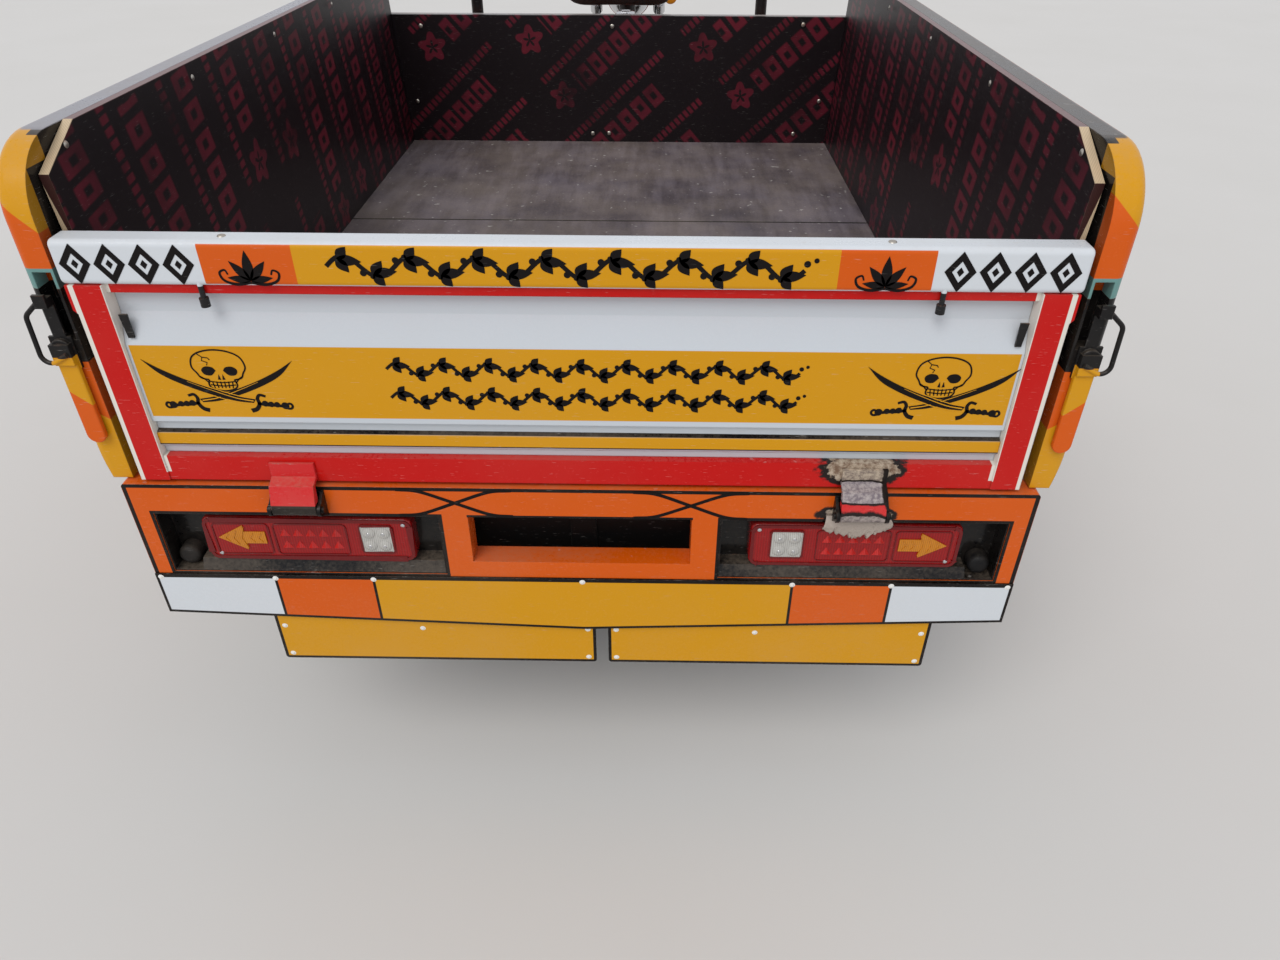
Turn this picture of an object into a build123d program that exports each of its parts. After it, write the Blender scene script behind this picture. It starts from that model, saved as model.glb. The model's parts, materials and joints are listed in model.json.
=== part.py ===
"""Cargo tricycle: a motorcycle front end and a lined, open cargo bed on a leaf-sprung rear axle.

Millimetres. +Y is forward, +X is the rider's right, +Z is up. The origin lies on the ground,
midway along the machine. Every piece is its own solid, written to parts/ under its own name.
"""

from build123d import *
import math
import os

os.makedirs("parts", exist_ok=True)

# Stance
TYRE_RADIUS = 285
TYRE_WIDTH = 140
TRACK = 1120
REAR_OVERHANG = 880
CAB_LENGTH = 1304
AXLE_Z = TYRE_RADIUS
HALF_TRACK = TRACK / 2

# Clearances
TOUCH_GAP = 0.3
RUN_GAP = 0.1
SWING_GAP = 5

# Cargo bed
BED_REAR_Y = -1675
BED_INNER_LENGTH = 1734
BED_INNER_WIDTH = 1222
FLOOR_TOP_Z = 700
FLOOR_BOARD = 15
FLOOR_SHEET = 2.5
RIB_HEIGHT = 40
RIB_WIDTH = 50
RIB_COUNT = 8
RIB_REAR_GAP = 75
RIB_FRONT_GAP = 91
SIDE_HEIGHT = 452
SIDE_PAN_DEPTH = 41
SIDE_SKIN = 2.5
SIDE_SETBACK = 10
SIDE_CORNER_RADIUS = 90
SIDE_EDGE_RADIUS = 16
SIDE_TUCK = 12
SIDE_TUCK_HEIGHT = 60
LINING = 12
LINING_LEAN = 27
LINING_CUT_DEPTH = 90
LINING_CUT_HEIGHT = 43
FRONT_HEIGHT = 338
FRONT_PAN_DEPTH = 30
REAR_BOARD_LENGTH = 1010
BOARD_JOINT = 3
SIDE_FIELDS = 3
SIDE_FIELD_HEIGHT = 240
SIDE_FIELD_DEPTH = 6
SIDE_FIELD_GAP = 70
FIELD_CORNER = 26
FIELD_RIM = 28
FIELD_TAPER = 18

# Tailgate
GATE_HEIGHT = 344
GATE_DROP = 14
GATE_SIDE_GAP = 10
GATE_RAIL_HEIGHT = 59
GATE_RAIL_DEPTH = 40
GATE_DEPTH = 30
GATE_SKIN = 2.5
STILE_WIDTH = 47
STILE_INSET = 3
STILE_JOG = 5
STILE_JOG_DROP = 34
GATE_FOOT_HEIGHT = 41
GATE_FOOT_SETBACK = 2
PEG_SPOTS_X = (-466, 467)
PEG_RADIUS = 3.5
PEG_LENGTH = 28
PEG_HEAD_RADIUS = 6
PEG_HEAD = 12

# Tailgate hinges
HINGE_X = 408
HINGE_WIDTH = 64
HINGE_PLATE = 5
HINGE_KNUCKLE_RADIUS = 9
HINGE_PIN_RADIUS = 5
HINGE_BEHIND_GATE = 22
HINGE_BELOW_BUMPER_TOP = 28
HINGE_CHEEK = 5
HINGE_PLATE_HEIGHT = 46
HINGE_CHEEK_NOSE = 10
BRACKET_SHEET = 3

# Bumper and what it carries
BUMPER_GAP = 6
BUMPER_HEIGHT = 175
BUMPER_PAST_LINING = 15
BUMPER_DEPTH = 38
BUMPER_SETBACK = 3
BUMPER_TOP_RAIL = 53
BUMPER_FOOT_RAIL = 36
LAMP_WINDOW_FOOT = 9
BUMPER_POST = 32
BUMPER_MID_POST = 43
BUMPER_MID_WINDOW = 331
TRAY_SKIN = 2
TRAY_SHELF_HEIGHT = 18
TRAY_SHELF_SHORT = 44
LAMP_LENGTH = 318
LAMP_HEIGHT = 80
LAMP_INSET = 46.5
LAMP_THICK = 25
LAMP_CORNER = 12
BUFFER_RADIUS = 17
BUFFER_FROM_POST = 22
BUFFER_PROUD = 24
SIGN_HEIGHT_END = 80
SIGN_HEIGHT_MID = 107
SIGN_LAP = 5
SIGN_SHEET = 2
PLATE_LENGTH = 520
PLATE_HEIGHT = 112
PLATE_SPACING = 540
PLATE_OFFSET_X = 28
PLATE_FOOT_Z = 322
STRAP_WIDTH = 25
STRAP_SHEET = 3
STRAP_SPREAD = 330

# Corner latches
POCKET_HEIGHT = 93
POCKET_BELOW_TOP = 154
POCKET_DEPTH = 28
POCKET_WALL = 5
LATCH_PAST_LINING = 23
LATCH_LEVER_LENGTH = 160
LATCH_LEVER_WIDTH = 26
LATCH_LEVER_THICK = 7
LATCH_LEVER_TOP_BELOW = 243
LATCH_ROD_RADIUS = 3.2
LATCH_BAIL_RISE = 60
LATCH_BAIL_DROP = 46
LATCH_BAIL_WIDTH = 28
LATCH_HOOK_WIDTH = 16
LATCH_HOOK_THICK = 4
LATCH_PLATE_WIDTH = 30
LATCH_PLATE_HEIGHT = 46
LATCH_CAP = 30
LATCH_CAP_PROUD = 4

# Ladder frame under the bed
RAIL_X = 300
RAIL_WIDTH = 50
RAIL_HEIGHT = 100
RAIL_WALL = 4
RAIL_REACH = 29
CROSS_SIZE = 60
CROSS_WALL = 4
CROSS_REAR_GAP = 95
CROSS_BEHIND_AXLE = 345
CROSS_AHEAD_OF_AXLE = 415

# Front frame; a value that ends in AHEAD is a reach ahead of the bed
FRAME_TUBE_RADIUS = 18
CRADLE_X = 140
CRADLE_Z = 320
CRADLE_FRONT_AHEAD = 759
CRADLE_BACK_AHEAD = 329
CRADLE_STEP_AHEAD = 229
BACKBONE_WIDTH = 50
BACKBONE_DEPTH = 70
BACKBONE_KNEE_AHEAD = 369
BACKBONE_KNEE_Z = 660
SEAT_POST_AHEAD = 299
FOOT_TUBE_RADIUS = 14
FOOT_TUBE_REAR_AHEAD = 299
FOOT_TUBE_FRONT_AHEAD = 701
BOARD_OUT_X = 430
BOARD_REAR_AHEAD = 261
BOARD_FRONT_AHEAD = 737

# Steering
RAKE = 26
FORK_OFFSET = 40
HEAD_CENTRE_Z = 880
HEAD_LENGTH = 150
HEAD_RADIUS = 30
STEM_RADIUS = 20
FORK_X = 118
FORK_TUBE_RADIUS = 17
FORK_SLIDER_RADIUS = 23
FORK_SLIDER_LENGTH = 285
YOKE_THICK = 28
YOKE_GAP = 1
GAITER_RADIUS = 29
GAITER_RIBS = 9

# Rear axle and springs
AXLE_TUBE_RADIUS = 38
STUB_RADIUS = 12.5
DIFF_X = -60
DIFF_RADIUS = 118
DIFF_HALF_WIDTH = 78
PINION_NOSE = 215
SPRING_HALF_SPAN = 430
SPRING_CAMBER = 95
SPRING_WIDTH = 50
LEAF_THICK = 8
LEAF_COUNT = 6
SPRING_PAD = 12
EYE_RADIUS = 21
EYE_BORE = 10.5
SHACKLE_LENGTH = 46
SHACKLE_PLATE = 6

# Wheels
BEAD_RADIUS = 156
FLANGE_RADIUS = 169
RIM_HALF_WIDTH = 50
RIM_WALL = 4
DISC_HOLES = 8
DISC_HOLE_RADIUS = 13
DISC_HOLE_CIRCLE = 112
DRUM_RADIUS = 104
HUB_RADIUS = 34

# Engine
ENGINE_HALF_WIDTH = 118
ENGINE_REAR_AHEAD = 339
ENGINE_LENGTH = 300
ENGINE_FOOT_Z = 285
ENGINE_HEIGHT = 205
ENGINE_COVER_RADIUS = 70
CYLINDER_AHEAD = 509
CYLINDER_LEAN = 10
CYLINDER_CORE = 46
FIN_SIZE = 128
FIN_THICK = 4
FIN_PITCH = 11
FIN_COUNT = 9

# Rider's seat
SEAT_WIDTH = 400
SEAT_LENGTH = 390
SEAT_REAR_AHEAD = 51
SEAT_PAN = 4
SEAT_THICK = 78
SEAT_BOX_LENGTH = 178
SEAT_BOX_WIDTH = 370

# Guard hoop behind the seat
HOOP_X = 403
HOOP_RADIUS = 16
HOOP_TOP_Z = 1345
HOOP_BEND = 110
HOOP_FOOT = 6
HOOP_BARS_Z = (1112, 1245)
HOOP_BAR_RADIUS = 12
BACKREST_WIDTH = 352
BACKREST_FOOT_Z = 1034
BACKREST_HEIGHT = 262
BACKREST_THICK = 62

# Places worked out from the sizes above
RAIL_TOP_Z = FLOOR_TOP_Z + GATE_HEIGHT
SIDE_TOP_Z = FLOOR_TOP_Z + SIDE_HEIGHT
BOARD_FOOT_Z = FLOOR_TOP_Z - FLOOR_BOARD
SHEET_FOOT_Z = BOARD_FOOT_Z - FLOOR_SHEET
FRAME_TOP_Z = SHEET_FOOT_Z - RIB_HEIGHT
FRAME_FOOT_Z = FRAME_TOP_Z - RAIL_HEIGHT
FRAME_MID_Z = FRAME_TOP_Z - RAIL_HEIGHT / 2
LINING_FACE_Y = BED_REAR_Y + BED_INNER_LENGTH
FRONT_WALL_Y = LINING_FACE_Y + LINING
BED_FRONT_Y = FRONT_WALL_Y + FRONT_PAN_DEPTH
SIDE_INNER_X = BED_INNER_WIDTH / 2 + LINING_LEAN + LINING
SIDE_OUTER_X = SIDE_INNER_X + SIDE_PAN_DEPTH
SIDE_REAR_Y = BED_REAR_Y + SIDE_SETBACK
GATE_FOOT_Z = FLOOR_TOP_Z - GATE_DROP
GATE_RAIL_LENGTH = 2 * (SIDE_INNER_X - GATE_SIDE_GAP)
LATCH_X = SIDE_INNER_X + LATCH_PAST_LINING
BUMPER_HALF_WIDTH = SIDE_INNER_X + BUMPER_PAST_LINING
BUMPER_TOP_Z = GATE_FOOT_Z - BUMPER_GAP
BUMPER_FOOT_Z = BUMPER_TOP_Z - BUMPER_HEIGHT
BUMPER_FACE_Y = BED_REAR_Y - BUMPER_SETBACK
BUMPER_BACK_Y = BUMPER_FACE_Y + BUMPER_DEPTH
HINGE_Y = BED_REAR_Y - HINGE_BEHIND_GATE
HINGE_Z = BUMPER_TOP_Z - HINGE_BELOW_BUMPER_TOP
GATE_BACK_Y = BED_REAR_Y + GATE_RAIL_DEPTH
FLOOR_REAR_Y = GATE_BACK_Y + 2
FRAME_FRONT_Y = BED_FRONT_Y + RAIL_REACH
SEAT_PAN_Z = 732
REAR_AXLE_Y = BED_REAR_Y + REAR_OVERHANG
FRONT_AXLE_Y = BED_FRONT_Y + CAB_LENGTH
CRADLE_FRONT_Y = BED_FRONT_Y + CRADLE_FRONT_AHEAD
CRADLE_BACK_Y = BED_FRONT_Y + CRADLE_BACK_AHEAD
CRADLE_STEP_Y = BED_FRONT_Y + CRADLE_STEP_AHEAD
BACKBONE_KNEE_Y = BED_FRONT_Y + BACKBONE_KNEE_AHEAD
SEAT_POST_Y = BED_FRONT_Y + SEAT_POST_AHEAD
FOOT_TUBE_REAR_Y = BED_FRONT_Y + FOOT_TUBE_REAR_AHEAD
FOOT_TUBE_FRONT_Y = BED_FRONT_Y + FOOT_TUBE_FRONT_AHEAD
BOARD_REAR_Y = BED_FRONT_Y + BOARD_REAR_AHEAD
BOARD_FRONT_Y = BED_FRONT_Y + BOARD_FRONT_AHEAD
ENGINE_REAR_Y = BED_FRONT_Y + ENGINE_REAR_AHEAD
CYLINDER_Y = BED_FRONT_Y + CYLINDER_AHEAD
SEAT_REAR_Y = BED_FRONT_Y + SEAT_REAR_AHEAD
SEAT_FRONT_Y = SEAT_REAR_Y + SEAT_LENGTH


def write_node(piece, name):
    """Label a finished sub-part and write it as its own file."""
    piece.label = name
    export_step(piece, f"parts/{name}.step")


def mirrored(part):
    """The same part on the other side of the machine."""
    return mirror(part, about=Plane.YZ)


def round_bar(points, radius, bend):
    """A round bar or tube, solid, along straight runs joined by bends of one radius."""
    with BuildLine() as path:
        if len(points) > 2:
            FilletPolyline(*points, radius=bend)
        else:
            Line(*points)
    with BuildPart() as bar:
        with BuildSketch(Plane(origin=path.line @ 0, z_dir=path.line % 0)):
            Circle(radius)
        sweep(path=path.line)
    return bar.part


def cap_point(radius, rise):
    """Halfway along the arc from a dome's rim to its top: how far out, and how far below the top."""
    sphere = (radius**2 + rise**2) / (2 * rise)
    half_angle = math.atan2(radius, sphere - rise) / 2
    return sphere * math.sin(half_angle), sphere * (1 - math.cos(half_angle))


def wheel_plane(x, y):
    """Sketch plane for a turned wheel part: across is the radius, up is the axle, towards +X."""
    return Plane(origin=(x, y, AXLE_Z), x_dir=(0, 0, 1), z_dir=(0, 1, 0))


def axle_axis(x, y):
    """The line a wheel turns about."""
    return Axis((x, y, AXLE_Z), (1, 0, 0))


def make_tyre(x, y):
    """A tyre turned from its section: two beads, bulging walls and a crowned tread."""
    half = TYRE_WIDTH / 2
    shoulder = (TYRE_RADIUS - 17, half - 8)
    with BuildPart() as tyre:
        with BuildSketch(wheel_plane(x, y)):
            with BuildLine():
                Line((BEAD_RADIUS, -RIM_HALF_WIDTH), (BEAD_RADIUS, RIM_HALF_WIDTH))
                Line((BEAD_RADIUS, RIM_HALF_WIDTH), (FLANGE_RADIUS + 1, RIM_HALF_WIDTH))
                ThreePointArc(
                    (FLANGE_RADIUS + 1, RIM_HALF_WIDTH),
                    ((FLANGE_RADIUS + TYRE_RADIUS) / 2, half),
                    shoulder,
                )
                ThreePointArc(shoulder, (TYRE_RADIUS, 0), (shoulder[0], -shoulder[1]))
                ThreePointArc(
                    (shoulder[0], -shoulder[1]),
                    ((FLANGE_RADIUS + TYRE_RADIUS) / 2, -half),
                    (FLANGE_RADIUS + 1, -RIM_HALF_WIDTH),
                )
                Line((FLANGE_RADIUS + 1, -RIM_HALF_WIDTH), (BEAD_RADIUS, -RIM_HALF_WIDTH))
            make_face()
        revolve(axis=axle_axis(x, y))
    return tyre.part


def make_wheel(x, y, out, hub_in, hub_out, bore, capped):
    """A pressed wheel: well rim, dished disc with holes, brake drum and hub, in one piece.

    out is +1 where the disc faces +X and -1 where it faces -X. hub_in and hub_out are the
    hub's ends along the axle, away from the disc's face and towards it.
    """
    seat = BEAD_RADIUS - TOUCH_GAP
    edge = RIM_HALF_WIDTH + TOUCH_GAP
    lip = edge + RIM_WALL
    well = seat - 21
    well_in = well - RIM_WALL
    seat_in = seat - RIM_WALL
    drum_in = DRUM_RADIUS - 8
    with BuildPart() as wheel:
        with BuildSketch(wheel_plane(x, y)):
            Polygon(
                (FLANGE_RADIUS, lip), (FLANGE_RADIUS, edge), (seat, edge), (seat, 28), (well, 20),
                (well, -20), (seat, -28), (seat, -edge), (FLANGE_RADIUS, -edge),
                (FLANGE_RADIUS, -lip), (seat_in, -lip), (seat_in, -30), (well_in, -22),
                (well_in, 22), (seat_in, 30), (seat_in, lip),
                align=None,
            )
            Polygon(
                (well_in + 2, out * 6), (well_in + 2, out * 12), (96, out * 27),
                (HUB_RADIUS - 2, out * 27), (HUB_RADIUS - 2, out * 22), (94, out * 22),
                align=None,
            )
            Polygon(
                (HUB_RADIUS - 2, out * 22), (HUB_RADIUS - 2, out * 14), (drum_in, out * 14),
                (drum_in, out * hub_in), (DRUM_RADIUS, out * hub_in), (DRUM_RADIUS, out * 20),
                (94, out * 22),
                align=None,
            )
            Polygon(
                (bore, out * hub_in), (HUB_RADIUS, out * hub_in), (HUB_RADIUS, out * hub_out),
                (bore, out * hub_out),
                align=None,
            )
            if capped:
                Polygon(
                    (0, out * hub_out), (HUB_RADIUS - 6, out * hub_out),
                    (HUB_RADIUS - 12, out * (hub_out + 10)), (0, out * (hub_out + 12)),
                    align=None,
                )
        revolve(axis=axle_axis(x, y))
        disc_face = Plane(origin=(x + out * 6, y, AXLE_Z), x_dir=(0, 1, 0), z_dir=(out, 0, 0))
        with BuildSketch(disc_face):
            with PolarLocations(DISC_HOLE_CIRCLE, DISC_HOLES):
                Circle(DISC_HOLE_RADIUS)
        extrude(amount=24, mode=Mode.SUBTRACT)
    return wheel.part


# Rear wheels, one a side
HUB_IN = -46
HUB_OUT = 44
for side, name in ((1, "right"), (-1, "left")):
    tyre = make_tyre(side * HALF_TRACK, REAR_AXLE_Y)
    write_node(tyre, f"rear_tyre_{name}")
    wheel = make_wheel(
        side * HALF_TRACK, REAR_AXLE_Y, side, HUB_IN, HUB_OUT, STUB_RADIUS + RUN_GAP, True
    )
    write_node(wheel, f"rear_wheel_{name}")

# Front wheel, with a plain hub open at both ends for the spindle
SPINDLE_RADIUS = 10
FRONT_HUB_OUT = 62
write_node(make_tyre(0, FRONT_AXLE_Y), "front_tyre")
write_node(
    make_wheel(0, FRONT_AXLE_Y, 1, HUB_IN, FRONT_HUB_OUT, SPINDLE_RADIUS + RUN_GAP, False),
    "front_wheel",
)

# Rear axle: tube, differential case with its pinion nose, brake plates, spring pads and stubs
PLATE_IN = HALF_TRACK + HUB_IN - SWING_GAP - 4
with BuildPart() as rear_axle:
    with Locations(Location((0, REAR_AXLE_Y, AXLE_Z), (0, 90, 0))):
        Cylinder(AXLE_TUBE_RADIUS, 2 * PLATE_IN)
        Cylinder(STUB_RADIUS, 2 * (HALF_TRACK + HUB_OUT - SWING_GAP))
    with Locations(*[
        Location((side * (PLATE_IN + 2), REAR_AXLE_Y, AXLE_Z), (0, 90, 0)) for side in (-1, 1)
    ]):
        Cylinder(DRUM_RADIUS + 3, 4)
    with BuildSketch(wheel_plane(DIFF_X, REAR_AXLE_Y)):
        with BuildLine():
            Line((0, -DIFF_HALF_WIDTH), (50, -DIFF_HALF_WIDTH))
            ThreePointArc((50, -DIFF_HALF_WIDTH), (100, -52), (DIFF_RADIUS, 0))
            ThreePointArc((DIFF_RADIUS, 0), (100, 52), (50, DIFF_HALF_WIDTH))
            Line((50, DIFF_HALF_WIDTH), (0, DIFF_HALF_WIDTH))
            Line((0, DIFF_HALF_WIDTH), (0, -DIFF_HALF_WIDTH))
        make_face()
    revolve(axis=axle_axis(DIFF_X, REAR_AXLE_Y))
    with BuildSketch(Plane(origin=(DIFF_X, REAR_AXLE_Y, AXLE_Z), z_dir=(0, 1, 0))):
        Circle(72)
    extrude(amount=PINION_NOSE - 40, taper=8)
    with BuildSketch(Plane(origin=(DIFF_X, REAR_AXLE_Y, AXLE_Z), z_dir=(0, 1, 0))):
        Circle(36)
    extrude(amount=PINION_NOSE)
    with Locations(*[
        (side * RAIL_X, REAR_AXLE_Y, AXLE_Z + AXLE_TUBE_RADIUS + SPRING_PAD / 2 - 6)
        for side in (-1, 1)
    ]):
        Box(SPRING_WIDTH, 110, SPRING_PAD + 12)
write_node(rear_axle.part, "rear_axle")

# Leaf springs: curved leaves stacked under a main leaf with an eye rolled at each end
PAD_TOP_Z = AXLE_Z + AXLE_TUBE_RADIUS + SPRING_PAD
SPRING_Z = PAD_TOP_Z + LEAF_COUNT * LEAF_THICK
SPRING_R = (SPRING_HALF_SPAN**2 + SPRING_CAMBER**2) / (2 * SPRING_CAMBER)
EYE_Z = SPRING_Z + SPRING_CAMBER
LEAF_STEP = (SPRING_HALF_SPAN - 130) / (LEAF_COUNT - 1)


def leaf_point(radius, reach):
    """A point of a leaf, at this radius from the springs' centre of curvature and this reach."""
    angle = math.asin(reach / SPRING_R)
    return (
        REAR_AXLE_Y + radius * math.sin(angle),
        SPRING_Z + SPRING_R - radius * math.cos(angle),
    )


def make_leaf(index, reach):
    """The section of one leaf of the stack, counted from the main leaf at the top."""
    top = SPRING_R + index * LEAF_THICK
    foot = top + LEAF_THICK
    with BuildSketch() as leaf:
        with BuildLine():
            ThreePointArc(leaf_point(top, -reach), leaf_point(top, 0), leaf_point(top, reach))
            Line(leaf_point(top, reach), leaf_point(foot, reach - LEAF_THICK))
            ThreePointArc(
                leaf_point(foot, reach - LEAF_THICK),
                leaf_point(foot, 0),
                leaf_point(foot, LEAF_THICK - reach),
            )
            Line(leaf_point(foot, LEAF_THICK - reach), leaf_point(top, -reach))
        make_face()
    return leaf.sketch


EYE_SINK = 8
leaves = [make_leaf(i, SPRING_HALF_SPAN - i * LEAF_STEP) for i in range(LEAF_COUNT)]
eye_spots = [(REAR_AXLE_Y + end * SPRING_HALF_SPAN, EYE_Z + EYE_RADIUS - EYE_SINK) for end in (-1, 1)]
with BuildPart() as spring_right:
    with BuildSketch(Plane.YZ.offset(RAIL_X - SPRING_WIDTH / 2)):
        for leaf in leaves:
            add(leaf)
        with Locations(*eye_spots):
            Circle(EYE_RADIUS)
        with Locations(*eye_spots):
            Circle(EYE_BORE + RUN_GAP, mode=Mode.SUBTRACT)
    extrude(amount=SPRING_WIDTH)
with BuildPart() as leaf_springs:
    add(spring_right.part)
    add(mirrored(spring_right.part))
write_node(leaf_springs.part, "leaf_springs")

# Spring hangers: a pair of cheeks under the rail with a pin, fixed in front, high at the back
HANGER_FRONT_REACH = 46
HANGER_REAR_REACH = 34
HANGER_TIP = 16
HANGER_PIN_PAST = 14
SHACKLE_PIN_PAST = 8
SHACKLE_WIDTH = 30
SHACKLE_LEAN = 24
EYE_PIN_Z = EYE_Z + EYE_RADIUS - EYE_SINK
FRONT_EYE_Y = REAR_AXLE_Y + SPRING_HALF_SPAN
REAR_EYE_Y = REAR_AXLE_Y - SPRING_HALF_SPAN
SHACKLE_TOP_Y = REAR_EYE_Y - SHACKLE_LEAN
SHACKLE_TOP_Z = EYE_PIN_Z + math.sqrt(SHACKLE_LENGTH**2 - SHACKLE_LEAN**2)
CHEEK_GAP = SPRING_WIDTH / 2 + TOUCH_GAP


def make_hanger(y, z, inner, reach):
    """Two cheeks hung from the frame rail, joined by a pin at the given place."""
    with BuildPart() as hanger:
        for side in (-1, 1):
            with BuildSketch(Plane.YZ.offset(RAIL_X + side * (inner + SHACKLE_PLATE / 2))):
                with BuildLine():
                    Polyline((y - reach, FRAME_FOOT_Z), (y + reach, FRAME_FOOT_Z), (y + HANGER_TIP, z))
                    ThreePointArc((y + HANGER_TIP, z), (y, z - HANGER_TIP), (y - HANGER_TIP, z))
                    Line((y - HANGER_TIP, z), (y - reach, FRAME_FOOT_Z))
                make_face()
            extrude(amount=SHACKLE_PLATE / 2, both=True)
        with Locations(Location((RAIL_X, y, z), (0, 90, 0))):
            Cylinder(EYE_BORE, 2 * (inner + SHACKLE_PLATE) + HANGER_PIN_PAST)
    return hanger.part


front_hanger = make_hanger(FRONT_EYE_Y, EYE_PIN_Z, CHEEK_GAP, HANGER_FRONT_REACH)
REAR_CHEEK_GAP = CHEEK_GAP + SHACKLE_PLATE + TOUCH_GAP
rear_hanger = make_hanger(SHACKLE_TOP_Y, SHACKLE_TOP_Z, REAR_CHEEK_GAP, HANGER_REAR_REACH)

# Shackles: two links a side, joined by the pin through the spring's rear eye
with BuildPart() as shackle_right:
    for side in (-1, 1):
        start = CHEEK_GAP + SHACKLE_PLATE / 2
        with BuildSketch(Plane.YZ.offset(RAIL_X + side * start)):
            with BuildLine() as link:
                Line((REAR_EYE_Y, EYE_PIN_Z), (SHACKLE_TOP_Y, SHACKLE_TOP_Z))
            SlotCenterPoint(link.line @ 0.5, link.line @ 1, SHACKLE_WIDTH)
            with Locations((SHACKLE_TOP_Y, SHACKLE_TOP_Z)):
                Circle(EYE_BORE + RUN_GAP, mode=Mode.SUBTRACT)
        extrude(amount=SHACKLE_PLATE / 2, both=True)
    with Locations(Location((RAIL_X, REAR_EYE_Y, EYE_PIN_Z), (0, 90, 0))):
        Cylinder(EYE_BORE, 2 * (CHEEK_GAP + SHACKLE_PLATE) + SHACKLE_PIN_PAST)
with BuildPart() as spring_mounts:
    for mount in (front_hanger, rear_hanger, shackle_right.part):
        add(mount)
        add(mirrored(mount))
write_node(spring_mounts.part, "spring_mounts")

# Axle clamps: two U-bolts over each spring, through a plate under the axle tube
U_BOLT_RADIUS = 6
U_BOLT_END = 18
U_BOLT_BEND = 9
CLAMP_EDGE = 26
CLAMP_PLATE = 8
U_BOLT_X = SPRING_WIDTH / 2 + U_BOLT_RADIUS + 2
U_BOLT_Y = AXLE_TUBE_RADIUS + U_BOLT_RADIUS + 2
CLAMP_FOOT_Z = AXLE_Z - AXLE_TUBE_RADIUS - TOUCH_GAP
BOLT_TOP_Z = SPRING_Z + U_BOLT_RADIUS + 2
u_bolts = [
    round_bar(
        [
            (RAIL_X - U_BOLT_X, REAR_AXLE_Y + end * U_BOLT_Y, CLAMP_FOOT_Z - U_BOLT_END),
            (RAIL_X - U_BOLT_X, REAR_AXLE_Y + end * U_BOLT_Y, BOLT_TOP_Z),
            (RAIL_X + U_BOLT_X, REAR_AXLE_Y + end * U_BOLT_Y, BOLT_TOP_Z),
            (RAIL_X + U_BOLT_X, REAR_AXLE_Y + end * U_BOLT_Y, CLAMP_FOOT_Z - U_BOLT_END),
        ],
        U_BOLT_RADIUS,
        U_BOLT_BEND,
    )
    for end in (-1, 1)
]
with BuildPart() as clamp_right:
    with BuildSketch(Plane.XY.offset(CLAMP_FOOT_Z - CLAMP_PLATE)):
        with Locations((RAIL_X, REAR_AXLE_Y)):
            RectangleRounded(2 * U_BOLT_X + CLAMP_EDGE, 2 * U_BOLT_Y + CLAMP_EDGE, 8)
    extrude(amount=CLAMP_PLATE)
    for bolt in u_bolts:
        add(bolt)
with BuildPart() as axle_clamps:
    add(clamp_right.part)
    add(mirrored(clamp_right.part))
write_node(axle_clamps.part, "axle_clamps")

# Cargo bed floor: cross ribs on the frame, a sill along each side and the sheet over them
RIB_FIRST_Y = BED_REAR_Y + RIB_REAR_GAP
RIB_PITCH = (BED_FRONT_Y - RIB_FRONT_GAP - RIB_FIRST_Y) / (RIB_COUNT - 1)
RIB_SPOTS_Y = [RIB_FIRST_Y + i * RIB_PITCH for i in range(RIB_COUNT)]
SILL_INSET = 14
SILL_HEIGHT = 37
SILL_THICK = 6
RIB_HALF_LENGTH = SIDE_OUTER_X - SIDE_TUCK - 3
RIB_WALL = 3
with BuildPart() as bed_floor:
    for y in RIB_SPOTS_Y:
        with BuildSketch(Plane.YZ.offset(-RIB_HALF_LENGTH)):
            with Locations((y, FRAME_TOP_Z + TOUCH_GAP + (RIB_HEIGHT - TOUCH_GAP) / 2)):
                Rectangle(RIB_WIDTH, RIB_HEIGHT - TOUCH_GAP)
                Rectangle(
                    RIB_WIDTH - 2 * RIB_WALL,
                    RIB_HEIGHT - TOUCH_GAP - 2 * RIB_WALL,
                    mode=Mode.SUBTRACT,
                )
        extrude(amount=2 * RIB_HALF_LENGTH)
    for side in (-1, 1):
        with Locations((side * (SIDE_INNER_X - SILL_INSET), (FLOOR_REAR_Y + FRONT_WALL_Y) / 2, FRAME_TOP_Z + 22)):
            Box(SILL_THICK, FRONT_WALL_Y - FLOOR_REAR_Y, SILL_HEIGHT)
    with Locations((0, (FLOOR_REAR_Y + FRONT_WALL_Y) / 2, SHEET_FOOT_Z + FLOOR_SHEET / 2)):
        Box(2 * (SIDE_INNER_X - TOUCH_GAP), FRONT_WALL_Y - FLOOR_REAR_Y, FLOOR_SHEET)
write_node(bed_floor.part, "bed_floor")

# Floor boards between the linings, in two lengths with a joint between them
BOARD_JOINT_Y = FLOOR_REAR_Y + REAR_BOARD_LENGTH
board_ends = ((FLOOR_REAR_Y, BOARD_JOINT_Y), (BOARD_JOINT_Y + BOARD_JOINT, LINING_FACE_Y - TOUCH_GAP))
with BuildPart() as floor_boards:
    for rear, front in board_ends:
        with BuildSketch(Plane.XY.offset(BOARD_FOOT_Z + TOUCH_GAP)):
            with Locations((0, (rear + front) / 2)):
                Rectangle(BED_INNER_WIDTH - 2 * TOUCH_GAP, front - rear)
        extrude(amount=FLOOR_BOARD - TOUCH_GAP)
write_node(floor_boards.part, "floor_boards")

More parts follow.
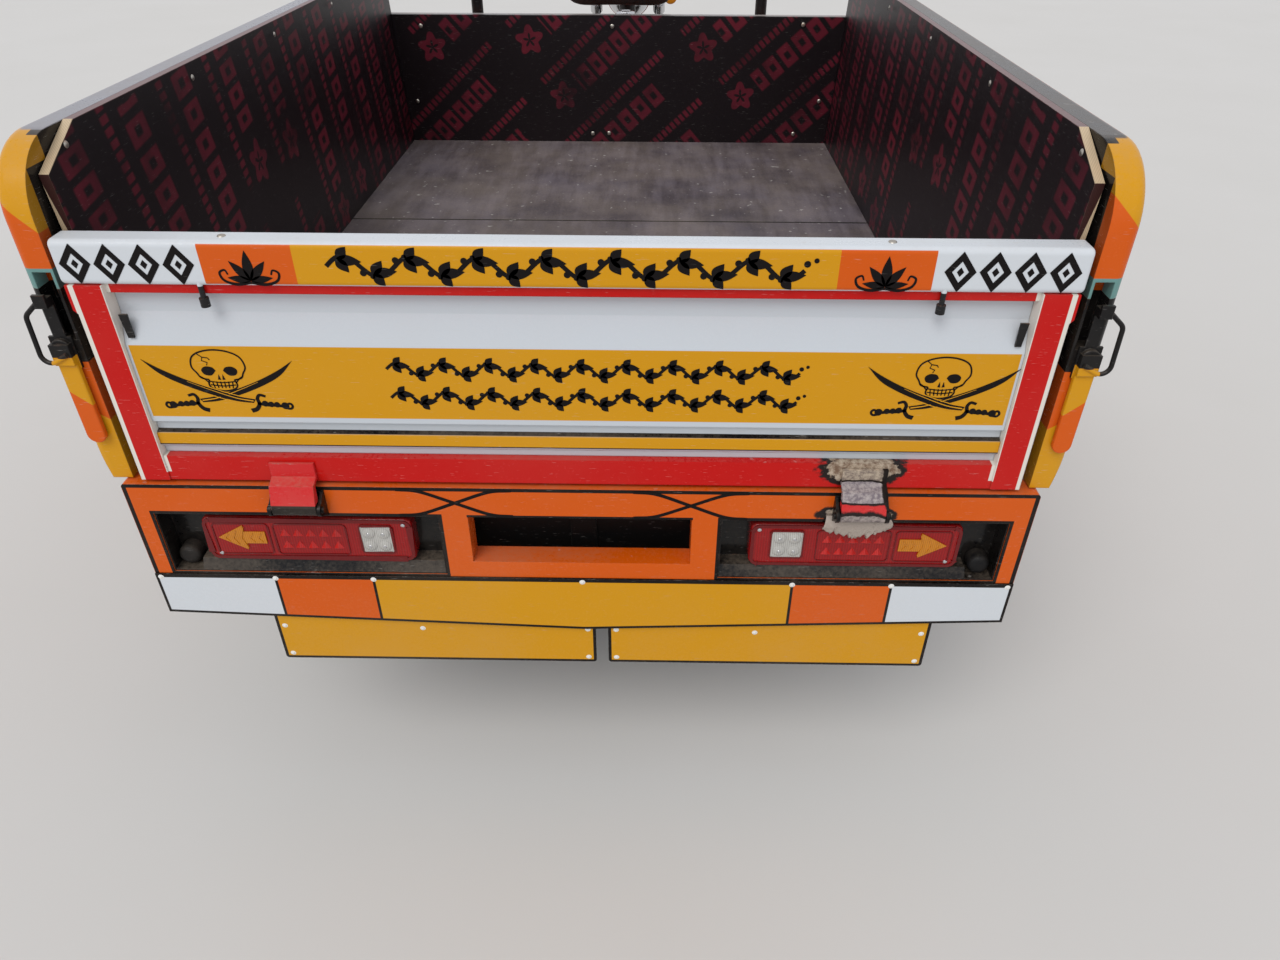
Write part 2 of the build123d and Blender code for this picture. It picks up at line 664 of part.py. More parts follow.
# Bed sides: hollow pressed walls with a rolled top edge, a corner post and a latch pocket
SIDE_FOOT_Z = SHEET_FOOT_Z + TOUCH_GAP
POCKET_TOP_Z = SIDE_TOP_Z - POCKET_BELOW_TOP
POST_DEPTH = POCKET_DEPTH + POCKET_WALL
field_pitch = (BED_FRONT_Y - SIDE_REAR_Y - SIDE_FIELD_GAP) / SIDE_FIELDS
field_spots = [
    (SIDE_REAR_Y + SIDE_FIELD_GAP / 2 + (i + 0.5) * field_pitch, FLOOR_TOP_Z + SIDE_HEIGHT / 2 + 6)
    for i in range(SIDE_FIELDS)
]
with BuildPart() as side_wall_right:
    with BuildSketch(Plane.YZ.offset(SIDE_INNER_X)):
        with BuildLine():
            FilletPolyline(
                (SIDE_REAR_Y, SIDE_FOOT_Z), (SIDE_REAR_Y, SIDE_TOP_Z), (BED_FRONT_Y, SIDE_TOP_Z),
                (BED_FRONT_Y, SIDE_FOOT_Z),
                radius=[SIDE_CORNER_RADIUS, SIDE_EDGE_RADIUS],
            )
            Line((BED_FRONT_Y, SIDE_FOOT_Z), (SIDE_REAR_Y, SIDE_FOOT_Z))
        make_face()
    extrude(amount=SIDE_PAN_DEPTH)
    outer = side_wall_right.faces().sort_by(Axis.X)[-1]
    rolled = outer.edges().sort_by(Axis.Z)[1:]
    fillet(rolled, SIDE_EDGE_RADIUS - 2)
    with BuildSketch(Plane.XZ.offset(-SIDE_REAR_Y + SIDE_CORNER_RADIUS)):
        Polygon(
            (SIDE_OUTER_X - SIDE_TUCK, SIDE_FOOT_Z - 1), (SIDE_OUTER_X + 1, SIDE_FOOT_Z - 1),
            (SIDE_OUTER_X + 1, SIDE_FOOT_Z + SIDE_TUCK_HEIGHT),
            (SIDE_OUTER_X, SIDE_FOOT_Z + SIDE_TUCK_HEIGHT),
            align=None,
        )
    extrude(amount=-(BED_FRONT_Y - SIDE_REAR_Y + 2 * SIDE_CORNER_RADIUS), mode=Mode.SUBTRACT)
    with BuildSketch(Plane.YZ.offset(SIDE_INNER_X + SIDE_SKIN)):
        with Locations(((SIDE_REAR_Y + POST_DEPTH + BED_FRONT_Y - SIDE_SKIN) / 2, SIDE_FOOT_Z)):
            Rectangle(
                BED_FRONT_Y - SIDE_REAR_Y - POST_DEPTH - SIDE_SKIN,
                2 * (SIDE_HEIGHT - 2 * SIDE_EDGE_RADIUS),
            )
    extrude(amount=SIDE_PAN_DEPTH - SIDE_TUCK - 3 * SIDE_SKIN, mode=Mode.SUBTRACT)
    with BuildSketch(Plane.YZ.offset(SIDE_OUTER_X - SIDE_SKIN)):
        with Locations(*field_spots):
            RectangleRounded(field_pitch - SIDE_FIELD_GAP, SIDE_FIELD_HEIGHT, FIELD_CORNER)
            RectangleRounded(
                field_pitch - SIDE_FIELD_GAP - FIELD_RIM, SIDE_FIELD_HEIGHT - FIELD_RIM, FIELD_CORNER - 12,
                mode=Mode.SUBTRACT,
            )
    extrude(amount=SIDE_FIELD_DEPTH + SIDE_SKIN, taper=FIELD_TAPER)
    with BuildSketch(Plane.XZ.offset(-SIDE_REAR_Y)):
        with Locations((SIDE_INNER_X + 16, POCKET_TOP_Z - POCKET_HEIGHT / 2)):
            Rectangle(24, POCKET_HEIGHT)
    extrude(amount=-POCKET_DEPTH, mode=Mode.SUBTRACT)
write_node(side_wall_right.part, "side_wall_right")
write_node(mirrored(side_wall_right.part), "side_wall_left")

# Side linings stand on the floor's sheet, lean outward above the boards and meet the wall's top
LINING_FOOT_Z = BOARD_FOOT_Z + TOUCH_GAP
LINING_REAR_Y = GATE_BACK_Y + SWING_GAP + 1
LINING_FOOT_X = BED_INNER_WIDTH / 2
LINING_TOP_X = LINING_FOOT_X + LINING_LEAN - TOUCH_GAP
with BuildPart() as lining_right:
    with BuildSketch(Plane.XZ.offset(-LINING_REAR_Y)):
        Polygon(
            (LINING_FOOT_X, LINING_FOOT_Z), (LINING_FOOT_X + LINING, LINING_FOOT_Z),
            (LINING_FOOT_X + LINING, FLOOR_TOP_Z), (LINING_TOP_X + LINING, SIDE_TOP_Z),
            (LINING_TOP_X, SIDE_TOP_Z), (LINING_FOOT_X, FLOOR_TOP_Z),
            align=None,
        )
    extrude(amount=-(FRONT_WALL_Y - TOUCH_GAP - LINING_REAR_Y))
    with BuildSketch(Plane.YZ.offset(LINING_FOOT_X - 1)):
        Polygon(
            (LINING_REAR_Y, SIDE_TOP_Z - LINING_CUT_HEIGHT), (LINING_REAR_Y, SIDE_TOP_Z + 1),
            (LINING_REAR_Y + LINING_CUT_DEPTH, SIDE_TOP_Z + 1),
            (LINING_REAR_Y + LINING_CUT_DEPTH, SIDE_TOP_Z),
            align=None,
        )
    extrude(amount=LINING_LEAN + LINING + 2, mode=Mode.SUBTRACT)

# Front wall of the bed, a hollow cap-topped panel, and its lining
FRONT_TOP_Z = FLOOR_TOP_Z + FRONT_HEIGHT
FRONT_HALF = SIDE_INNER_X - TOUCH_GAP
with BuildPart() as front_wall:
    with BuildSketch(Plane.YZ.offset(-FRONT_HALF)):
        with BuildLine():
            FilletPolyline(
                (FRONT_WALL_Y, SIDE_FOOT_Z), (FRONT_WALL_Y, FRONT_TOP_Z),
                (BED_FRONT_Y, FRONT_TOP_Z), (BED_FRONT_Y, SIDE_FOOT_Z),
                radius=[4, 8],
            )
            Line((BED_FRONT_Y, SIDE_FOOT_Z), (FRONT_WALL_Y, SIDE_FOOT_Z))
        make_face()
    extrude(amount=2 * FRONT_HALF)
    with Locations((0, (FRONT_WALL_Y + BED_FRONT_Y) / 2, SIDE_FOOT_Z)):
        Box(
            2 * (FRONT_HALF - SIDE_SKIN),
            FRONT_PAN_DEPTH - 2 * SIDE_SKIN,
            2 * (FRONT_HEIGHT - SIDE_SKIN),
            mode=Mode.SUBTRACT,
        )
    with BuildSketch(Plane.XZ.offset(-BED_FRONT_Y)):
        with Locations(*[(side * FRONT_HALF / 2, FLOOR_TOP_Z + FRONT_HEIGHT / 2) for side in (-1, 1)]):
            RectangleRounded(FRONT_HALF - 90, FRONT_HEIGHT - 110, FIELD_CORNER - 2)
            RectangleRounded(FRONT_HALF - 116, FRONT_HEIGHT - 136, 12, mode=Mode.SUBTRACT)
    extrude(amount=-4, taper=FIELD_TAPER)
write_node(front_wall.part, "front_wall")
lean_here = (LINING_LEAN - TOUCH_GAP) * FRONT_HEIGHT / SIDE_HEIGHT
with BuildPart() as bed_linings:
    add(lining_right.part)
    add(mirrored(lining_right.part))
    with BuildSketch(Plane.XZ.offset(-LINING_FACE_Y)):
        Polygon(
            (TOUCH_GAP - LINING_FOOT_X, LINING_FOOT_Z), (LINING_FOOT_X - TOUCH_GAP, LINING_FOOT_Z),
            (LINING_FOOT_X - TOUCH_GAP, FLOOR_TOP_Z),
            (LINING_FOOT_X + lean_here - TOUCH_GAP, FRONT_TOP_Z),
            (TOUCH_GAP - LINING_FOOT_X - lean_here, FRONT_TOP_Z),
            (TOUCH_GAP - LINING_FOOT_X, FLOOR_TOP_Z),
            align=None,
        )
    extrude(amount=-(LINING - TOUCH_GAP))
write_node(bed_linings.part, "bed_linings")

# Tailgate frame: side stiles, foot rail and the strip under the top rail, open to the bed
GATE_TOP_Z = RAIL_TOP_Z - GATE_RAIL_HEIGHT
GATE_WINDOW_FOOT_Z = GATE_FOOT_Z + GATE_FOOT_HEIGHT
GATE_STRIP_FOOT_Z = GATE_TOP_Z - 12
STILE_OUT_X = GATE_RAIL_LENGTH / 2 - STILE_INSET
STILE_IN_X = STILE_OUT_X - STILE_WIDTH
JOG_Z = GATE_TOP_Z - STILE_JOG_DROP
GATE_FOOT_FACE_Y = BED_REAR_Y + GATE_FOOT_SETBACK
frame_outline = [
    (STILE_OUT_X, GATE_TOP_Z), (STILE_OUT_X, JOG_Z), (STILE_OUT_X - STILE_JOG, JOG_Z - STILE_JOG),
    (STILE_OUT_X - STILE_JOG, GATE_FOOT_Z), (STILE_JOG - STILE_OUT_X, GATE_FOOT_Z),
    (STILE_JOG - STILE_OUT_X, JOG_Z - STILE_JOG), (-STILE_OUT_X, JOG_Z), (-STILE_OUT_X, GATE_TOP_Z),
]
window_mid_z = (GATE_WINDOW_FOOT_Z + GATE_STRIP_FOOT_Z) / 2
window_height = GATE_STRIP_FOOT_Z - GATE_WINDOW_FOOT_Z
with BuildPart() as tailgate_frame:
    with BuildSketch(Plane.XZ.offset(-BED_REAR_Y)):
        Polygon(*frame_outline, align=None)
        with Locations((0, window_mid_z)):
            Rectangle(2 * STILE_IN_X, window_height, mode=Mode.SUBTRACT)
    extrude(amount=-GATE_DEPTH)
    with BuildSketch(Plane.XZ.offset(-BED_REAR_Y - GATE_SKIN - GATE_FOOT_SETBACK)):
        for side in (-1, 1):
            with Locations((side * (STILE_IN_X + (STILE_WIDTH - STILE_JOG) / 2), window_mid_z)):
                Rectangle(STILE_WIDTH - STILE_JOG - 2 * GATE_SKIN, window_height)
        with Locations((0, GATE_FOOT_Z + GATE_FOOT_HEIGHT / 2)):
            Rectangle(2 * STILE_IN_X - 40, GATE_FOOT_HEIGHT - 2 * GATE_SKIN)
    extrude(amount=-GATE_DEPTH, mode=Mode.SUBTRACT)
    with Locations((0, BED_REAR_Y + GATE_FOOT_SETBACK / 2, GATE_FOOT_Z + GATE_FOOT_HEIGHT / 2)):
        Box(2 * STILE_IN_X, GATE_FOOT_SETBACK, GATE_FOOT_HEIGHT, mode=Mode.SUBTRACT)
    with Locations((0, BED_REAR_Y + 4, (GATE_STRIP_FOOT_Z + GATE_TOP_Z) / 2)):
        Box(2 * STILE_IN_X, 8, GATE_TOP_Z - GATE_STRIP_FOOT_Z, mode=Mode.SUBTRACT)
write_node(tailgate_frame.part, "tailgate_frame")

# Tailgate panel: one sheet pressed into a deep top recess, a broad band and two low steps
panel_steps = [
    (22, 0), (22, 43), (6, 85), (6, 203), (14, 207), (14, 219), (6, 223), (6, 241), (14, 249), (14, 258),
]
PANEL_TOP_Z = GATE_TOP_Z - TOUCH_GAP
step_scale = (PANEL_TOP_Z - 12 - GATE_WINDOW_FOOT_Z - TOUCH_GAP) / (panel_steps[-1][1] - 12)
panel_face = [
    (BED_REAR_Y + depth, PANEL_TOP_Z - 12 - max(drop - 12, 0) * step_scale)
    for depth, drop in panel_steps
]
with BuildPart() as tailgate_panel:
    with BuildSketch(Plane.YZ.offset(TOUCH_GAP - STILE_IN_X)):
        Polygon(*panel_face, *[(y + GATE_SKIN, z) for y, z in reversed(panel_face)], align=None)
    extrude(amount=2 * (STILE_IN_X - TOUCH_GAP))
write_node(tailgate_panel.part, "tailgate_panel")

# Tailgate top rail: a boxed rail with rounded ends and two rubber-tipped pegs under it
RAIL_CORNER = 8
RAIL_SKIN = 3
rail_mid_z = GATE_TOP_Z + TOUCH_GAP + (GATE_RAIL_HEIGHT - TOUCH_GAP) / 2
with BuildPart() as tailgate_rail:
    with Locations((0, BED_REAR_Y + GATE_RAIL_DEPTH / 2, rail_mid_z)):
        Box(GATE_RAIL_LENGTH, GATE_RAIL_DEPTH, GATE_RAIL_HEIGHT - TOUCH_GAP)
    fillet(tailgate_rail.edges().filter_by(Axis.X), RAIL_CORNER)
    fillet(tailgate_rail.edges().filter_by(Axis.Z), 5)
    with Locations((0, BED_REAR_Y + GATE_RAIL_DEPTH, rail_mid_z)):
        Box(
            GATE_RAIL_LENGTH - 2 * RAIL_CORNER,
            2 * (GATE_RAIL_DEPTH - RAIL_SKIN),
            GATE_RAIL_HEIGHT - 2 * RAIL_CORNER - 4,
            mode=Mode.SUBTRACT,
        )
    for x in PEG_SPOTS_X:
        with Locations((x, BED_REAR_Y + 4, GATE_TOP_Z + 6)):
            Cylinder(PEG_RADIUS, PEG_LENGTH + 6, align=(Align.CENTER, Align.CENTER, Align.MAX))
        with Locations((x, BED_REAR_Y + 4, GATE_TOP_Z - PEG_LENGTH)):
            Cylinder(PEG_HEAD_RADIUS, PEG_HEAD, align=(Align.CENTER, Align.CENTER, Align.MIN))
write_node(tailgate_rail.part, "tailgate_rail")

# Tailgate hinge leaves: a plate up the foot rail, bent out over the bumper to its knuckle
leaf_face_y = GATE_FOOT_FACE_Y - TOUCH_GAP
leaf_outline = [
    (HINGE_Y + 7, HINGE_Z), (HINGE_Y + 7, HINGE_Z + 8), (HINGE_Y + 9, GATE_FOOT_Z + 2),
    (leaf_face_y, GATE_FOOT_Z + 7), (leaf_face_y, GATE_FOOT_Z + 33),
    (leaf_face_y - HINGE_PLATE, GATE_FOOT_Z + 33), (leaf_face_y - HINGE_PLATE, GATE_FOOT_Z + 11),
    (HINGE_Y + 2, GATE_FOOT_Z + 5), (HINGE_Y - HINGE_KNUCKLE_RADIUS, HINGE_Z + 8),
    (HINGE_Y - HINGE_KNUCKLE_RADIUS, HINGE_Z),
]
with BuildPart() as hinge_leaves:
    for side in (-1, 1):
        with BuildSketch(Plane.YZ.offset(side * HINGE_X - HINGE_WIDTH / 2)):
            Polygon(*leaf_outline, align=None)
            with Locations((HINGE_Y, HINGE_Z)):
                Circle(HINGE_KNUCKLE_RADIUS)
                Circle(HINGE_PIN_RADIUS + RUN_GAP, mode=Mode.SUBTRACT)
        extrude(amount=HINGE_WIDTH)
write_node(hinge_leaves.part, "hinge_leaves")

# Hinge brackets on the bumper: a back plate, two cheeks and the pin between them
BRACKET_REACH = HINGE_WIDTH / 2 + 1
BRACKET_FACE_Y = BUMPER_FACE_Y - TOUCH_GAP
with BuildPart() as hinge_brackets:
    for side in (-1, 1):
        with Locations((side * HINGE_X, BRACKET_FACE_Y - BRACKET_SHEET / 2, HINGE_Z)):
            Box(2 * (BRACKET_REACH + HINGE_CHEEK), BRACKET_SHEET, HINGE_PLATE_HEIGHT)
        for end in (-1, 1):
            start = side * HINGE_X + end * (BRACKET_REACH + HINGE_CHEEK / 2)
            with BuildSketch(Plane.YZ.offset(start)):
                with BuildLine():
                    Polyline(
                        (HINGE_Y, HINGE_Z - HINGE_CHEEK_NOSE), (BRACKET_FACE_Y, HINGE_Z - HINGE_PLATE_HEIGHT / 2),
                        (BRACKET_FACE_Y, HINGE_Z + HINGE_PLATE_HEIGHT / 2), (HINGE_Y, HINGE_Z + HINGE_CHEEK_NOSE),
                    )
                    ThreePointArc(
                        (HINGE_Y, HINGE_Z + HINGE_CHEEK_NOSE), (HINGE_Y - HINGE_CHEEK_NOSE, HINGE_Z),
                        (HINGE_Y, HINGE_Z - HINGE_CHEEK_NOSE),
                    )
                make_face()
            extrude(amount=HINGE_CHEEK / 2, both=True)
        with Locations(Location((side * HINGE_X, HINGE_Y, HINGE_Z), (0, 90, 0))):
            Cylinder(HINGE_PIN_RADIUS, 2 * (BRACKET_REACH + HINGE_CHEEK) + 6)
write_node(hinge_brackets.part, "hinge_brackets")

# Bumper frame: a pressed beam with a lamp window a side and an open middle
LAMP_WINDOW_IN_X = BUMPER_MID_WINDOW / 2 + BUMPER_MID_POST
LAMP_WINDOW_OUT_X = BUMPER_HALF_WIDTH - BUMPER_POST
WINDOW_TOP_Z = BUMPER_TOP_Z - BUMPER_TOP_RAIL
LAMP_WINDOW_FOOT_Z = BUMPER_FOOT_Z + LAMP_WINDOW_FOOT
MID_WINDOW_FOOT_Z = BUMPER_FOOT_Z + BUMPER_FOOT_RAIL
bumper_mid_z = (BUMPER_TOP_Z + BUMPER_FOOT_Z) / 2
lamp_window_mid = (LAMP_WINDOW_IN_X + LAMP_WINDOW_OUT_X) / 2
lamp_window_size = (LAMP_WINDOW_OUT_X - LAMP_WINDOW_IN_X, WINDOW_TOP_Z - LAMP_WINDOW_FOOT_Z)
with BuildPart() as bumper_frame:
    with BuildSketch(Plane.XZ.offset(-BUMPER_FACE_Y)):
        with Locations((0, bumper_mid_z)):
            RectangleRounded(2 * BUMPER_HALF_WIDTH, BUMPER_HEIGHT, 6)
        with Locations((0, (MID_WINDOW_FOOT_Z + WINDOW_TOP_Z) / 2)):
            Rectangle(BUMPER_MID_WINDOW, WINDOW_TOP_Z - MID_WINDOW_FOOT_Z, mode=Mode.SUBTRACT)
        with Locations(*[
            (side * lamp_window_mid, (LAMP_WINDOW_FOOT_Z + WINDOW_TOP_Z) / 2) for side in (-1, 1)
        ]):
            Rectangle(*lamp_window_size, mode=Mode.SUBTRACT)
    extrude(amount=-BUMPER_DEPTH)
    with Locations((0, BUMPER_BACK_Y, BUMPER_TOP_Z - BUMPER_TOP_RAIL / 2)):
        Box(
            2 * (BUMPER_HALF_WIDTH - 6), 2 * (BUMPER_DEPTH - 3), BUMPER_TOP_RAIL - 6, mode=Mode.SUBTRACT
        )
write_node(bumper_frame.part, "bumper_frame")

# Lamp trays: thin boxes closing the lamp windows from behind, with a sloping shelf
TRAY_BACK_Y = BUMPER_BACK_Y
tray_mid_z = (LAMP_WINDOW_FOOT_Z + WINDOW_TOP_Z) / 2
tray_size = (lamp_window_size[0] - 2 * TOUCH_GAP, lamp_window_size[1] - 2 * TOUCH_GAP)
SHELF_IN_X = LAMP_WINDOW_IN_X + 1
SHELF_TOP_Z = LAMP_WINDOW_FOOT_Z + TRAY_SHELF_HEIGHT
with BuildPart() as tray_right:
    with Locations((lamp_window_mid, BUMPER_FACE_Y + BUMPER_DEPTH / 2 + 1, tray_mid_z)):
        Box(tray_size[0], BUMPER_DEPTH - 2, tray_size[1])
    with Locations((lamp_window_mid, BUMPER_FACE_Y, tray_mid_z)):
        Box(
            tray_size[0] - 2 * TRAY_SKIN,
            2 * (BUMPER_DEPTH - TRAY_SKIN),
            tray_size[1] - 2 * TRAY_SKIN,
            mode=Mode.SUBTRACT,
        )
    with BuildSketch(Plane.YZ.offset(SHELF_IN_X)):
        Polygon(
            (BUMPER_FACE_Y + 2, LAMP_WINDOW_FOOT_Z + 1), (TRAY_BACK_Y - 1, LAMP_WINDOW_FOOT_Z + 1),
            (TRAY_BACK_Y - 1, SHELF_TOP_Z), (TRAY_BACK_Y - 26, SHELF_TOP_Z),
            align=None,
        )
    extrude(amount=LAMP_WINDOW_OUT_X - TRAY_SHELF_SHORT - SHELF_IN_X)
with BuildPart() as lamp_trays:
    add(tray_right.part)
    add(mirrored(tray_right.part))
write_node(lamp_trays.part, "lamp_trays")

# Tail lamps: a rounded block a side on the shelf, against the tray's back
LAMP_BACK_Y = TRAY_BACK_Y - TRAY_SKIN - TOUCH_GAP
LAMP_FACE_Y = LAMP_BACK_Y - LAMP_THICK
LAMP_X = LAMP_WINDOW_IN_X + LAMP_INSET + LAMP_LENGTH / 2
LAMP_FOOT_Z = SHELF_TOP_Z + TOUCH_GAP
lamp_mid_z = LAMP_FOOT_Z + LAMP_HEIGHT / 2
with BuildPart() as lamp_right:
    with Locations((LAMP_X, (LAMP_BACK_Y + LAMP_FACE_Y) / 2, lamp_mid_z)):
        Box(LAMP_LENGTH, LAMP_BACK_Y - LAMP_FACE_Y, LAMP_HEIGHT)
    fillet(lamp_right.edges().filter_by(Axis.Y), LAMP_CORNER)
    fillet(lamp_right.faces().sort_by(Axis.Y)[0].edges(), 5)
with BuildPart() as tail_lamps:
    add(lamp_right.part)
    add(mirrored(lamp_right.part))
write_node(tail_lamps.part, "tail_lamps")

# Rubber buffers at the outer ends of the trays
BUFFER_X = LAMP_WINDOW_OUT_X - BUFFER_FROM_POST
BUFFER_Z = LAMP_WINDOW_FOOT_Z + TRAY_SKIN + 2 * TOUCH_GAP + BUFFER_RADIUS
with BuildPart() as buffers:
    for side in (-1, 1):
        with BuildSketch(Plane.XZ.offset(-LAMP_BACK_Y)):
            with Locations((side * BUFFER_X, BUFFER_Z)):
                Circle(BUFFER_RADIUS)
        extrude(amount=BUFFER_PROUD)
    fillet(buffers.faces().sort_by(Axis.Y)[:2].edges(), 9)
write_node(buffers.part, "buffers")

# Sign board under the bumper, and a pair of plates hung on straps behind it
SIGN_BACK_Y = BUMPER_FACE_Y - TOUCH_GAP
SIGN_TOP_Z = BUMPER_FOOT_Z + SIGN_LAP
with BuildPart() as sign_board:
    with BuildSketch(Plane.XZ.offset(-SIGN_BACK_Y)):
        Polygon(
            (BUMPER_HALF_WIDTH, SIGN_TOP_Z), (BUMPER_HALF_WIDTH, SIGN_TOP_Z - SIGN_HEIGHT_END),
            (0, SIGN_TOP_Z - SIGN_HEIGHT_MID),
            (-BUMPER_HALF_WIDTH, SIGN_TOP_Z - SIGN_HEIGHT_END), (-BUMPER_HALF_WIDTH, SIGN_TOP_Z),
            align=None,
        )
    extrude(amount=SIGN_SHEET)
write_node(sign_board.part, "sign_board")
STRAP_Y = BUMPER_FACE_Y + 6
STRAP_LAP = 12
plate_spots = [PLATE_OFFSET_X + side * PLATE_SPACING / 2 for side in (-1, 1)]
with BuildPart() as plate_boards:
    with BuildSketch(Plane.XZ.offset(-STRAP_Y + TOUCH_GAP)):
        with Locations(*[(x, PLATE_FOOT_Z + PLATE_HEIGHT / 2) for x in plate_spots]):
            RectangleRounded(PLATE_LENGTH, PLATE_HEIGHT, 5)
    extrude(amount=SIGN_SHEET)
write_node(plate_boards.part, "plate_boards")
with BuildPart() as plate_straps:
    for x in plate_spots:
        for end in (-1, 1):
            with Locations((x + end * STRAP_SPREAD / 2, STRAP_Y + STRAP_SHEET / 2, PLATE_FOOT_Z + STRAP_LAP)):
                Box(
                    STRAP_WIDTH, STRAP_SHEET, BUMPER_FOOT_Z - TOUCH_GAP - PLATE_FOOT_Z - STRAP_LAP,
                    align=(Align.CENTER, Align.CENTER, Align.MIN),
                )
            with Locations((x + end * STRAP_SPREAD / 2, STRAP_Y, BUMPER_FOOT_Z - TOUCH_GAP)):
                Box(STRAP_WIDTH, 28, STRAP_SHEET, align=(Align.CENTER, Align.MIN, Align.MAX))
write_node(plate_straps.part, "plate_straps")

# Corner latches: a bracket in each pocket, a wire bail round its hook and a long lever
BRACKET_Y = SIDE_REAR_Y - TOUCH_GAP
POCKET_FOOT_Z = POCKET_TOP_Z - POCKET_HEIGHT
LEVER_TOP_Z = SIDE_TOP_Z - LATCH_LEVER_TOP_BELOW
with BuildPart() as latch_bracket_right:
    with Locations((LATCH_X, BRACKET_Y, POCKET_FOOT_Z + 6)):
        Box(
            LATCH_PLATE_WIDTH, LATCH_HOOK_THICK, LATCH_PLATE_HEIGHT,
            align=(Align.CENTER, Align.MAX, Align.MAX),
        )
    with Locations((LATCH_X - 1, BRACKET_Y, POCKET_TOP_Z - 30)):
        Box(LATCH_HOOK_WIDTH, 16, 12, align=(Align.CENTER, Align.MAX, Align.MAX))
    with Locations((LATCH_X - 1, BRACKET_Y - 12, POCKET_TOP_Z - 24)):
        Box(LATCH_HOOK_WIDTH, 5, 18, align=(Align.CENTER, Align.MAX, Align.MAX))
    with Locations((LATCH_X - 1, BRACKET_Y, POCKET_TOP_Z - 30)):
        Box(LATCH_HOOK_WIDTH, LATCH_HOOK_THICK, 62, align=(Align.CENTER, Align.MAX, Align.MAX))
LEVER_BACK_Y = BRACKET_Y - 3
ROD_Y = LEVER_BACK_Y - LATCH_LEVER_THICK / 2
with BuildPart() as lever_right:
    with BuildSketch(Plane.XZ.offset(-LEVER_BACK_Y)):
        with Locations((LATCH_X, LEVER_TOP_Z - LATCH_LEVER_LENGTH / 2)):
            SlotOverall(LATCH_LEVER_LENGTH, LATCH_LEVER_WIDTH, rotation=90)
    extrude(amount=LATCH_LEVER_THICK)
    fillet(lever_right.faces().sort_by(Axis.Y)[0].edges(), 2)
    with Locations((LATCH_X, LEVER_BACK_Y, LEVER_TOP_Z - 6)):
        Box(
            LATCH_LEVER_WIDTH, LATCH_LEVER_THICK + LATCH_CAP_PROUD, LATCH_CAP,
            align=(Align.CENTER, Align.MAX, Align.MAX),
        )
    bail = round_bar(
        [
            (LATCH_X - 8, ROD_Y - 8, LEVER_TOP_Z - 20),
            (LATCH_X + LATCH_BAIL_WIDTH, ROD_Y - 8, LEVER_TOP_Z - LATCH_BAIL_DROP + 6),
            (LATCH_X + LATCH_BAIL_WIDTH, ROD_Y - 4, LEVER_TOP_Z + LATCH_BAIL_RISE - 26),
            (LATCH_X - 1, BRACKET_Y - 8, LEVER_TOP_Z + LATCH_BAIL_RISE),
        ],
        LATCH_ROD_RADIUS,
        12,
    )
    add(bail)
with BuildPart() as latch_right:
    add(latch_bracket_right.part)
    add(lever_right.part)
with BuildPart() as corner_latches:
    add(latch_right.part)
    add(mirrored(latch_right.part))
write_node(corner_latches.part, "corner_latches")

# Ladder frame: two hollow rails with bumper flanges, and the cross tubes between them
FRAME_REAR_Y = BUMPER_BACK_Y + TOUCH_GAP
with BuildPart() as frame_rails:
    for side in (-1, 1):
        with BuildSketch(Plane.XZ.offset(-FRAME_REAR_Y)):
            with Locations((side * RAIL_X, FRAME_MID_Z)):
                Rectangle(RAIL_WIDTH, RAIL_HEIGHT)
                Rectangle(
                    RAIL_WIDTH - 2 * RAIL_WALL, RAIL_HEIGHT - 2 * RAIL_WALL, mode=Mode.SUBTRACT
                )
        extrude(amount=-(FRAME_FRONT_Y - FRAME_REAR_Y))
        with Locations((side * RAIL_X, FRAME_REAR_Y, FRAME_MID_Z)):
            Box(RAIL_WIDTH + 40, 6, RAIL_HEIGHT, align=(Align.CENTER, Align.MIN, Align.CENTER))
CROSS_SPOTS_Y = (
    BED_REAR_Y + CROSS_REAR_GAP, REAR_AXLE_Y - CROSS_BEHIND_AXLE, REAR_AXLE_Y + CROSS_AHEAD_OF_AXLE,
    FRAME_FRONT_Y - CROSS_SIZE / 2,
)
cross_length = 2 * (RAIL_X - RAIL_WIDTH / 2 + RAIL_WALL / 2)
with BuildPart() as ladder_frame:
    add(frame_rails.part)
    for y in CROSS_SPOTS_Y:
        with BuildSketch(Plane.YZ.offset(-cross_length / 2)):
            with Locations((y, FRAME_MID_Z)):
                RectangleRounded(CROSS_SIZE, CROSS_SIZE, 6)
                RectangleRounded(
                    CROSS_SIZE - 2 * CROSS_WALL, CROSS_SIZE - 2 * CROSS_WALL, 3, mode=Mode.SUBTRACT
                )
        extrude(amount=cross_length)
write_node(ladder_frame.part, "ladder_frame")

# Front frame: head tube, boxed backbone and seat post, cradle tubes, foot tubes and hoop beam
head_y = FRONT_AXLE_Y - FORK_OFFSET * math.cos(math.radians(RAKE))
stem_drop = (HEAD_CENTRE_Z + FORK_OFFSET * math.sin(math.radians(RAKE)) - AXLE_Z) / math.cos(
    math.radians(RAKE)
)
HEAD_Y = head_y - stem_drop * math.sin(math.radians(RAKE))
HEAD_PLANE = Plane(
    origin=(0, HEAD_Y, HEAD_CENTRE_Z),
    x_dir=(1, 0, 0),
    z_dir=(0, -math.sin(math.radians(RAKE)), math.cos(math.radians(RAKE))),
)
HALF_HEAD = HEAD_LENGTH / 2
BEAM_SIZE = 40
BEAM_Y = FRAME_FRONT_Y + TOUCH_GAP
BEAM_TOP_Z = FRAME_TOP_Z - 5
BEAM_HALF = HOOP_X + 27
FOOT_TUBE_Z = CRADLE_Z + FRAME_TUBE_RADIUS + FOOT_TUBE_RADIUS - 7
FOOT_TUBE_HALF = 425
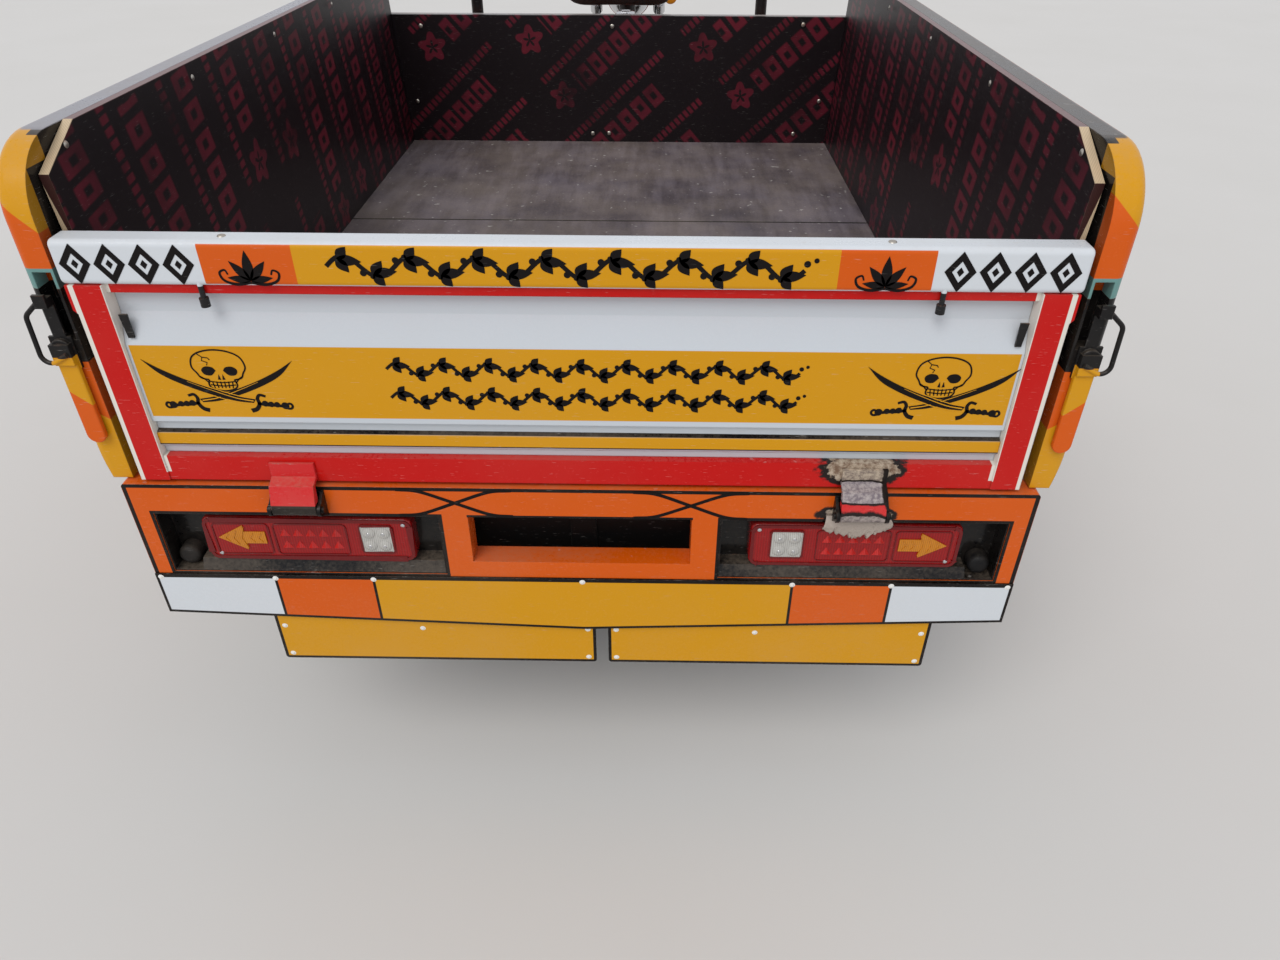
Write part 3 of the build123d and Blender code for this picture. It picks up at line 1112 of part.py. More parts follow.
backbone_points = [
    (HEAD_Y - 12, HEAD_CENTRE_Z - 18), (HEAD_Y - 170, HEAD_CENTRE_Z - 120),
    (BACKBONE_KNEE_Y, BACKBONE_KNEE_Z), (SEAT_POST_Y, BACKBONE_KNEE_Z - 60),
    (SEAT_POST_Y, FOOT_TUBE_Z),
]
with BuildPart() as front_frame:
    with BuildSketch(Plane.YZ):
        with BuildLine():
            FilletPolyline(*backbone_points, radius=[60, 60, 60])
        trace(line_width=BACKBONE_DEPTH)
    extrude(amount=BACKBONE_WIDTH / 2, both=True)
    with Locations(HEAD_PLANE):
        Cylinder(HEAD_RADIUS, HEAD_LENGTH)
    for side in (-1, 1):
        cradle = round_bar(
            [
                (side * CRADLE_X, BEAM_Y + 4, BEAM_TOP_Z - BEAM_SIZE / 2),
                (side * CRADLE_X, CRADLE_STEP_Y, BEAM_TOP_Z - BEAM_SIZE / 2),
                (side * CRADLE_X, CRADLE_BACK_Y, CRADLE_Z),
                (side * CRADLE_X, CRADLE_FRONT_Y, CRADLE_Z),
                (side * 12, HEAD_Y - 30, HEAD_CENTRE_Z - 50),
            ],
            FRAME_TUBE_RADIUS,
            60,
        )
        add(cradle)
    for y in (FOOT_TUBE_REAR_Y, FOOT_TUBE_FRONT_Y):
        with Locations(Location((0, y, FOOT_TUBE_Z), (0, 90, 0))):
            Cylinder(FOOT_TUBE_RADIUS, 2 * FOOT_TUBE_HALF)
    with Locations((0, BEAM_Y, BEAM_TOP_Z)):
        Box(2 * BEAM_HALF, BEAM_SIZE, BEAM_SIZE, align=(Align.CENTER, Align.MIN, Align.MAX))
    with Locations(HEAD_PLANE):
        Cylinder(STEM_RADIUS + RUN_GAP, 2 * HEAD_LENGTH, mode=Mode.SUBTRACT)
write_node(front_frame.part, "front_frame")

# Engine: a crankcase with round side covers, feet against the cradle, and a finned cylinder
CASE_TOP_Z = ENGINE_FOOT_Z + ENGINE_HEIGHT
CASE_MID_Y = ENGINE_REAR_Y + ENGINE_LENGTH / 2
COVER_SPOTS = ((ENGINE_REAR_Y + 95, ENGINE_FOOT_Z + 108), (ENGINE_REAR_Y + 210, ENGINE_FOOT_Z + 92))
CRADLE_IN_X = CRADLE_X - FRAME_TUBE_RADIUS
with BuildPart() as engine_case:
    with Locations((0, CASE_MID_Y, ENGINE_FOOT_Z + ENGINE_HEIGHT / 2)):
        Box(2 * (ENGINE_HALF_WIDTH - 22), ENGINE_LENGTH, ENGINE_HEIGHT)
    fillet(engine_case.edges().filter_by(Axis.X), 34)
    for y, z in COVER_SPOTS:
        with Locations(Location((0, y, z), (0, 90, 0))):
            Cylinder(ENGINE_COVER_RADIUS, 2 * ENGINE_HALF_WIDTH)
    case_ends = engine_case.faces().filter_by(Axis.X).sort_by(Axis.X)
    fillet(case_ends[0].edges() + case_ends[-1].edges(), 10)
    for y in (ENGINE_REAR_Y + 50, ENGINE_REAR_Y + ENGINE_LENGTH - 50):
        with Locations((0, y, CRADLE_Z)):
            Box(2 * (CRADLE_IN_X - TOUCH_GAP), 30, 24)
write_node(engine_case.part, "engine_case")
CYLINDER_PLANE = Plane(
    origin=(0, CYLINDER_Y, CASE_TOP_Z),
    x_dir=(1, 0, 0),
    z_dir=(0, math.sin(math.radians(CYLINDER_LEAN)), math.cos(math.radians(CYLINDER_LEAN))),
)
FIN_STACK = FIN_COUNT * FIN_PITCH
CYLINDER_BASE = FIN_SIZE / 2 * math.tan(math.radians(CYLINDER_LEAN)) + TOUCH_GAP
with BuildPart(CYLINDER_PLANE) as engine_cylinder:
    with Locations((0, 0, CYLINDER_BASE)):
        Cylinder(CYLINDER_CORE, FIN_STACK, align=(Align.CENTER, Align.CENTER, Align.MIN))
    for i in range(FIN_COUNT):
        with Locations((0, 0, CYLINDER_BASE + i * FIN_PITCH)):
            Box(FIN_SIZE, FIN_SIZE, FIN_THICK, align=(Align.CENTER, Align.CENTER, Align.MIN))
    fillet(engine_cylinder.edges().filter_by(Axis((0, 0, 0), CYLINDER_PLANE.z_dir)), 14)
    with Locations((0, 0, CYLINDER_BASE + FIN_STACK)):
        Box(FIN_SIZE - 34, FIN_SIZE - 16, 30, align=(Align.CENTER, Align.CENTER, Align.MIN))
    with Locations((0, 0, CYLINDER_BASE)):
        Box(
            FIN_SIZE - 30, FIN_SIZE - 30, 2 * (CYLINDER_BASE - TOUCH_GAP),
            align=(Align.CENTER, Align.CENTER, Align.CENTER),
        )
    case_top = Location((0, CYLINDER_Y, CASE_TOP_Z + TOUCH_GAP))
with BuildPart() as finned_cylinder:
    add(engine_cylinder.part)
    with Locations(case_top):
        Box(400, 400, 100, align=(Align.CENTER, Align.CENTER, Align.MAX), mode=Mode.SUBTRACT)
write_node(finned_cylinder.part, "engine_cylinder")

# Intake: an air box and carburettor behind the cylinder, on the right
INTAKE_RISE = 72
port_spot = CYLINDER_PLANE.from_local_coords((44, -FIN_SIZE / 2 - TOUCH_GAP, INTAKE_RISE))
PORT_PLANE = Plane(origin=port_spot, x_dir=(1, 0, 0), z_dir=-CYLINDER_PLANE.y_dir)
with BuildPart() as intake:
    with Locations((96, port_spot.Y - 84, port_spot.Z)):
        Box(92, 60, 116)
    fillet(intake.edges(), 10)
    with BuildSketch(PORT_PLANE):
        RectangleRounded(40, 52, 10)
    extrude(amount=6)
    with BuildSketch(PORT_PLANE):
        Circle(17)
    extrude(amount=70)
    with Locations((44, port_spot.Y - 28, port_spot.Z - 20)):
        Cylinder(16, 34)
write_node(intake.part, "intake")

# Exhaust: a pipe down in front of the engine, back under the footboard, to a silencer
PIPE_RADIUS = 15
MUFFLER_RADIUS = 45
MUFFLER_X = 230
MUFFLER_Z = 452
MUFFLER_FRONT_Y = BED_FRONT_Y + 89
MUFFLER_LENGTH = 420
MUFFLER_STRAP_Y = MUFFLER_FRONT_Y - 130
MUFFLER_STRAP_WIDTH = 34
PIPE_Y = ENGINE_REAR_Y + ENGINE_LENGTH + PIPE_RADIUS + 9
PIPE_LOW_Z = CRADLE_Z - FRAME_TUBE_RADIUS - PIPE_RADIUS - 22
header_plane = CYLINDER_PLANE.offset(CYLINDER_BASE + FIN_STACK + 14)
header_start = header_plane.from_local_coords((0, FIN_SIZE / 2 - 8 + TOUCH_GAP, 0))
header_reach = (PIPE_Y - header_start.Y) / CYLINDER_PLANE.y_dir.Y
with BuildPart() as exhaust:
    pipe = round_bar(
        [
            header_start,
            header_start + CYLINDER_PLANE.y_dir * header_reach,
            (0, PIPE_Y, PIPE_LOW_Z),
            (205, PIPE_Y - 40, PIPE_LOW_Z),
            (MUFFLER_X - 8, BOARD_REAR_Y - 17, PIPE_LOW_Z + 2),
            (MUFFLER_X, MUFFLER_FRONT_Y + 50, MUFFLER_Z - 12),
            (MUFFLER_X, MUFFLER_FRONT_Y - 10, MUFFLER_Z),
        ],
        PIPE_RADIUS,
        [24, 45, 35, 60, 45],
    )
    add(pipe)
    with Locations(Location((MUFFLER_X, MUFFLER_FRONT_Y, MUFFLER_Z), (90, 0, 0))):
        Cylinder(MUFFLER_RADIUS, MUFFLER_LENGTH, align=(Align.CENTER, Align.CENTER, Align.MIN))
    fillet(exhaust.edges().filter_by(GeomType.CIRCLE).filter_by(
        lambda edge: abs(edge.radius - MUFFLER_RADIUS) < 1
    ), 16)
    tail = round_bar(
        [
            (MUFFLER_X, MUFFLER_FRONT_Y - MUFFLER_LENGTH + 4, MUFFLER_Z),
            (MUFFLER_X, MUFFLER_FRONT_Y - MUFFLER_LENGTH - 60, MUFFLER_Z),
            (MUFFLER_X, MUFFLER_FRONT_Y - MUFFLER_LENGTH - 110, MUFFLER_Z - 36),
        ],
        PIPE_RADIUS - 2,
        30,
    )
    add(tail)
    with Locations((RAIL_X - RAIL_WIDTH / 2 - 8, MUFFLER_STRAP_Y, FRAME_FOOT_Z - TOUCH_GAP)):
        Box(5, MUFFLER_STRAP_WIDTH, FRAME_FOOT_Z - MUFFLER_Z - 20, align=(Align.CENTER, Align.CENTER, Align.MAX))
    with Locations((RAIL_X - RAIL_WIDTH / 2 - 10, MUFFLER_STRAP_Y, FRAME_FOOT_Z - TOUCH_GAP)):
        Box(42, MUFFLER_STRAP_WIDTH, 4, align=(Align.MIN, Align.CENTER, Align.MAX))
write_node(exhaust.part, "exhaust")

# Propeller shaft from the gearbox to the pinion, with a flange at each end
SHAFT_RADIUS = 22
SHAFT_FLANGE_RADIUS = 32
SHAFT_FRONT = (DIFF_X, ENGINE_REAR_Y - TOUCH_GAP, ENGINE_FOOT_Z + 118)
SHAFT_REAR = (DIFF_X, REAR_AXLE_Y + PINION_NOSE + TOUCH_GAP, AXLE_Z)
with BuildPart() as propeller_shaft:
    shaft_ends = [
        (DIFF_X, SHAFT_FRONT[1] - 5, SHAFT_FRONT[2]),
        (DIFF_X, SHAFT_REAR[1] + 5, SHAFT_REAR[2]),
    ]
    add(round_bar(shaft_ends, SHAFT_RADIUS, 0))
    with Locations(Location(SHAFT_FRONT, (90, 0, 0))):
        Cylinder(SHAFT_FLANGE_RADIUS, 10, align=(Align.CENTER, Align.CENTER, Align.MIN))
    with Locations(Location(SHAFT_REAR, (90, 0, 0))):
        Cylinder(SHAFT_FLANGE_RADIUS, 10, align=(Align.CENTER, Align.CENTER, Align.MAX))
write_node(propeller_shaft.part, "propeller_shaft")

# Seat box on the cradle, with the pan over it, and the cushion
SEAT_SHEET = 3
SEAT_CORNER = 42
PAN_INSET = 6
SEAT_BOX_REAR_Y = BEAM_Y + BEAM_SIZE + 4
SEAT_BOX_FOOT_Z = BEAM_TOP_Z - BEAM_SIZE / 2 + FRAME_TUBE_RADIUS + TOUCH_GAP
with BuildPart() as seat_box:
    with Locations((0, SEAT_BOX_REAR_Y, SEAT_BOX_FOOT_Z)):
        Box(
            SEAT_BOX_WIDTH, SEAT_BOX_LENGTH, SEAT_PAN_Z - SEAT_BOX_FOOT_Z,
            align=(Align.CENTER, Align.MIN, Align.MIN),
        )
    fillet(seat_box.edges().filter_by(Axis.Z), 16)
    with Locations((0, SEAT_BOX_REAR_Y + SEAT_SHEET, SEAT_BOX_FOOT_Z + SEAT_SHEET)):
        Box(
            SEAT_BOX_WIDTH - 2 * SEAT_SHEET, SEAT_BOX_LENGTH - 2 * SEAT_SHEET, SEAT_PAN_Z - SEAT_BOX_FOOT_Z,
            align=(Align.CENTER, Align.MIN, Align.MIN),
            mode=Mode.SUBTRACT,
        )
    with BuildSketch(Plane.XY.offset(SEAT_PAN_Z)):
        with Locations((0, SEAT_REAR_Y + SEAT_LENGTH / 2)):
            RectangleRounded(SEAT_WIDTH - 2 * PAN_INSET, SEAT_LENGTH - 2 * PAN_INSET, SEAT_CORNER - PAN_INSET)
    extrude(amount=SEAT_PAN)
write_node(seat_box.part, "seat_box")
with BuildPart() as seat_cushion:
    with BuildSketch(Plane.XY.offset(SEAT_PAN_Z + SEAT_PAN + TOUCH_GAP)):
        with Locations((0, SEAT_REAR_Y + SEAT_LENGTH / 2)):
            RectangleRounded(SEAT_WIDTH, SEAT_LENGTH, SEAT_CORNER)
    extrude(amount=SEAT_THICK)
    fillet(seat_cushion.faces().sort_by(Axis.Z)[-1].edges(), 24)
write_node(seat_cushion.part, "seat_cushion")

# Fuel tank over the backbone
TANK_WIDTH = 270
TANK_SEAT_GAP = 18
TANK_HEAD_GAP = 118.3
TANK_CAP_RADIUS = 28
TANK_CAP_BACK = 152
TANK_CAP_FOOT_Z = 900
TANK_CAP_HEIGHT = 42
TANK_REAR_Y = SEAT_FRONT_Y + TANK_SEAT_GAP
TANK_FRONT_Y = HEAD_Y - TANK_HEAD_GAP
# Outline from the side: y, z
tank_side = [
    (TANK_REAR_Y + 12, 736), (TANK_REAR_Y, 800), (TANK_REAR_Y + 40, 868), (TANK_REAR_Y + 140, 912),
    (TANK_FRONT_Y - 102, 926), (TANK_FRONT_Y - 22, 900), (TANK_FRONT_Y, 842), (TANK_FRONT_Y - 22, 812),
]
with BuildPart() as fuel_tank:
    with BuildSketch(Plane.YZ):
        Polygon(*tank_side, align=None)
        fillet(vertices(), 26)
    extrude(amount=TANK_WIDTH / 2, both=True)
    ends = fuel_tank.faces().filter_by(Axis.X).sort_by(Axis.X)
    fillet(ends[0].edges() + ends[-1].edges(), 38)
    with BuildSketch(Plane.YZ):
        with BuildLine():
            FilletPolyline(*backbone_points[:3], radius=60)
        trace(line_width=BACKBONE_DEPTH + 2 * TOUCH_GAP)
    extrude(amount=BACKBONE_WIDTH / 2 + 5, both=True, mode=Mode.SUBTRACT)
    with Locations((0, TANK_FRONT_Y - TANK_CAP_BACK, TANK_CAP_FOOT_Z)):
        Cylinder(TANK_CAP_RADIUS, TANK_CAP_HEIGHT, align=(Align.CENTER, Align.CENTER, Align.MIN))
write_node(fuel_tank.part, "fuel_tank")

# Footboards on the foot tubes, with turned-up outer and front edges, and the pedals
BOARD_Z = FOOT_TUBE_Z + FOOT_TUBE_RADIUS + TOUCH_GAP
BOARD_IN_X = CRADLE_X + FRAME_TUBE_RADIUS + 6
BOARD_SHEET = 2.5
BOARD_RIM = 3
BOARD_RIM_HEIGHT = 34
BOARD_CUT = 90
with BuildPart() as board_right:
    with BuildSketch(Plane.XY.offset(BOARD_Z)):
        Polygon(
            (BOARD_IN_X, BOARD_REAR_Y), (BOARD_OUT_X, BOARD_REAR_Y), (BOARD_OUT_X, BOARD_FRONT_Y - BOARD_CUT),
            (BOARD_OUT_X - BOARD_CUT, BOARD_FRONT_Y), (BOARD_IN_X, BOARD_FRONT_Y),
            align=None,
        )
    extrude(amount=BOARD_SHEET)
    with BuildSketch(Plane.XY.offset(BOARD_Z)):
        with BuildLine():
            Polyline(
                (BOARD_OUT_X - BOARD_RIM / 2, BOARD_REAR_Y),
                (BOARD_OUT_X - BOARD_RIM / 2, BOARD_FRONT_Y - BOARD_CUT),
                (BOARD_OUT_X - BOARD_CUT, BOARD_FRONT_Y - BOARD_RIM / 2),
                (BOARD_IN_X, BOARD_FRONT_Y - BOARD_RIM / 2),
            )
        trace(line_width=BOARD_RIM)
    extrude(amount=BOARD_RIM_HEIGHT)
with BuildPart() as footboards:
    add(board_right.part)
    add(mirrored(board_right.part))
write_node(footboards.part, "footboards")
PEDAL_RADIUS = 7
PEDAL_BEND = 14
BRAKE_X = 226
GEAR_X = -212
PEDAL_TOP_Z = BOARD_Z + 108
GEAR_TOP_Z = BOARD_Z + 52
BRAKE_Y = BOARD_FRONT_Y + 20
with BuildPart() as pedals:
    add(round_bar(
        [
            (BRAKE_X, FOOT_TUBE_FRONT_Y + FOOT_TUBE_RADIUS + TOUCH_GAP, FOOT_TUBE_Z),
            (BRAKE_X, BRAKE_Y, FOOT_TUBE_Z), (BRAKE_X, BRAKE_Y, PEDAL_TOP_Z - 12),
            (BRAKE_X, BOARD_FRONT_Y - 68, PEDAL_TOP_Z),
        ],
        PEDAL_RADIUS,
        PEDAL_BEND,
    ))
    with Locations((BRAKE_X, BOARD_FRONT_Y - 62, PEDAL_TOP_Z)):
        Box(62, 44, 12)
    add(round_bar(
        [
            (-(ENGINE_HALF_WIDTH + TOUCH_GAP), COVER_SPOTS[1][0], BOARD_Z + 34),
            (GEAR_X, COVER_SPOTS[1][0], BOARD_Z + 34), (GEAR_X, BOARD_FRONT_Y - 48, GEAR_TOP_Z),
        ],
        PEDAL_RADIUS,
        PEDAL_BEND,
    ))
    with Locations((GEAR_X, BOARD_FRONT_Y - 54, GEAR_TOP_Z)):
        Box(58, 26, 16)
write_node(pedals.part, "pedals")

# Rear mudguards: arched channels over the tyres, hung from the bed's ribs
GUARD_RADIUS = TYRE_RADIUS + 45
GUARD_HALF = TYRE_WIDTH / 2 + 15
GUARD_SKIN = 2
GUARD_START = 22
GUARD_SWEEP = 136


def make_guard(x, y, radius, half, drop, start, sweep_angle):
    """An arched channel over a wheel, from start degrees above straight ahead, backward."""
    a = math.radians(start)
    section = Plane(
        origin=(x, y, AXLE_Z), x_dir=(0, math.cos(a), math.sin(a)), z_dir=(0, math.sin(a), -math.cos(a))
    )
    with BuildPart() as guard:
        with BuildSketch(section):
            Polygon(
                (radius, -half), (radius, half), (radius - drop, half + 2),
                (radius - drop, half + 2 + GUARD_SKIN), (radius + GUARD_SKIN, half + GUARD_SKIN),
                (radius + GUARD_SKIN, -half - GUARD_SKIN), (radius - drop, -half - 2 - GUARD_SKIN),
                (radius - drop, -half - 2),
                align=None,
            )
        revolve(axis=axle_axis(x, y), revolution_arc=sweep_angle)
    return guard.part


guard_ribs = [y for y in RIB_SPOTS_Y if abs(y - REAR_AXLE_Y) < GUARD_RADIUS / 2]
with BuildPart() as rear_mudguards:
    for side in (-1, 1):
        add(make_guard(
            side * HALF_TRACK, REAR_AXLE_Y, GUARD_RADIUS, GUARD_HALF, 30, GUARD_START, GUARD_SWEEP
        ))
        for y in guard_ribs:
            reach = math.sqrt(GUARD_RADIUS**2 - (abs(y - REAR_AXLE_Y) + 15) ** 2)
            with Locations((side * HALF_TRACK, y, AXLE_Z + reach)):
                Box(
                    34, 30, FRAME_TOP_Z - AXLE_Z - reach,
                    align=(Align.CENTER, Align.CENTER, Align.MIN),
                )
write_node(rear_mudguards.part, "rear_mudguards")

# Guard hoop on the beam behind the seat, and the backrest it carries
HOOP_Y = BEAM_Y + BEAM_SIZE / 2
HOOP_FOOT_Z = BEAM_TOP_Z + TOUCH_GAP
with BuildPart() as guard_hoop:
    add(round_bar(
        [
            (-HOOP_X, HOOP_Y, HOOP_FOOT_Z + 2), (-HOOP_X, HOOP_Y, HOOP_TOP_Z),
            (HOOP_X, HOOP_Y, HOOP_TOP_Z), (HOOP_X, HOOP_Y, HOOP_FOOT_Z + 2),
        ],
        HOOP_RADIUS,
        HOOP_BEND,
    ))
    for side in (-1, 1):
        with Locations((side * HOOP_X, HOOP_Y, HOOP_FOOT_Z)):
            Box(50, BEAM_SIZE, HOOP_FOOT, align=(Align.CENTER, Align.CENTER, Align.MIN))
    for z in HOOP_BARS_Z:
        with Locations(Location((0, HOOP_Y, z), (0, 90, 0))):
            Cylinder(HOOP_BAR_RADIUS, 2 * HOOP_X)
write_node(guard_hoop.part, "guard_hoop")
BACKREST_Y = HOOP_Y + HOOP_BAR_RADIUS + TOUCH_GAP
with BuildPart() as backrest:
    with BuildSketch(Plane.XZ.offset(-BACKREST_Y)):
        with Locations((0, BACKREST_FOOT_Z + BACKREST_HEIGHT / 2)):
            RectangleRounded(BACKREST_WIDTH, BACKREST_HEIGHT, 34)
    extrude(amount=-BACKREST_THICK)
    fillet(backrest.faces().sort_by(Axis.Y)[-1].edges(), 22)
write_node(backrest.part, "backrest")

# Fork yokes: two plates on the steering stem, holding the fork tubes ahead of it
YOKE_Z = HALF_HEAD + YOKE_GAP
YOKE_TOP = YOKE_Z + YOKE_THICK
SLIDER_TOP = FORK_SLIDER_LENGTH - stem_drop
with BuildPart(HEAD_PLANE) as fork_yokes:
    Cylinder(STEM_RADIUS, 2 * YOKE_TOP)
    for z in (YOKE_Z, -YOKE_TOP):
        with BuildSketch(HEAD_PLANE.offset(z)):
            with Locations((0, 0)):
                Circle(HEAD_RADIUS + 6)
            with Locations((-FORK_X, FORK_OFFSET), (FORK_X, FORK_OFFSET)):
                Circle(FORK_TUBE_RADIUS + 11)
            make_hull()
            with Locations((-FORK_X, FORK_OFFSET), (FORK_X, FORK_OFFSET)):
                Circle(FORK_TUBE_RADIUS + TOUCH_GAP, mode=Mode.SUBTRACT)
        extrude(amount=YOKE_THICK)
write_node(fork_yokes.part, "fork_yokes")
fork_spots = [(side * FORK_X, FORK_OFFSET) for side in (-1, 1)]
with BuildPart(HEAD_PLANE) as fork_tubes:
    for x, y in fork_spots:
        with Locations((x, y, SLIDER_TOP + TOUCH_GAP)):
            Cylinder(
                FORK_TUBE_RADIUS, YOKE_TOP + 4 - SLIDER_TOP, align=(Align.CENTER, Align.CENTER, Align.MIN)
            )
write_node(fork_tubes.part, "fork_tubes")

# Fork gaiters: ribbed rubber sleeves between the sliders and the lower yoke
gaiter_foot = SLIDER_TOP + 2 * TOUCH_GAP
gaiter_pitch = (-YOKE_TOP - TOUCH_GAP - gaiter_foot) / GAITER_RIBS
gaiter_wall = [(FORK_TUBE_RADIUS + TOUCH_GAP, gaiter_foot), (GAITER_RADIUS - 6, gaiter_foot)]
for i in range(GAITER_RIBS):
    low = gaiter_foot + i * gaiter_pitch
    gaiter_wall += [(GAITER_RADIUS, low + gaiter_pitch / 2), (GAITER_RADIUS - 6, low + gaiter_pitch)]
gaiter_wall.append((FORK_TUBE_RADIUS + TOUCH_GAP, gaiter_foot + GAITER_RIBS * gaiter_pitch))
with BuildPart() as fork_gaiters:
    for x, y in fork_spots:
        spot = HEAD_PLANE.from_local_coords((x, y, 0))
        with BuildSketch(Plane(origin=spot, x_dir=(1, 0, 0), z_dir=-HEAD_PLANE.y_dir)):
            Polygon(*gaiter_wall, align=None)
        revolve(axis=Axis(spot, HEAD_PLANE.z_dir))
write_node(fork_gaiters.part, "fork_gaiters")

# Fork sliders, the spindle across them and the brake plate on the left
with BuildPart(HEAD_PLANE) as fork_sliders:
    for x, y in fork_spots:
        with Locations((x, y, -stem_drop - 26)):
            Cylinder(
                FORK_SLIDER_RADIUS, FORK_SLIDER_LENGTH + 26,
                align=(Align.CENTER, Align.CENTER, Align.MIN),
            )
    with Locations(Location((0, FORK_OFFSET, -stem_drop), (0, 90, 0))):
        Cylinder(SPINDLE_RADIUS, 2 * (FORK_X + FORK_SLIDER_RADIUS + 10))
    with Locations(Location((HUB_IN - SWING_GAP, FORK_OFFSET, -stem_drop), (0, 90, 0))):
        Cylinder(DRUM_RADIUS + 3, 4, align=(Align.CENTER, Align.CENTER, Align.MAX))
        Cylinder(28, FORK_X + HUB_IN - SWING_GAP, align=(Align.CENTER, Align.CENTER, Align.MAX))
write_node(fork_sliders.part, "fork_sliders")

# Front mudguard on the sliders
FRONT_GUARD_RADIUS = TYRE_RADIUS + 20
FRONT_GUARD_HALF = TYRE_WIDTH / 2 + 10
STAY_Z = SLIDER_TOP - 14
guard_edge = FRONT_GUARD_HALF + GUARD_SKIN
with BuildPart(HEAD_PLANE) as front_mudguard:
    for side in (-1, 1):
        with Locations((side * guard_edge, FORK_OFFSET, STAY_Z)):
            Box(
                FORK_X - FORK_SLIDER_RADIUS - TOUCH_GAP - guard_edge, 26, 20,
                align=(Align.MIN if side > 0 else Align.MAX, Align.CENTER, Align.CENTER),
            )
with BuildPart() as front_guard:
    add(make_guard(0, FRONT_AXLE_Y, FRONT_GUARD_RADIUS, FRONT_GUARD_HALF, 38, 16.7, 152))
    add(front_mudguard.part)
write_node(front_guard.part, "front_mudguard")

# Handlebar with its risers, and the grips, levers and mirrors on it
BAR_RADIUS = 11
BAR_HALF = 400
BAR_BEND = 38
bar_root = HEAD_PLANE.from_local_coords((0, 0, YOKE_TOP + 30))
bar_right = [
    (70, bar_root.Y, bar_root.Z), (172, bar_root.Y - 12, bar_root.Z + 108),
    (256, bar_root.Y - 52, bar_root.Z + 124), (BAR_HALF, bar_root.Y - 152, bar_root.Z + 94),
]
bar_path = [(-x, y, z) for x, y, z in reversed(bar_right)] + bar_right
with BuildPart() as handlebar:
    add(round_bar(bar_path, BAR_RADIUS, BAR_BEND))
    for side in (-1, 1):
        spot = HEAD_PLANE.from_local_coords((side * 48, 0, YOKE_TOP + TOUCH_GAP))
        with Locations(Plane(origin=spot, x_dir=(1, 0, 0), z_dir=HEAD_PLANE.z_dir).location):
            Box(30, 36, 46, align=(Align.CENTER, Align.CENTER, Align.MIN))
write_node(handlebar.part, "handlebar")
grip_dir = (Vector(*bar_right[3]) - Vector(*bar_right[2])).normalized()
GRIP_LENGTH = 110


def bar_plane(back):
    """The plane across the right handle, this far in from its tip."""
    return Plane(origin=Vector(*bar_right[3]) - grip_dir * back, x_dir=(0, 0, 1), z_dir=grip_dir)


with BuildPart() as grip_sleeve:
    with BuildSketch(bar_plane(GRIP_LENGTH)):
        Circle(17)
        Circle(BAR_RADIUS + TOUCH_GAP, mode=Mode.SUBTRACT)
    extrude(amount=GRIP_LENGTH)
    with BuildSketch(bar_plane(GRIP_LENGTH)):
        Circle(22)
        Circle(BAR_RADIUS + TOUCH_GAP, mode=Mode.SUBTRACT)
    extrude(amount=5)
with BuildPart() as hand_grips:
    add(grip_sleeve.part)
    add(mirrored(grip_sleeve.part))
write_node(hand_grips.part, "hand_grips")
perch = Vector(*bar_right[3]) - grip_dir * (GRIP_LENGTH + 13)
with BuildPart() as lever_pod_right:
    with BuildSketch(bar_plane(GRIP_LENGTH + 25)):
        Circle(18)
        Circle(BAR_RADIUS + TOUCH_GAP, mode=Mode.SUBTRACT)
    extrude(amount=24)
    with Locations((perch.X, perch.Y + 31, perch.Z)):
        Box(20, 21, 16)
    add(round_bar(
        [
            (perch.X, perch.Y + 38, perch.Z),
            (perch.X + 60, perch.Y + 26, perch.Z - 8),
            (perch.X + 128, perch.Y - 30, perch.Z - 26),
        ],
        6,
        30,
    ))
with BuildPart() as hand_levers:
    add(lever_pod_right.part)
    add(mirrored(lever_pod_right.part))
write_node(hand_levers.part, "hand_levers")
mirror_root = Vector(*bar_right[3]) - grip_dir * (GRIP_LENGTH + 46)
MIRROR_CENTRE = (352, mirror_root.Y + 12, 1338)
with BuildPart() as mirror_shell:
    with BuildSketch(Plane.XZ.offset(-MIRROR_CENTRE[1] + 8)):
        with Locations((MIRROR_CENTRE[0], MIRROR_CENTRE[2])):
            Ellipse(68, 48)
    extrude(amount=-16)
    fillet(mirror_shell.faces().sort_by(Axis.Y)[-1].edges(), 6)
with BuildPart() as mirror_right:
    add(mirror_shell.part)
    with BuildSketch(bar_plane(GRIP_LENGTH + 54)):
        Circle(17)
        Circle(BAR_RADIUS + TOUCH_GAP, mode=Mode.SUBTRACT)
    extrude(amount=16)
    add(round_bar(
        [
            (mirror_root.X, mirror_root.Y, mirror_root.Z + 14),
            (mirror_root.X, mirror_root.Y + 6, mirror_root.Z + 120),
            (MIRROR_CENTRE[0], MIRROR_CENTRE[1], MIRROR_CENTRE[2] - 14),
        ],
        5,
        40,
    ))
with BuildPart() as mirrors:
    add(mirror_right.part)
    add(mirrored(mirror_right.part))
write_node(mirrors.part, "mirrors")

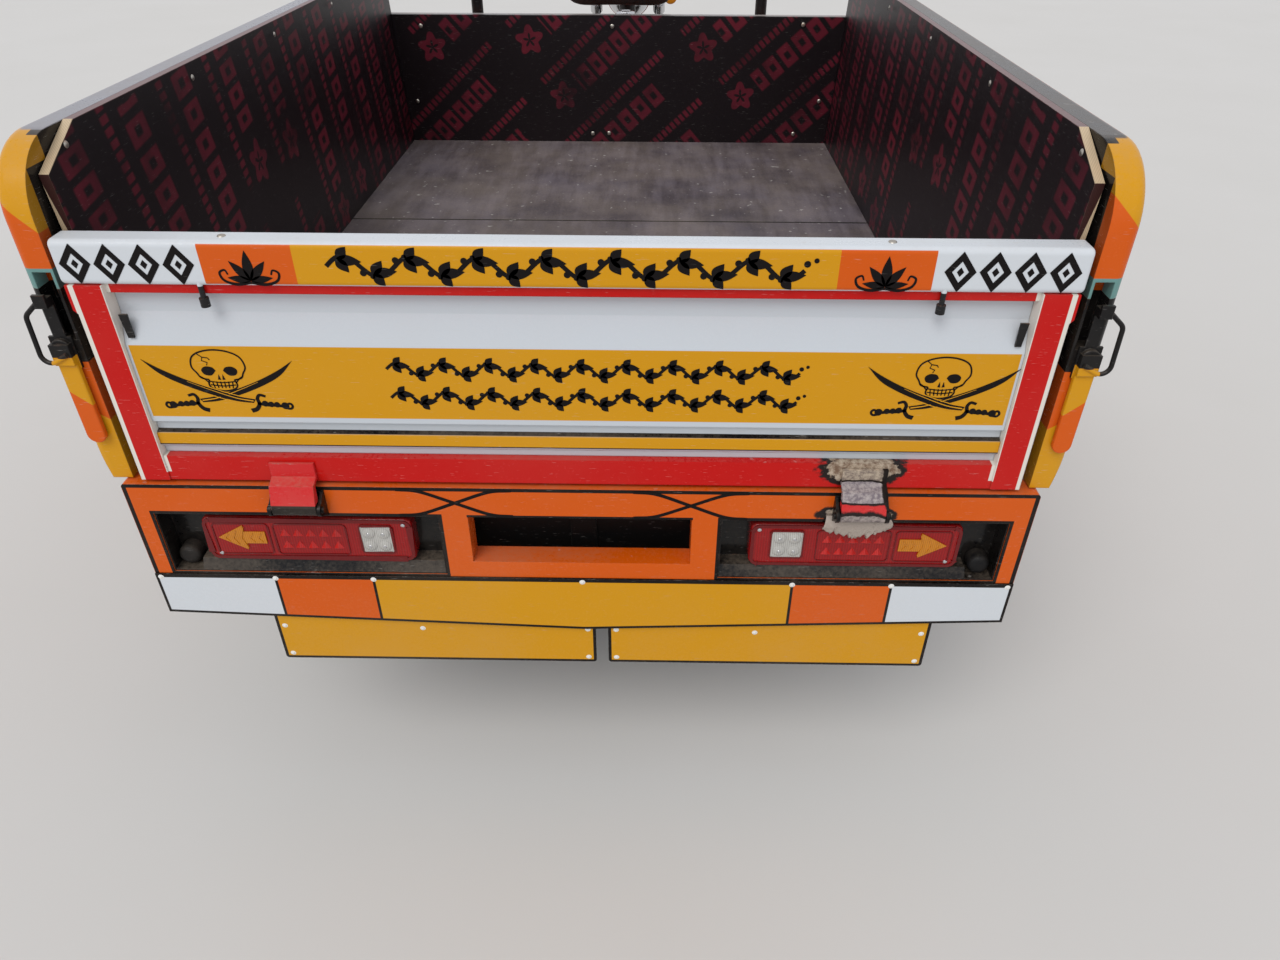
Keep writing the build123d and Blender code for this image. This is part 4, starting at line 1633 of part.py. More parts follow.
# Headlamp bowl on ears clamped to the fork tubes, and its glass
LAMP_BOWL_RADIUS = 84
LAMP_RIM = 16
LAMP_SEAT = 9
LAMP_DEPTH = 104
EAR_HALF = 16
EAR_LEVEL = 20
LAMP_GLASS_Y = HEAD_Y + 178
LAMP_MID_Z = HEAD_CENTRE_Z + 62
EAR_X = FORK_X - FORK_TUBE_RADIUS
ear_root = HEAD_PLANE.from_local_coords((FORK_X, FORK_OFFSET, EAR_LEVEL))
bowl_out, bowl_in = cap_point(LAMP_BOWL_RADIUS, 88)
with BuildPart() as headlamp:
    with BuildSketch(Plane(origin=(0, LAMP_GLASS_Y, LAMP_MID_Z), x_dir=(1, 0, 0), z_dir=(0, 0, 1))):
        with BuildLine():
            Line((0, -LAMP_DEPTH), (0, -4))
            Line((0, -4), (LAMP_BOWL_RADIUS - LAMP_SEAT, -4))
            Polyline(
                (LAMP_BOWL_RADIUS - LAMP_SEAT, -4), (LAMP_BOWL_RADIUS - LAMP_SEAT, 0), (LAMP_BOWL_RADIUS + 3, 0),
                (LAMP_BOWL_RADIUS + 3, -LAMP_RIM), (LAMP_BOWL_RADIUS, -LAMP_RIM),
            )
            ThreePointArc((LAMP_BOWL_RADIUS, -LAMP_RIM), (bowl_out, bowl_in - LAMP_DEPTH), (0, -LAMP_DEPTH))
        make_face()
    revolve(axis=Axis((0, LAMP_GLASS_Y, LAMP_MID_Z), (0, 1, 0)))
    for side in (-1, 1):
        with Locations(Location((side * (EAR_X - 20), LAMP_GLASS_Y - 40, LAMP_MID_Z), (0, 90, 0))):
            Cylinder(14, 44)
        with BuildSketch(Plane.YZ.offset(side * (EAR_X + 1))):
            Polygon(
                (ear_root.Y + 4, ear_root.Z - EAR_HALF), (ear_root.Y + 4, ear_root.Z + EAR_HALF),
                (LAMP_GLASS_Y - 40, LAMP_MID_Z + EAR_HALF), (LAMP_GLASS_Y - 24, LAMP_MID_Z),
                (LAMP_GLASS_Y - 40, LAMP_MID_Z - EAR_HALF),
                align=None,
            )
        extrude(amount=2, both=True)
        spot = HEAD_PLANE.from_local_coords((side * FORK_X, FORK_OFFSET, EAR_LEVEL))
        with BuildSketch(Plane(origin=spot, x_dir=(1, 0, 0), z_dir=HEAD_PLANE.z_dir)):
            Circle(FORK_TUBE_RADIUS + 5)
        extrude(amount=15, both=True)
    for x, y in fork_spots:
        spot = HEAD_PLANE.from_local_coords((x, y, 20))
        with BuildSketch(Plane(origin=spot, x_dir=(1, 0, 0), z_dir=HEAD_PLANE.z_dir)):
            Circle(FORK_TUBE_RADIUS + TOUCH_GAP)
        extrude(amount=40, both=True, mode=Mode.SUBTRACT)
write_node(headlamp.part, "headlamp")
GLASS_RADIUS = LAMP_BOWL_RADIUS - LAMP_SEAT - TOUCH_GAP
dome_out, dome_in = cap_point(GLASS_RADIUS, 12)
with BuildPart() as headlamp_glass:
    with BuildSketch(Plane(origin=(0, LAMP_GLASS_Y, LAMP_MID_Z), x_dir=(1, 0, 0), z_dir=(0, 0, 1))):
        with BuildLine():
            Polyline(
                (0, 12), (0, TOUCH_GAP - 4), (GLASS_RADIUS, TOUCH_GAP - 4), (GLASS_RADIUS, 0)
            )
            ThreePointArc((GLASS_RADIUS, 0), (dome_out, 12 - dome_in), (0, 12))
        make_face()
    revolve(axis=Axis((0, LAMP_GLASS_Y, LAMP_MID_Z), (0, 1, 0)))
write_node(headlamp_glass.part, "headlamp_glass")

# Instrument pod on the upper yoke, and the front indicators on the headlamp's ears
with BuildPart(HEAD_PLANE) as instrument:
    with Locations((0, 64, YOKE_TOP + TOUCH_GAP)):
        Cylinder(20, 14, align=(Align.CENTER, Align.CENTER, Align.MIN))
    with Locations((0, 64, YOKE_TOP + 12)):
        Cylinder(42, 44, align=(Align.CENTER, Align.CENTER, Align.MIN))
    pod_top = instrument.faces().sort_by(Axis((0, 0, 0), HEAD_PLANE.z_dir))[-1]
    fillet(pod_top.edges(), 5)
write_node(instrument.part, "instrument")
INDICATOR_X = EAR_X + 3 + TOUCH_GAP
INDICATOR_Y = LAMP_GLASS_Y - 62
INDICATOR_Z = LAMP_MID_Z - 4
INDICATOR_RADIUS = 24
with BuildPart() as front_indicators:
    for side in (-1, 1):
        with Locations(Location((side * (INDICATOR_X + 20), INDICATOR_Y, INDICATOR_Z), (0, 90, 0))):
            Cylinder(7, 40)
        with Locations((side * (INDICATOR_X + 58), INDICATOR_Y, INDICATOR_Z)):
            Cylinder(INDICATOR_RADIUS, 34, rotation=(90, 0, 0))
    fillet(front_indicators.edges().filter_by(GeomType.CIRCLE).filter_by(
        lambda edge: abs(edge.radius - INDICATOR_RADIUS) < 1
    ), 7)
write_node(front_indicators.part, "front_indicators")
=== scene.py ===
"""Looks of a cargo tricycle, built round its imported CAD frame.

Metres, Z up. The tricycle faces +Y, and the camera looks at its tailgate from behind.
Colours are written as 0 to 255 display values and turned to linear light by tone().
"""
from __future__ import annotations

import json
import logging
import math
from dataclasses import dataclass, field
from enum import Enum

import bpy
import numpy as np
from mathutils import Matrix, Vector

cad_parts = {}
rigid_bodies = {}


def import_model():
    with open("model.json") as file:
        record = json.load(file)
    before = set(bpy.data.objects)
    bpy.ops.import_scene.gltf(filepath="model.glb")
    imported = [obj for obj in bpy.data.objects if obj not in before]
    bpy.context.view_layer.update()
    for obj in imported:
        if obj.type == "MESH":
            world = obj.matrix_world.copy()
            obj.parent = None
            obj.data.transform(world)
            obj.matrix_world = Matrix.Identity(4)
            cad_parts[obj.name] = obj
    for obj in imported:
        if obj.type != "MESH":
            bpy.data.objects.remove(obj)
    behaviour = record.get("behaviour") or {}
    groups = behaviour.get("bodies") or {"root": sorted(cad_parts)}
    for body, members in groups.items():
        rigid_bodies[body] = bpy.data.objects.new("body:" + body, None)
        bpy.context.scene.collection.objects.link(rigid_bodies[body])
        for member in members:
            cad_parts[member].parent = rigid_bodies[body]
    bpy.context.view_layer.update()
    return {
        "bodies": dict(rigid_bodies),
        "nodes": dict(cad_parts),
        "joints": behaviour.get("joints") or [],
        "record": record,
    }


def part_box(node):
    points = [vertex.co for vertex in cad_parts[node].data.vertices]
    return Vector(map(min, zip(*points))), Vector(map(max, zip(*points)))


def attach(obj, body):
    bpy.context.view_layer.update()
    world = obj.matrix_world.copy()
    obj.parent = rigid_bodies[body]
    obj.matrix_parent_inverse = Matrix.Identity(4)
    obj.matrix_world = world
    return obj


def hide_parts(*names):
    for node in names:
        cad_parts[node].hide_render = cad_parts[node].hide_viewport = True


LOG = logging.getLogger("cargo_tricycle")
MM = 0.001
Feed = float | tuple | bpy.types.NodeSocket
Colour = tuple[float, float, float]


class Body(str, Enum):
    """The CAD bodies that a piece can ride on."""

    CHASSIS = "chassis"
    STEERING = "steering"
    FRONT_WHEEL = "front_wheel_body"
    REAR_WHEEL_RIGHT = "rear_wheel_right_body"
    REAR_WHEEL_LEFT = "rear_wheel_left_body"
    TAILGATE = "tailgate"


def tone(red: float, green: float, blue: float) -> Colour:
    """Turns a 0 to 255 display colour to linear light, by the usual display curve."""
    shares = np.array((red, green, blue)) / 255
    low = shares / 12.92
    high = ((shares + 0.055) / 1.055) ** 2.4
    return tuple(float(v) for v in np.where(shares <= 0.04045, low, high))


ORANGE = tone(214, 90, 12)
YELLOW = tone(212, 150, 16)
RED = tone(196, 14, 10)
WHITE = tone(212, 217, 222)
INK = tone(8, 3, 3)
BLACK = tone(30, 30, 32)
TEAL = tone(108, 150, 146)
DUST = tone(164, 148, 130)
FIBRE = tone(188, 172, 152)
CHAR = tone(34, 26, 24)
CREAM = tone(228, 222, 212)
PITCH = tone(12, 10, 10)

FAR = 2.0
LINE_SOFT = 0.4 * MM
PAINT_LIFT = 0.35 * MM
PRINT_PITCH = 0.17
RUN_LENGTH = 0.62
DASH_LENGTH = 0.0165
FLOWER_SIZE = 0.036
X_AXIS, Y_AXIS, Z_AXIS = (1.0, 0.0, 0.0), (0.0, 1.0, 0.0), (0.0, 0.0, 1.0)


# Shader graphs
class Graph:
    """Adds nodes to one node tree and joins them."""

    def __init__(self, tree: bpy.types.NodeTree) -> None:
        """Keeps the node tree that the other methods add to."""
        self.tree = tree

    def feed(self, socket: bpy.types.NodeSocket, value: Feed) -> None:
        """Joins a socket to another one, or writes a plain value on it."""
        if isinstance(value, bpy.types.NodeSocket):
            self.tree.links.new(value, socket)
        elif socket.type == "RGBA" and len(value) == 3:
            socket.default_value = (*value, 1.0)
        else:
            socket.default_value = value

    def add(self, kind: str, feeds: dict | None = None, **settings: object) -> bpy.types.Node:
        """Adds one node.

        Args:
            kind: the node's type name.
            feeds: values or sockets for its inputs, by name or number.
            settings: the node's own properties.

        Returns:
            The node.
        """
        node = self.tree.nodes.new(kind)
        for name, value in settings.items():
            setattr(node, name, value)
        for name, value in (feeds or {}).items():
            self.feed(node.inputs[name], value)
        return node

    def calc(self, operation: str, *values: Feed, clamp: bool = False) -> bpy.types.NodeSocket:
        """Works out one sum, product or comparison of numbers."""
        node = self.add("ShaderNodeMath", operation=operation, use_clamp=clamp)
        for socket, value in zip(node.inputs, values):
            self.feed(socket, value)
        return node.outputs[0]

    def times(self, first: Feed, second: Feed, clamp: bool = False) -> bpy.types.NodeSocket:
        """One number times another."""
        return self.calc("MULTIPLY", first, second, clamp=clamp)

    def plus(self, first: Feed, second: Feed) -> bpy.types.NodeSocket:
        """The sum of two numbers."""
        return self.calc("ADD", first, second)

    def minus(self, first: Feed, second: Feed, clamp: bool = False) -> bpy.types.NodeSocket:
        """One number less another."""
        return self.calc("SUBTRACT", first, second, clamp=clamp)

    def part(self, vector: Feed, axis: str) -> bpy.types.NodeSocket:
        """One of a vector's three numbers: X, Y or Z."""
        return self.add("ShaderNodeSeparateXYZ", {0: vector}).outputs[axis]

    def mix(self, share: Feed, below: Feed, above: Feed) -> bpy.types.NodeSocket:
        """Blends the colour below into the colour above by a share from 0 to 1."""
        node = self.add("ShaderNodeMix", data_type="RGBA", clamp_factor=True)
        for number, value in ((0, share), (6, below), (7, above)):
            self.feed(node.inputs[number], value)
        return node.outputs[2]

    def mix_value(self, share: Feed, below: Feed, above: Feed) -> bpy.types.NodeSocket:
        """Blends two numbers by a share from 0 to 1."""
        node = self.add("ShaderNodeMix", data_type="FLOAT", clamp_factor=True)
        for number, value in ((0, share), (2, below), (3, above)):
            self.feed(node.inputs[number], value)
        return node.outputs[0]

    def ease(self, value: Feed, low: Feed, high: Feed) -> bpy.types.NodeSocket:
        """A smooth step from 0 at low to 1 at high."""
        node = self.add(
            "ShaderNodeMapRange",
            {"Value": value, "From Min": low, "From Max": high},
            interpolation_type="SMOOTHSTEP",
        )
        return node.outputs["Result"]

    def noise(self, vector: Feed, scale: Feed, detail: float = 3.0,
              rough: float = 0.55) -> bpy.types.NodeSocket:
        """Soft noise from 0 to 1, with this many features to the metre."""
        node = self.add(
            "ShaderNodeTexNoise",
            {"Vector": vector, "Scale": scale, "Detail": detail, "Roughness": rough},
        )
        return node.outputs["Fac"]

    def window(self, value: Feed, low: float, high: float, soft: float = 0.02) -> bpy.types.NodeSocket:
        """A mask that is 1 where a number lies between two bounds, with soft sides."""
        rise = self.ease(value, low - soft, low + soft)
        fall = self.ease(value, high - soft, high + soft)
        return self.minus(rise, fall, clamp=True)

    def stretch(self, vector: Feed, scale: tuple[float, float, float],
                turn: tuple = (0.0, 0.0, 0.0)) -> bpy.types.NodeSocket:
        """Scales and turns the pattern space."""
        node = self.add("ShaderNodeMapping", {"Vector": vector, "Scale": scale, "Rotation": turn})
        return node.outputs["Vector"]

    def place(self) -> bpy.types.NodeSocket:
        """The point on the object, in metres in the frame."""
        return self.add("ShaderNodeTexCoord").outputs["Object"]

    def facing(self) -> bpy.types.NodeSocket:
        """Which way the surface faces in the object's own axes, which stays when the piece is moved."""
        return self.add("ShaderNodeTexCoord").outputs["Normal"]

    def use(self, group: bpy.types.NodeTree, feeds: dict) -> dict[str, bpy.types.NodeSocket]:
        """Places a shared node group and returns its outputs by name."""
        node = self.add("ShaderNodeGroup", node_tree=group)
        for name, value in feeds.items():
            self.feed(node.inputs[name], value)
        return {out.name: out for out in node.outputs}


SOCKETS = {"float": "NodeSocketFloat", "vector": "NodeSocketVector", "colour": "NodeSocketColor"}


def new_group(name: str, inputs: dict[str, str], outputs: dict[str, str]) -> tuple:
    """Starts a shader node group.

    Args:
        name: the group's name.
        inputs: kinds of its inputs by name: float, vector or colour.
        outputs: kinds of its outputs by name.

    Returns:
        The tree, a Graph on it, its input sockets by name, and its output node.
    """
    tree = bpy.data.node_groups.new(name, "ShaderNodeTree")
    for side, table in (("INPUT", inputs), ("OUTPUT", outputs)):
        for label, kind in table.items():
            tree.interface.new_socket(name=label, in_out=side, socket_type=SOCKETS[kind])
    graph = Graph(tree)
    source = graph.add("NodeGroupInput")
    sink = graph.add("NodeGroupOutput")
    return tree, graph, {s.name: s for s in source.outputs if s.name}, sink


class Effects:
    """The effects that several finishes share, each one a node group built once."""

    def __init__(self) -> None:
        """Builds every group."""
        self.band = self._band()
        self.weather = self._weather()
        self.patch = self._patch()
        self.metal = self._metal()
        self.grain = self._grain()
        self.leather = self._leather()
        self.bars = self._bars()

    def _band(self) -> bpy.types.NodeTree:
        """A mask that is 1 where the point's distance along a direction is between low and high."""
        tree, g, i, sink = new_group(
            "band between two lines",
            {"Vector": "vector", "Direction": "vector", "Low": "float", "High": "float", "Soft": "float"},
            {"Mask": "float"},
        )
        dot = g.add("ShaderNodeVectorMath", {0: i["Vector"], 1: i["Direction"]}, operation="DOT_PRODUCT")
        along = dot.outputs["Value"]
        rise = g.ease(along, g.minus(i["Low"], i["Soft"]), g.plus(i["Low"], i["Soft"]))
        fall = g.ease(along, g.minus(i["High"], i["Soft"]), g.plus(i["High"], i["Soft"]))
        g.feed(sink.inputs["Mask"], g.minus(rise, fall, clamp=True))
        return tree

    def _weather(self) -> bpy.types.NodeTree:
        """Fading, dust on what faces up, grime low down and fine scratches over a colour."""
        tree, g, i, sink = new_group(
            "weathered coat",
            {
                "Vector": "vector", "Colour": "colour", "Dust": "float", "Fade": "float",
                "Scratches": "float", "Gloss": "float",
            },
            {"Colour": "colour", "Roughness": "float", "Height": "float"},
        )
        cloud = g.noise(i["Vector"], 5.0, 4.0, 0.6)
        fine = g.noise(i["Vector"], 160.0, 3.0, 0.7)
        faded = g.mix(g.times(i["Fade"], g.ease(cloud, 0.35, 0.75)), i["Colour"],
                      g.mix(0.09, i["Colour"], tone(226, 206, 184)))
        up = g.part(g.facing(), "Z")
        height = g.part(i["Vector"], "Z")
        low = g.minus(1.0, g.ease(height, 0.15, 0.75))
        lie = g.plus(g.times(g.ease(up, 0.1, 0.95), 0.7), g.calc("MULTIPLY_ADD", low, 0.34, 0.02))
        patchy = g.ease(g.plus(g.times(cloud, 0.65), g.times(fine, 0.45)), 0.38, 0.72)
        dust = g.times(g.times(lie, i["Dust"]), patchy, clamp=True)
        streak = g.noise(g.stretch(i["Vector"], (60.0, 60.0, 900.0), (0.35, 0.6, 0.2)), 1.0, 2.0, 0.5)
        scratch = g.times(g.ease(streak, 0.68, 0.75), i["Scratches"], clamp=True)
        dusty = g.mix(dust, faded, DUST)
        scratched = g.mix(g.times(scratch, 0.5), dusty, tone(200, 196, 190))
        rough = g.plus(i["Gloss"], g.times(fine, 0.08))
        rough = g.mix_value(g.calc("MAXIMUM", dust, g.times(scratch, 0.5)), rough, 0.85)
        g.feed(sink.inputs["Colour"], scratched)
        g.feed(sink.inputs["Roughness"], rough)
        g.feed(sink.inputs["Height"], g.minus(g.times(fine, 0.3), scratch))
        return tree

    def _patch(self) -> bpy.types.NodeTree:
        """A ragged patch round a point: distance over size, broken by noise."""
        tree, g, i, sink = new_group(
            "ragged patch",
            {"Vector": "vector", "Centre": "vector", "Size": "vector", "Ragged": "float"},
            {"Mask": "float", "Edge": "float"},
        )
        gap = g.add("ShaderNodeVectorMath", {0: i["Vector"], 1: i["Centre"]}, operation="SUBTRACT")
        share = g.add("ShaderNodeVectorMath", {0: gap.outputs[0], 1: i["Size"]}, operation="DIVIDE")
        far = g.add("ShaderNodeVectorMath", {0: share.outputs[0]}, operation="LENGTH").outputs["Value"]
        ragged = g.times(g.minus(g.noise(i["Vector"], 55.0, 5.0, 0.65), 0.5), i["Ragged"])
        torn = g.plus(far, ragged)
        g.feed(sink.inputs["Mask"], g.minus(1.0, g.ease(torn, 0.94, 1.0)))
        g.feed(sink.inputs["Edge"], g.minus(1.0, g.ease(torn, 1.15, 1.3)))
        return tree

    def _metal(self) -> bpy.types.NodeTree:
        """Bare steel with blotches of rust, and what they do to gloss and height."""
        tree, g, i, sink = new_group(
            "steel and rust",
            {"Vector": "vector", "Steel": "colour", "Rust": "float"},
            {"Colour": "colour", "Roughness": "float", "Metallic": "float", "Height": "float"},
        )
        broad = g.noise(i["Vector"], 14.0, 5.0, 0.62)
        fine = g.noise(i["Vector"], 190.0, 3.0, 0.6)
        bound = g.minus(0.86, g.times(i["Rust"], 0.6))
        blotch = g.plus(broad, g.times(g.minus(fine, 0.5), 0.25))
        rust = g.ease(blotch, g.minus(bound, 0.06), g.plus(bound, 0.06))
        brown = g.mix(fine, tone(92, 52, 34), tone(158, 98, 62))
        steel = g.mix(g.times(fine, 0.35), i["Steel"], tone(96, 92, 88))
        g.feed(sink.inputs["Colour"], g.mix(rust, steel, brown))
        g.feed(sink.inputs["Roughness"], g.mix_value(rust, g.calc("MULTIPLY_ADD", fine, 0.2, 0.28), 0.9))
        g.feed(sink.inputs["Metallic"], g.minus(1.0, rust))
        g.feed(sink.inputs["Height"], g.times(rust, fine))
        return tree

    def _grain(self) -> bpy.types.NodeTree:
        """Wood grain: noise drawn out along Y, with scuffs across it."""
        tree, g, i, sink = new_group(
            "wood grain",
            {"Vector": "vector", "Along": "vector", "Pale": "colour", "Dark": "colour", "Wear": "float"},
            {"Colour": "colour", "Roughness": "float", "Height": "float"},
        )
        drawn = g.add("ShaderNodeVectorMath", {0: i["Vector"], 1: i["Along"]}, operation="MULTIPLY")
        fibre = g.noise(drawn.outputs[0], 1.0, 5.0, 0.6)
        cloud = g.noise(i["Vector"], 3.2, 5.0, 0.62)
        scuff = g.noise(g.stretch(i["Vector"], (34.0, 5.0, 34.0), (0.0, 0.0, 0.15)), 1.0, 4.0, 0.6)
        rubbed = g.plus(g.times(cloud, 0.6), g.times(scuff, 0.4))
        worn = g.times(g.ease(rubbed, 0.4, 0.66), i["Wear"], clamp=True)
        wood = g.mix(fibre, i["Dark"], g.mix(0.35, i["Dark"], i["Pale"]))
        g.feed(sink.inputs["Colour"], g.mix(worn, wood, i["Pale"]))
        g.feed(sink.inputs["Roughness"], g.mix_value(worn, g.calc("MULTIPLY_ADD", fibre, 0.2, 0.35), 0.78))
        g.feed(sink.inputs["Height"], fibre)
        return tree

    def _leather(self) -> bpy.types.NodeTree:
        """Pebbled grain of seat vinyl: small cells with soft edges, and folds between them."""
        tree, g, i, sink = new_group(
            "pebbled grain", {"Vector": "vector", "Scale": "float"}, {"Height": "float", "Shade": "float"}
        )
        cell = g.add("ShaderNodeTexVoronoi", {"Vector": i["Vector"], "Scale": i["Scale"]},
                     feature="DISTANCE_TO_EDGE")
        pebble = g.ease(cell.outputs["Distance"], 0.0, 0.28)
        broad = g.noise(i["Vector"], 22.0, 3.0, 0.5)
        g.feed(sink.inputs["Height"], g.calc("MULTIPLY_ADD", broad, 0.6, pebble))
        g.feed(sink.inputs["Shade"], broad)
        return tree

    def _bars(self) -> bpy.types.NodeTree:
        """Rows of printed blocks, bold and fine in turn, as on the film of a plywood sheet.

        A row's number is the point's second value over the pitch. Along it, blocks are cut out of runs
        that start at another place in every row, and a ring of petals stands before each run.
        """
        tree, g, i, sink = new_group(
            "printed rows of blocks", {"Vector": "vector", "Pitch": "float"}, {"Mask": "float"}
        )
        along = g.part(i["Vector"], "X")
        row = g.calc("DIVIDE", g.part(i["Vector"], "Y"), i["Pitch"])
        lane = g.calc("FRACT", row)
        seed = g.times(g.calc("SINE", g.times(g.calc("FLOOR", row), 12.99)), 43.7)
        shift = g.calc("FRACT", seed)
        run = g.calc("FRACT", g.plus(g.calc("DIVIDE", along, RUN_LENGTH), shift))
        block = g.calc("FRACT", g.calc("DIVIDE", along, g.calc("MULTIPLY_ADD", shift, 0.022, 0.034)))
        dash = g.calc("FRACT", g.calc("DIVIDE", along, DASH_LENGTH))
        blocks = g.times(g.window(run, 0.16, 0.80, 0.004), g.window(block, 0.12, 0.86, 0.04))
        slot = g.times(g.window(lane, 0.17, 0.29), g.window(block, 0.34, 0.64, 0.05))
        bold = g.minus(g.times(g.window(lane, 0.06, 0.40), blocks), slot, clamp=True)
        dashes = g.times(g.window(run, 0.04, 0.92, 0.004), g.window(dash, 0.16, 0.82, 0.06))
        fine = g.times(g.window(lane, 0.58, 0.70), dashes)
        aside = g.times(g.minus(run, 0.07), RUN_LENGTH / FLOWER_SIZE)
        over = g.times(g.minus(lane, 0.24), PRINT_PITCH / FLOWER_SIZE)
        reach = g.calc("SQRT", g.plus(g.calc("POWER", aside, 2.0), g.calc("POWER", over, 2.0)))
        petal = g.times(g.calc("SINE", g.times(g.calc("ARCTAN2", over, aside), 5.0)), 0.22)
        flower = g.window(g.plus(reach, petal), 0.3, 0.9, 0.06)
        faint = g.ease(g.noise(i["Vector"], 5.0, 4.0, 0.65), 0.22, 0.6)
        mark = g.calc("MAXIMUM", g.calc("MAXIMUM", bold, fine), flower)
        g.feed(sink.inputs["Mask"], g.times(mark, faint))
        return tree


class Surface:
    """A new material: its graph, the place on the surface and its Principled BSDF."""

    def __init__(self, name: str, effects: Effects | None = None) -> None:
        """Starts the material."""
        self.effects = effects
        self.material = bpy.data.materials.new(name)
        self.material.use_nodes = True
        self.shader = self.material.node_tree.nodes["Principled BSDF"]
        self.g = Graph(self.material.node_tree)
        self.place = self.g.place()

    def use(self, group: bpy.types.NodeTree, **feeds: Feed) -> dict[str, bpy.types.NodeSocket]:
        """Places a shared group at the surface's own place."""
        return self.g.use(group, {"Vector": self.place, **feeds})

    def weather(self, colour: Feed, dust: float, fade: float, scratches: float,
                gloss: float) -> dict[str, bpy.types.NodeSocket]:
        """Puts the shared weather over a colour."""
        return self.use(
            self.effects.weather, Colour=colour, Dust=dust, Fade=fade, Scratches=scratches, Gloss=gloss,
        )

    def close(self, feeds: dict[str, Feed], bump: dict[str, Feed],
              levels: dict[str, float] | None = None) -> bpy.types.Material:
        """Feeds the shader.

        Args:
            feeds: what changes over the surface, by the shader's input names.
            bump: the height and how it is pressed in, by the Bump node's input names.
            levels: what is the same all over, set on the shader's own sockets.

        Returns:
            The material.
        """
        normal = self.g.add("ShaderNodeBump", bump).outputs[0]
        for name, value in {**feeds, "Normal": normal}.items():
            self.g.feed(self.shader.inputs[name], value)
        for name, value in (levels or {}).items():
            self.shader.inputs[name].default_value = value
        return self.material


@dataclass(frozen=True)
class Line:
    """A painted band: where the point's value along a direction is between low and high."""

    colour: Colour
    direction: Colour
    low: float
    high: float
    within: tuple[tuple[Colour, float, float], ...] = ()

    def mask(self, surface: Surface) -> bpy.types.NodeSocket:
        """The product of the line's band masks."""
        band, mask = surface.effects.band, None
        for direction, low, high in ((self.direction, self.low, self.high), *self.within):
            own = surface.use(band, Direction=direction, Low=low, High=high, Soft=LINE_SOFT)["Mask"]
            mask = own if mask is None else surface.g.times(mask, own)
        return mask


def between(colour: Colour, x: tuple | None = None, y: tuple | None = None,
            z: tuple | None = None) -> Line:
    """A painted box, with its limits in metres on any of the three axes."""
    limits = tuple((axis, *lim) for axis, lim in ((X_AXIS, x), (Y_AXIS, y), (Z_AXIS, z)) if lim)
    return Line(colour, *limits[0], limits[1:])


def across(side: float, low: float, high: float) -> tuple[float, float]:
    """Limits in X, given for the machine's right side and mirrored for its left."""
    return (low, high) if side > 0 else (-high, -low)


def both_sides(colour: Colour, low: float, high: float, **limits: tuple) -> tuple[Line, ...]:
    """The same painted box on the right and on the left."""
    return tuple(between(colour, x=across(side, low, high), **limits) for side in (1.0, -1.0))


def outlines(colour: Colour, x: tuple, z: tuple, width: float,
             y: tuple = (-FAR, FAR)) -> tuple[Line, ...]:
    """Four painted lines round a rectangle in X and Z, on what lies within y."""
    grow = width / 2
    full = (x[0] - grow, x[1] + grow)
    return (
        *(between(colour, x=full, y=y, z=(level - grow, level + grow)) for level in z),
        *(between(colour, x=(level - grow, level + grow), y=y, z=z) for level in x),
    )


@dataclass(frozen=True)
class Tear:
    """A ragged place where the paint is gone and what lies under it shows."""

    centre: Colour
    size: Colour
    ragged: float
    pale: Colour
    dark: Colour


@dataclass(frozen=True)
class Paint:
    """Sprayed paint with its painted bands, weather and torn places."""

    name: str
    colour: Colour
    gloss: float = 0.22
    dust: float = 0.5
    fade: float = 0.5
    coat: float = 0.12
    lines: tuple[Line, ...] = ()
    tears: tuple[Tear, ...] = ()
    chips: float = 0.35
    rear_only: bool = False

    def make(self, effects: Effects) -> bpy.types.Material:
        """Builds the material: bands over the base, chips at edges, tears, then the weather."""
        surface = Surface(self.name, effects)
        g = surface.g
        colour: Feed = g.mix(0.0, self.colour, self.colour)
        outside = g.minus(1.0, g.ease(g.part(g.facing(), "Y"), 0.2, 0.4)) if self.rear_only else 1.0
        for line in self.lines:
            colour = g.mix(g.times(line.mask(surface), outside), colour, line.colour)
        flat = g.add("ShaderNodeNewGeometry").outputs["Normal"]
        bevel = g.add("ShaderNodeBevel", {"Radius": 0.0022}, samples=4)
        dot = g.add("ShaderNodeVectorMath", {0: bevel.outputs[0], 1: flat}, operation="DOT_PRODUCT")
        rim = g.minus(1.0, dot.outputs["Value"])
        spots = g.ease(g.noise(surface.place, 70.0, 4.0, 0.65), 0.52, 0.62)
        chip = g.times(g.times(g.ease(rim, 0.02, 0.12), spots), self.chips, clamp=True)
        weather = surface.weather(colour, self.dust, self.fade, scratches=0.5, gloss=self.gloss)
        steel = surface.use(effects.metal, Steel=tone(150, 146, 140), Rust=0.62)
        bare: Feed = chip
        shade = g.mix(chip, weather["Colour"], steel["Colour"])
        fibre = g.ease(g.noise(surface.place, 140.0, 5.0, 0.7), 0.35, 0.65)
        for tear in self.tears:
            patch = surface.use(effects.patch, Centre=tear.centre, Size=tear.size, Ragged=tear.ragged)
            torn = g.times(patch["Mask"], outside)
            shade = g.mix(g.times(patch["Edge"], outside), shade, CHAR)
            shade = g.mix(torn, shade, g.mix(fibre, tear.dark, tear.pale))
            bare = g.calc("MAXIMUM", bare, torn)
        feeds = {
            "Base Color": shade, "Roughness": g.mix_value(bare, weather["Roughness"], steel["Roughness"]),
            "Metallic": g.times(chip, steel["Metallic"]),
        }
        levels = {"Specular IOR Level": 0.14}
        if self.coat:
            feeds["Coat Weight"] = g.mix_value(bare, self.coat, 0.0)
            levels["Coat Roughness"] = 0.1
        drop = g.minus(weather["Height"], g.times(bare, 2.0))
        return surface.close(
            feeds, {"Height": drop, "Strength": 0.24, "Distance": 0.0006, "Normal": bevel.outputs[0]}, levels,
        )


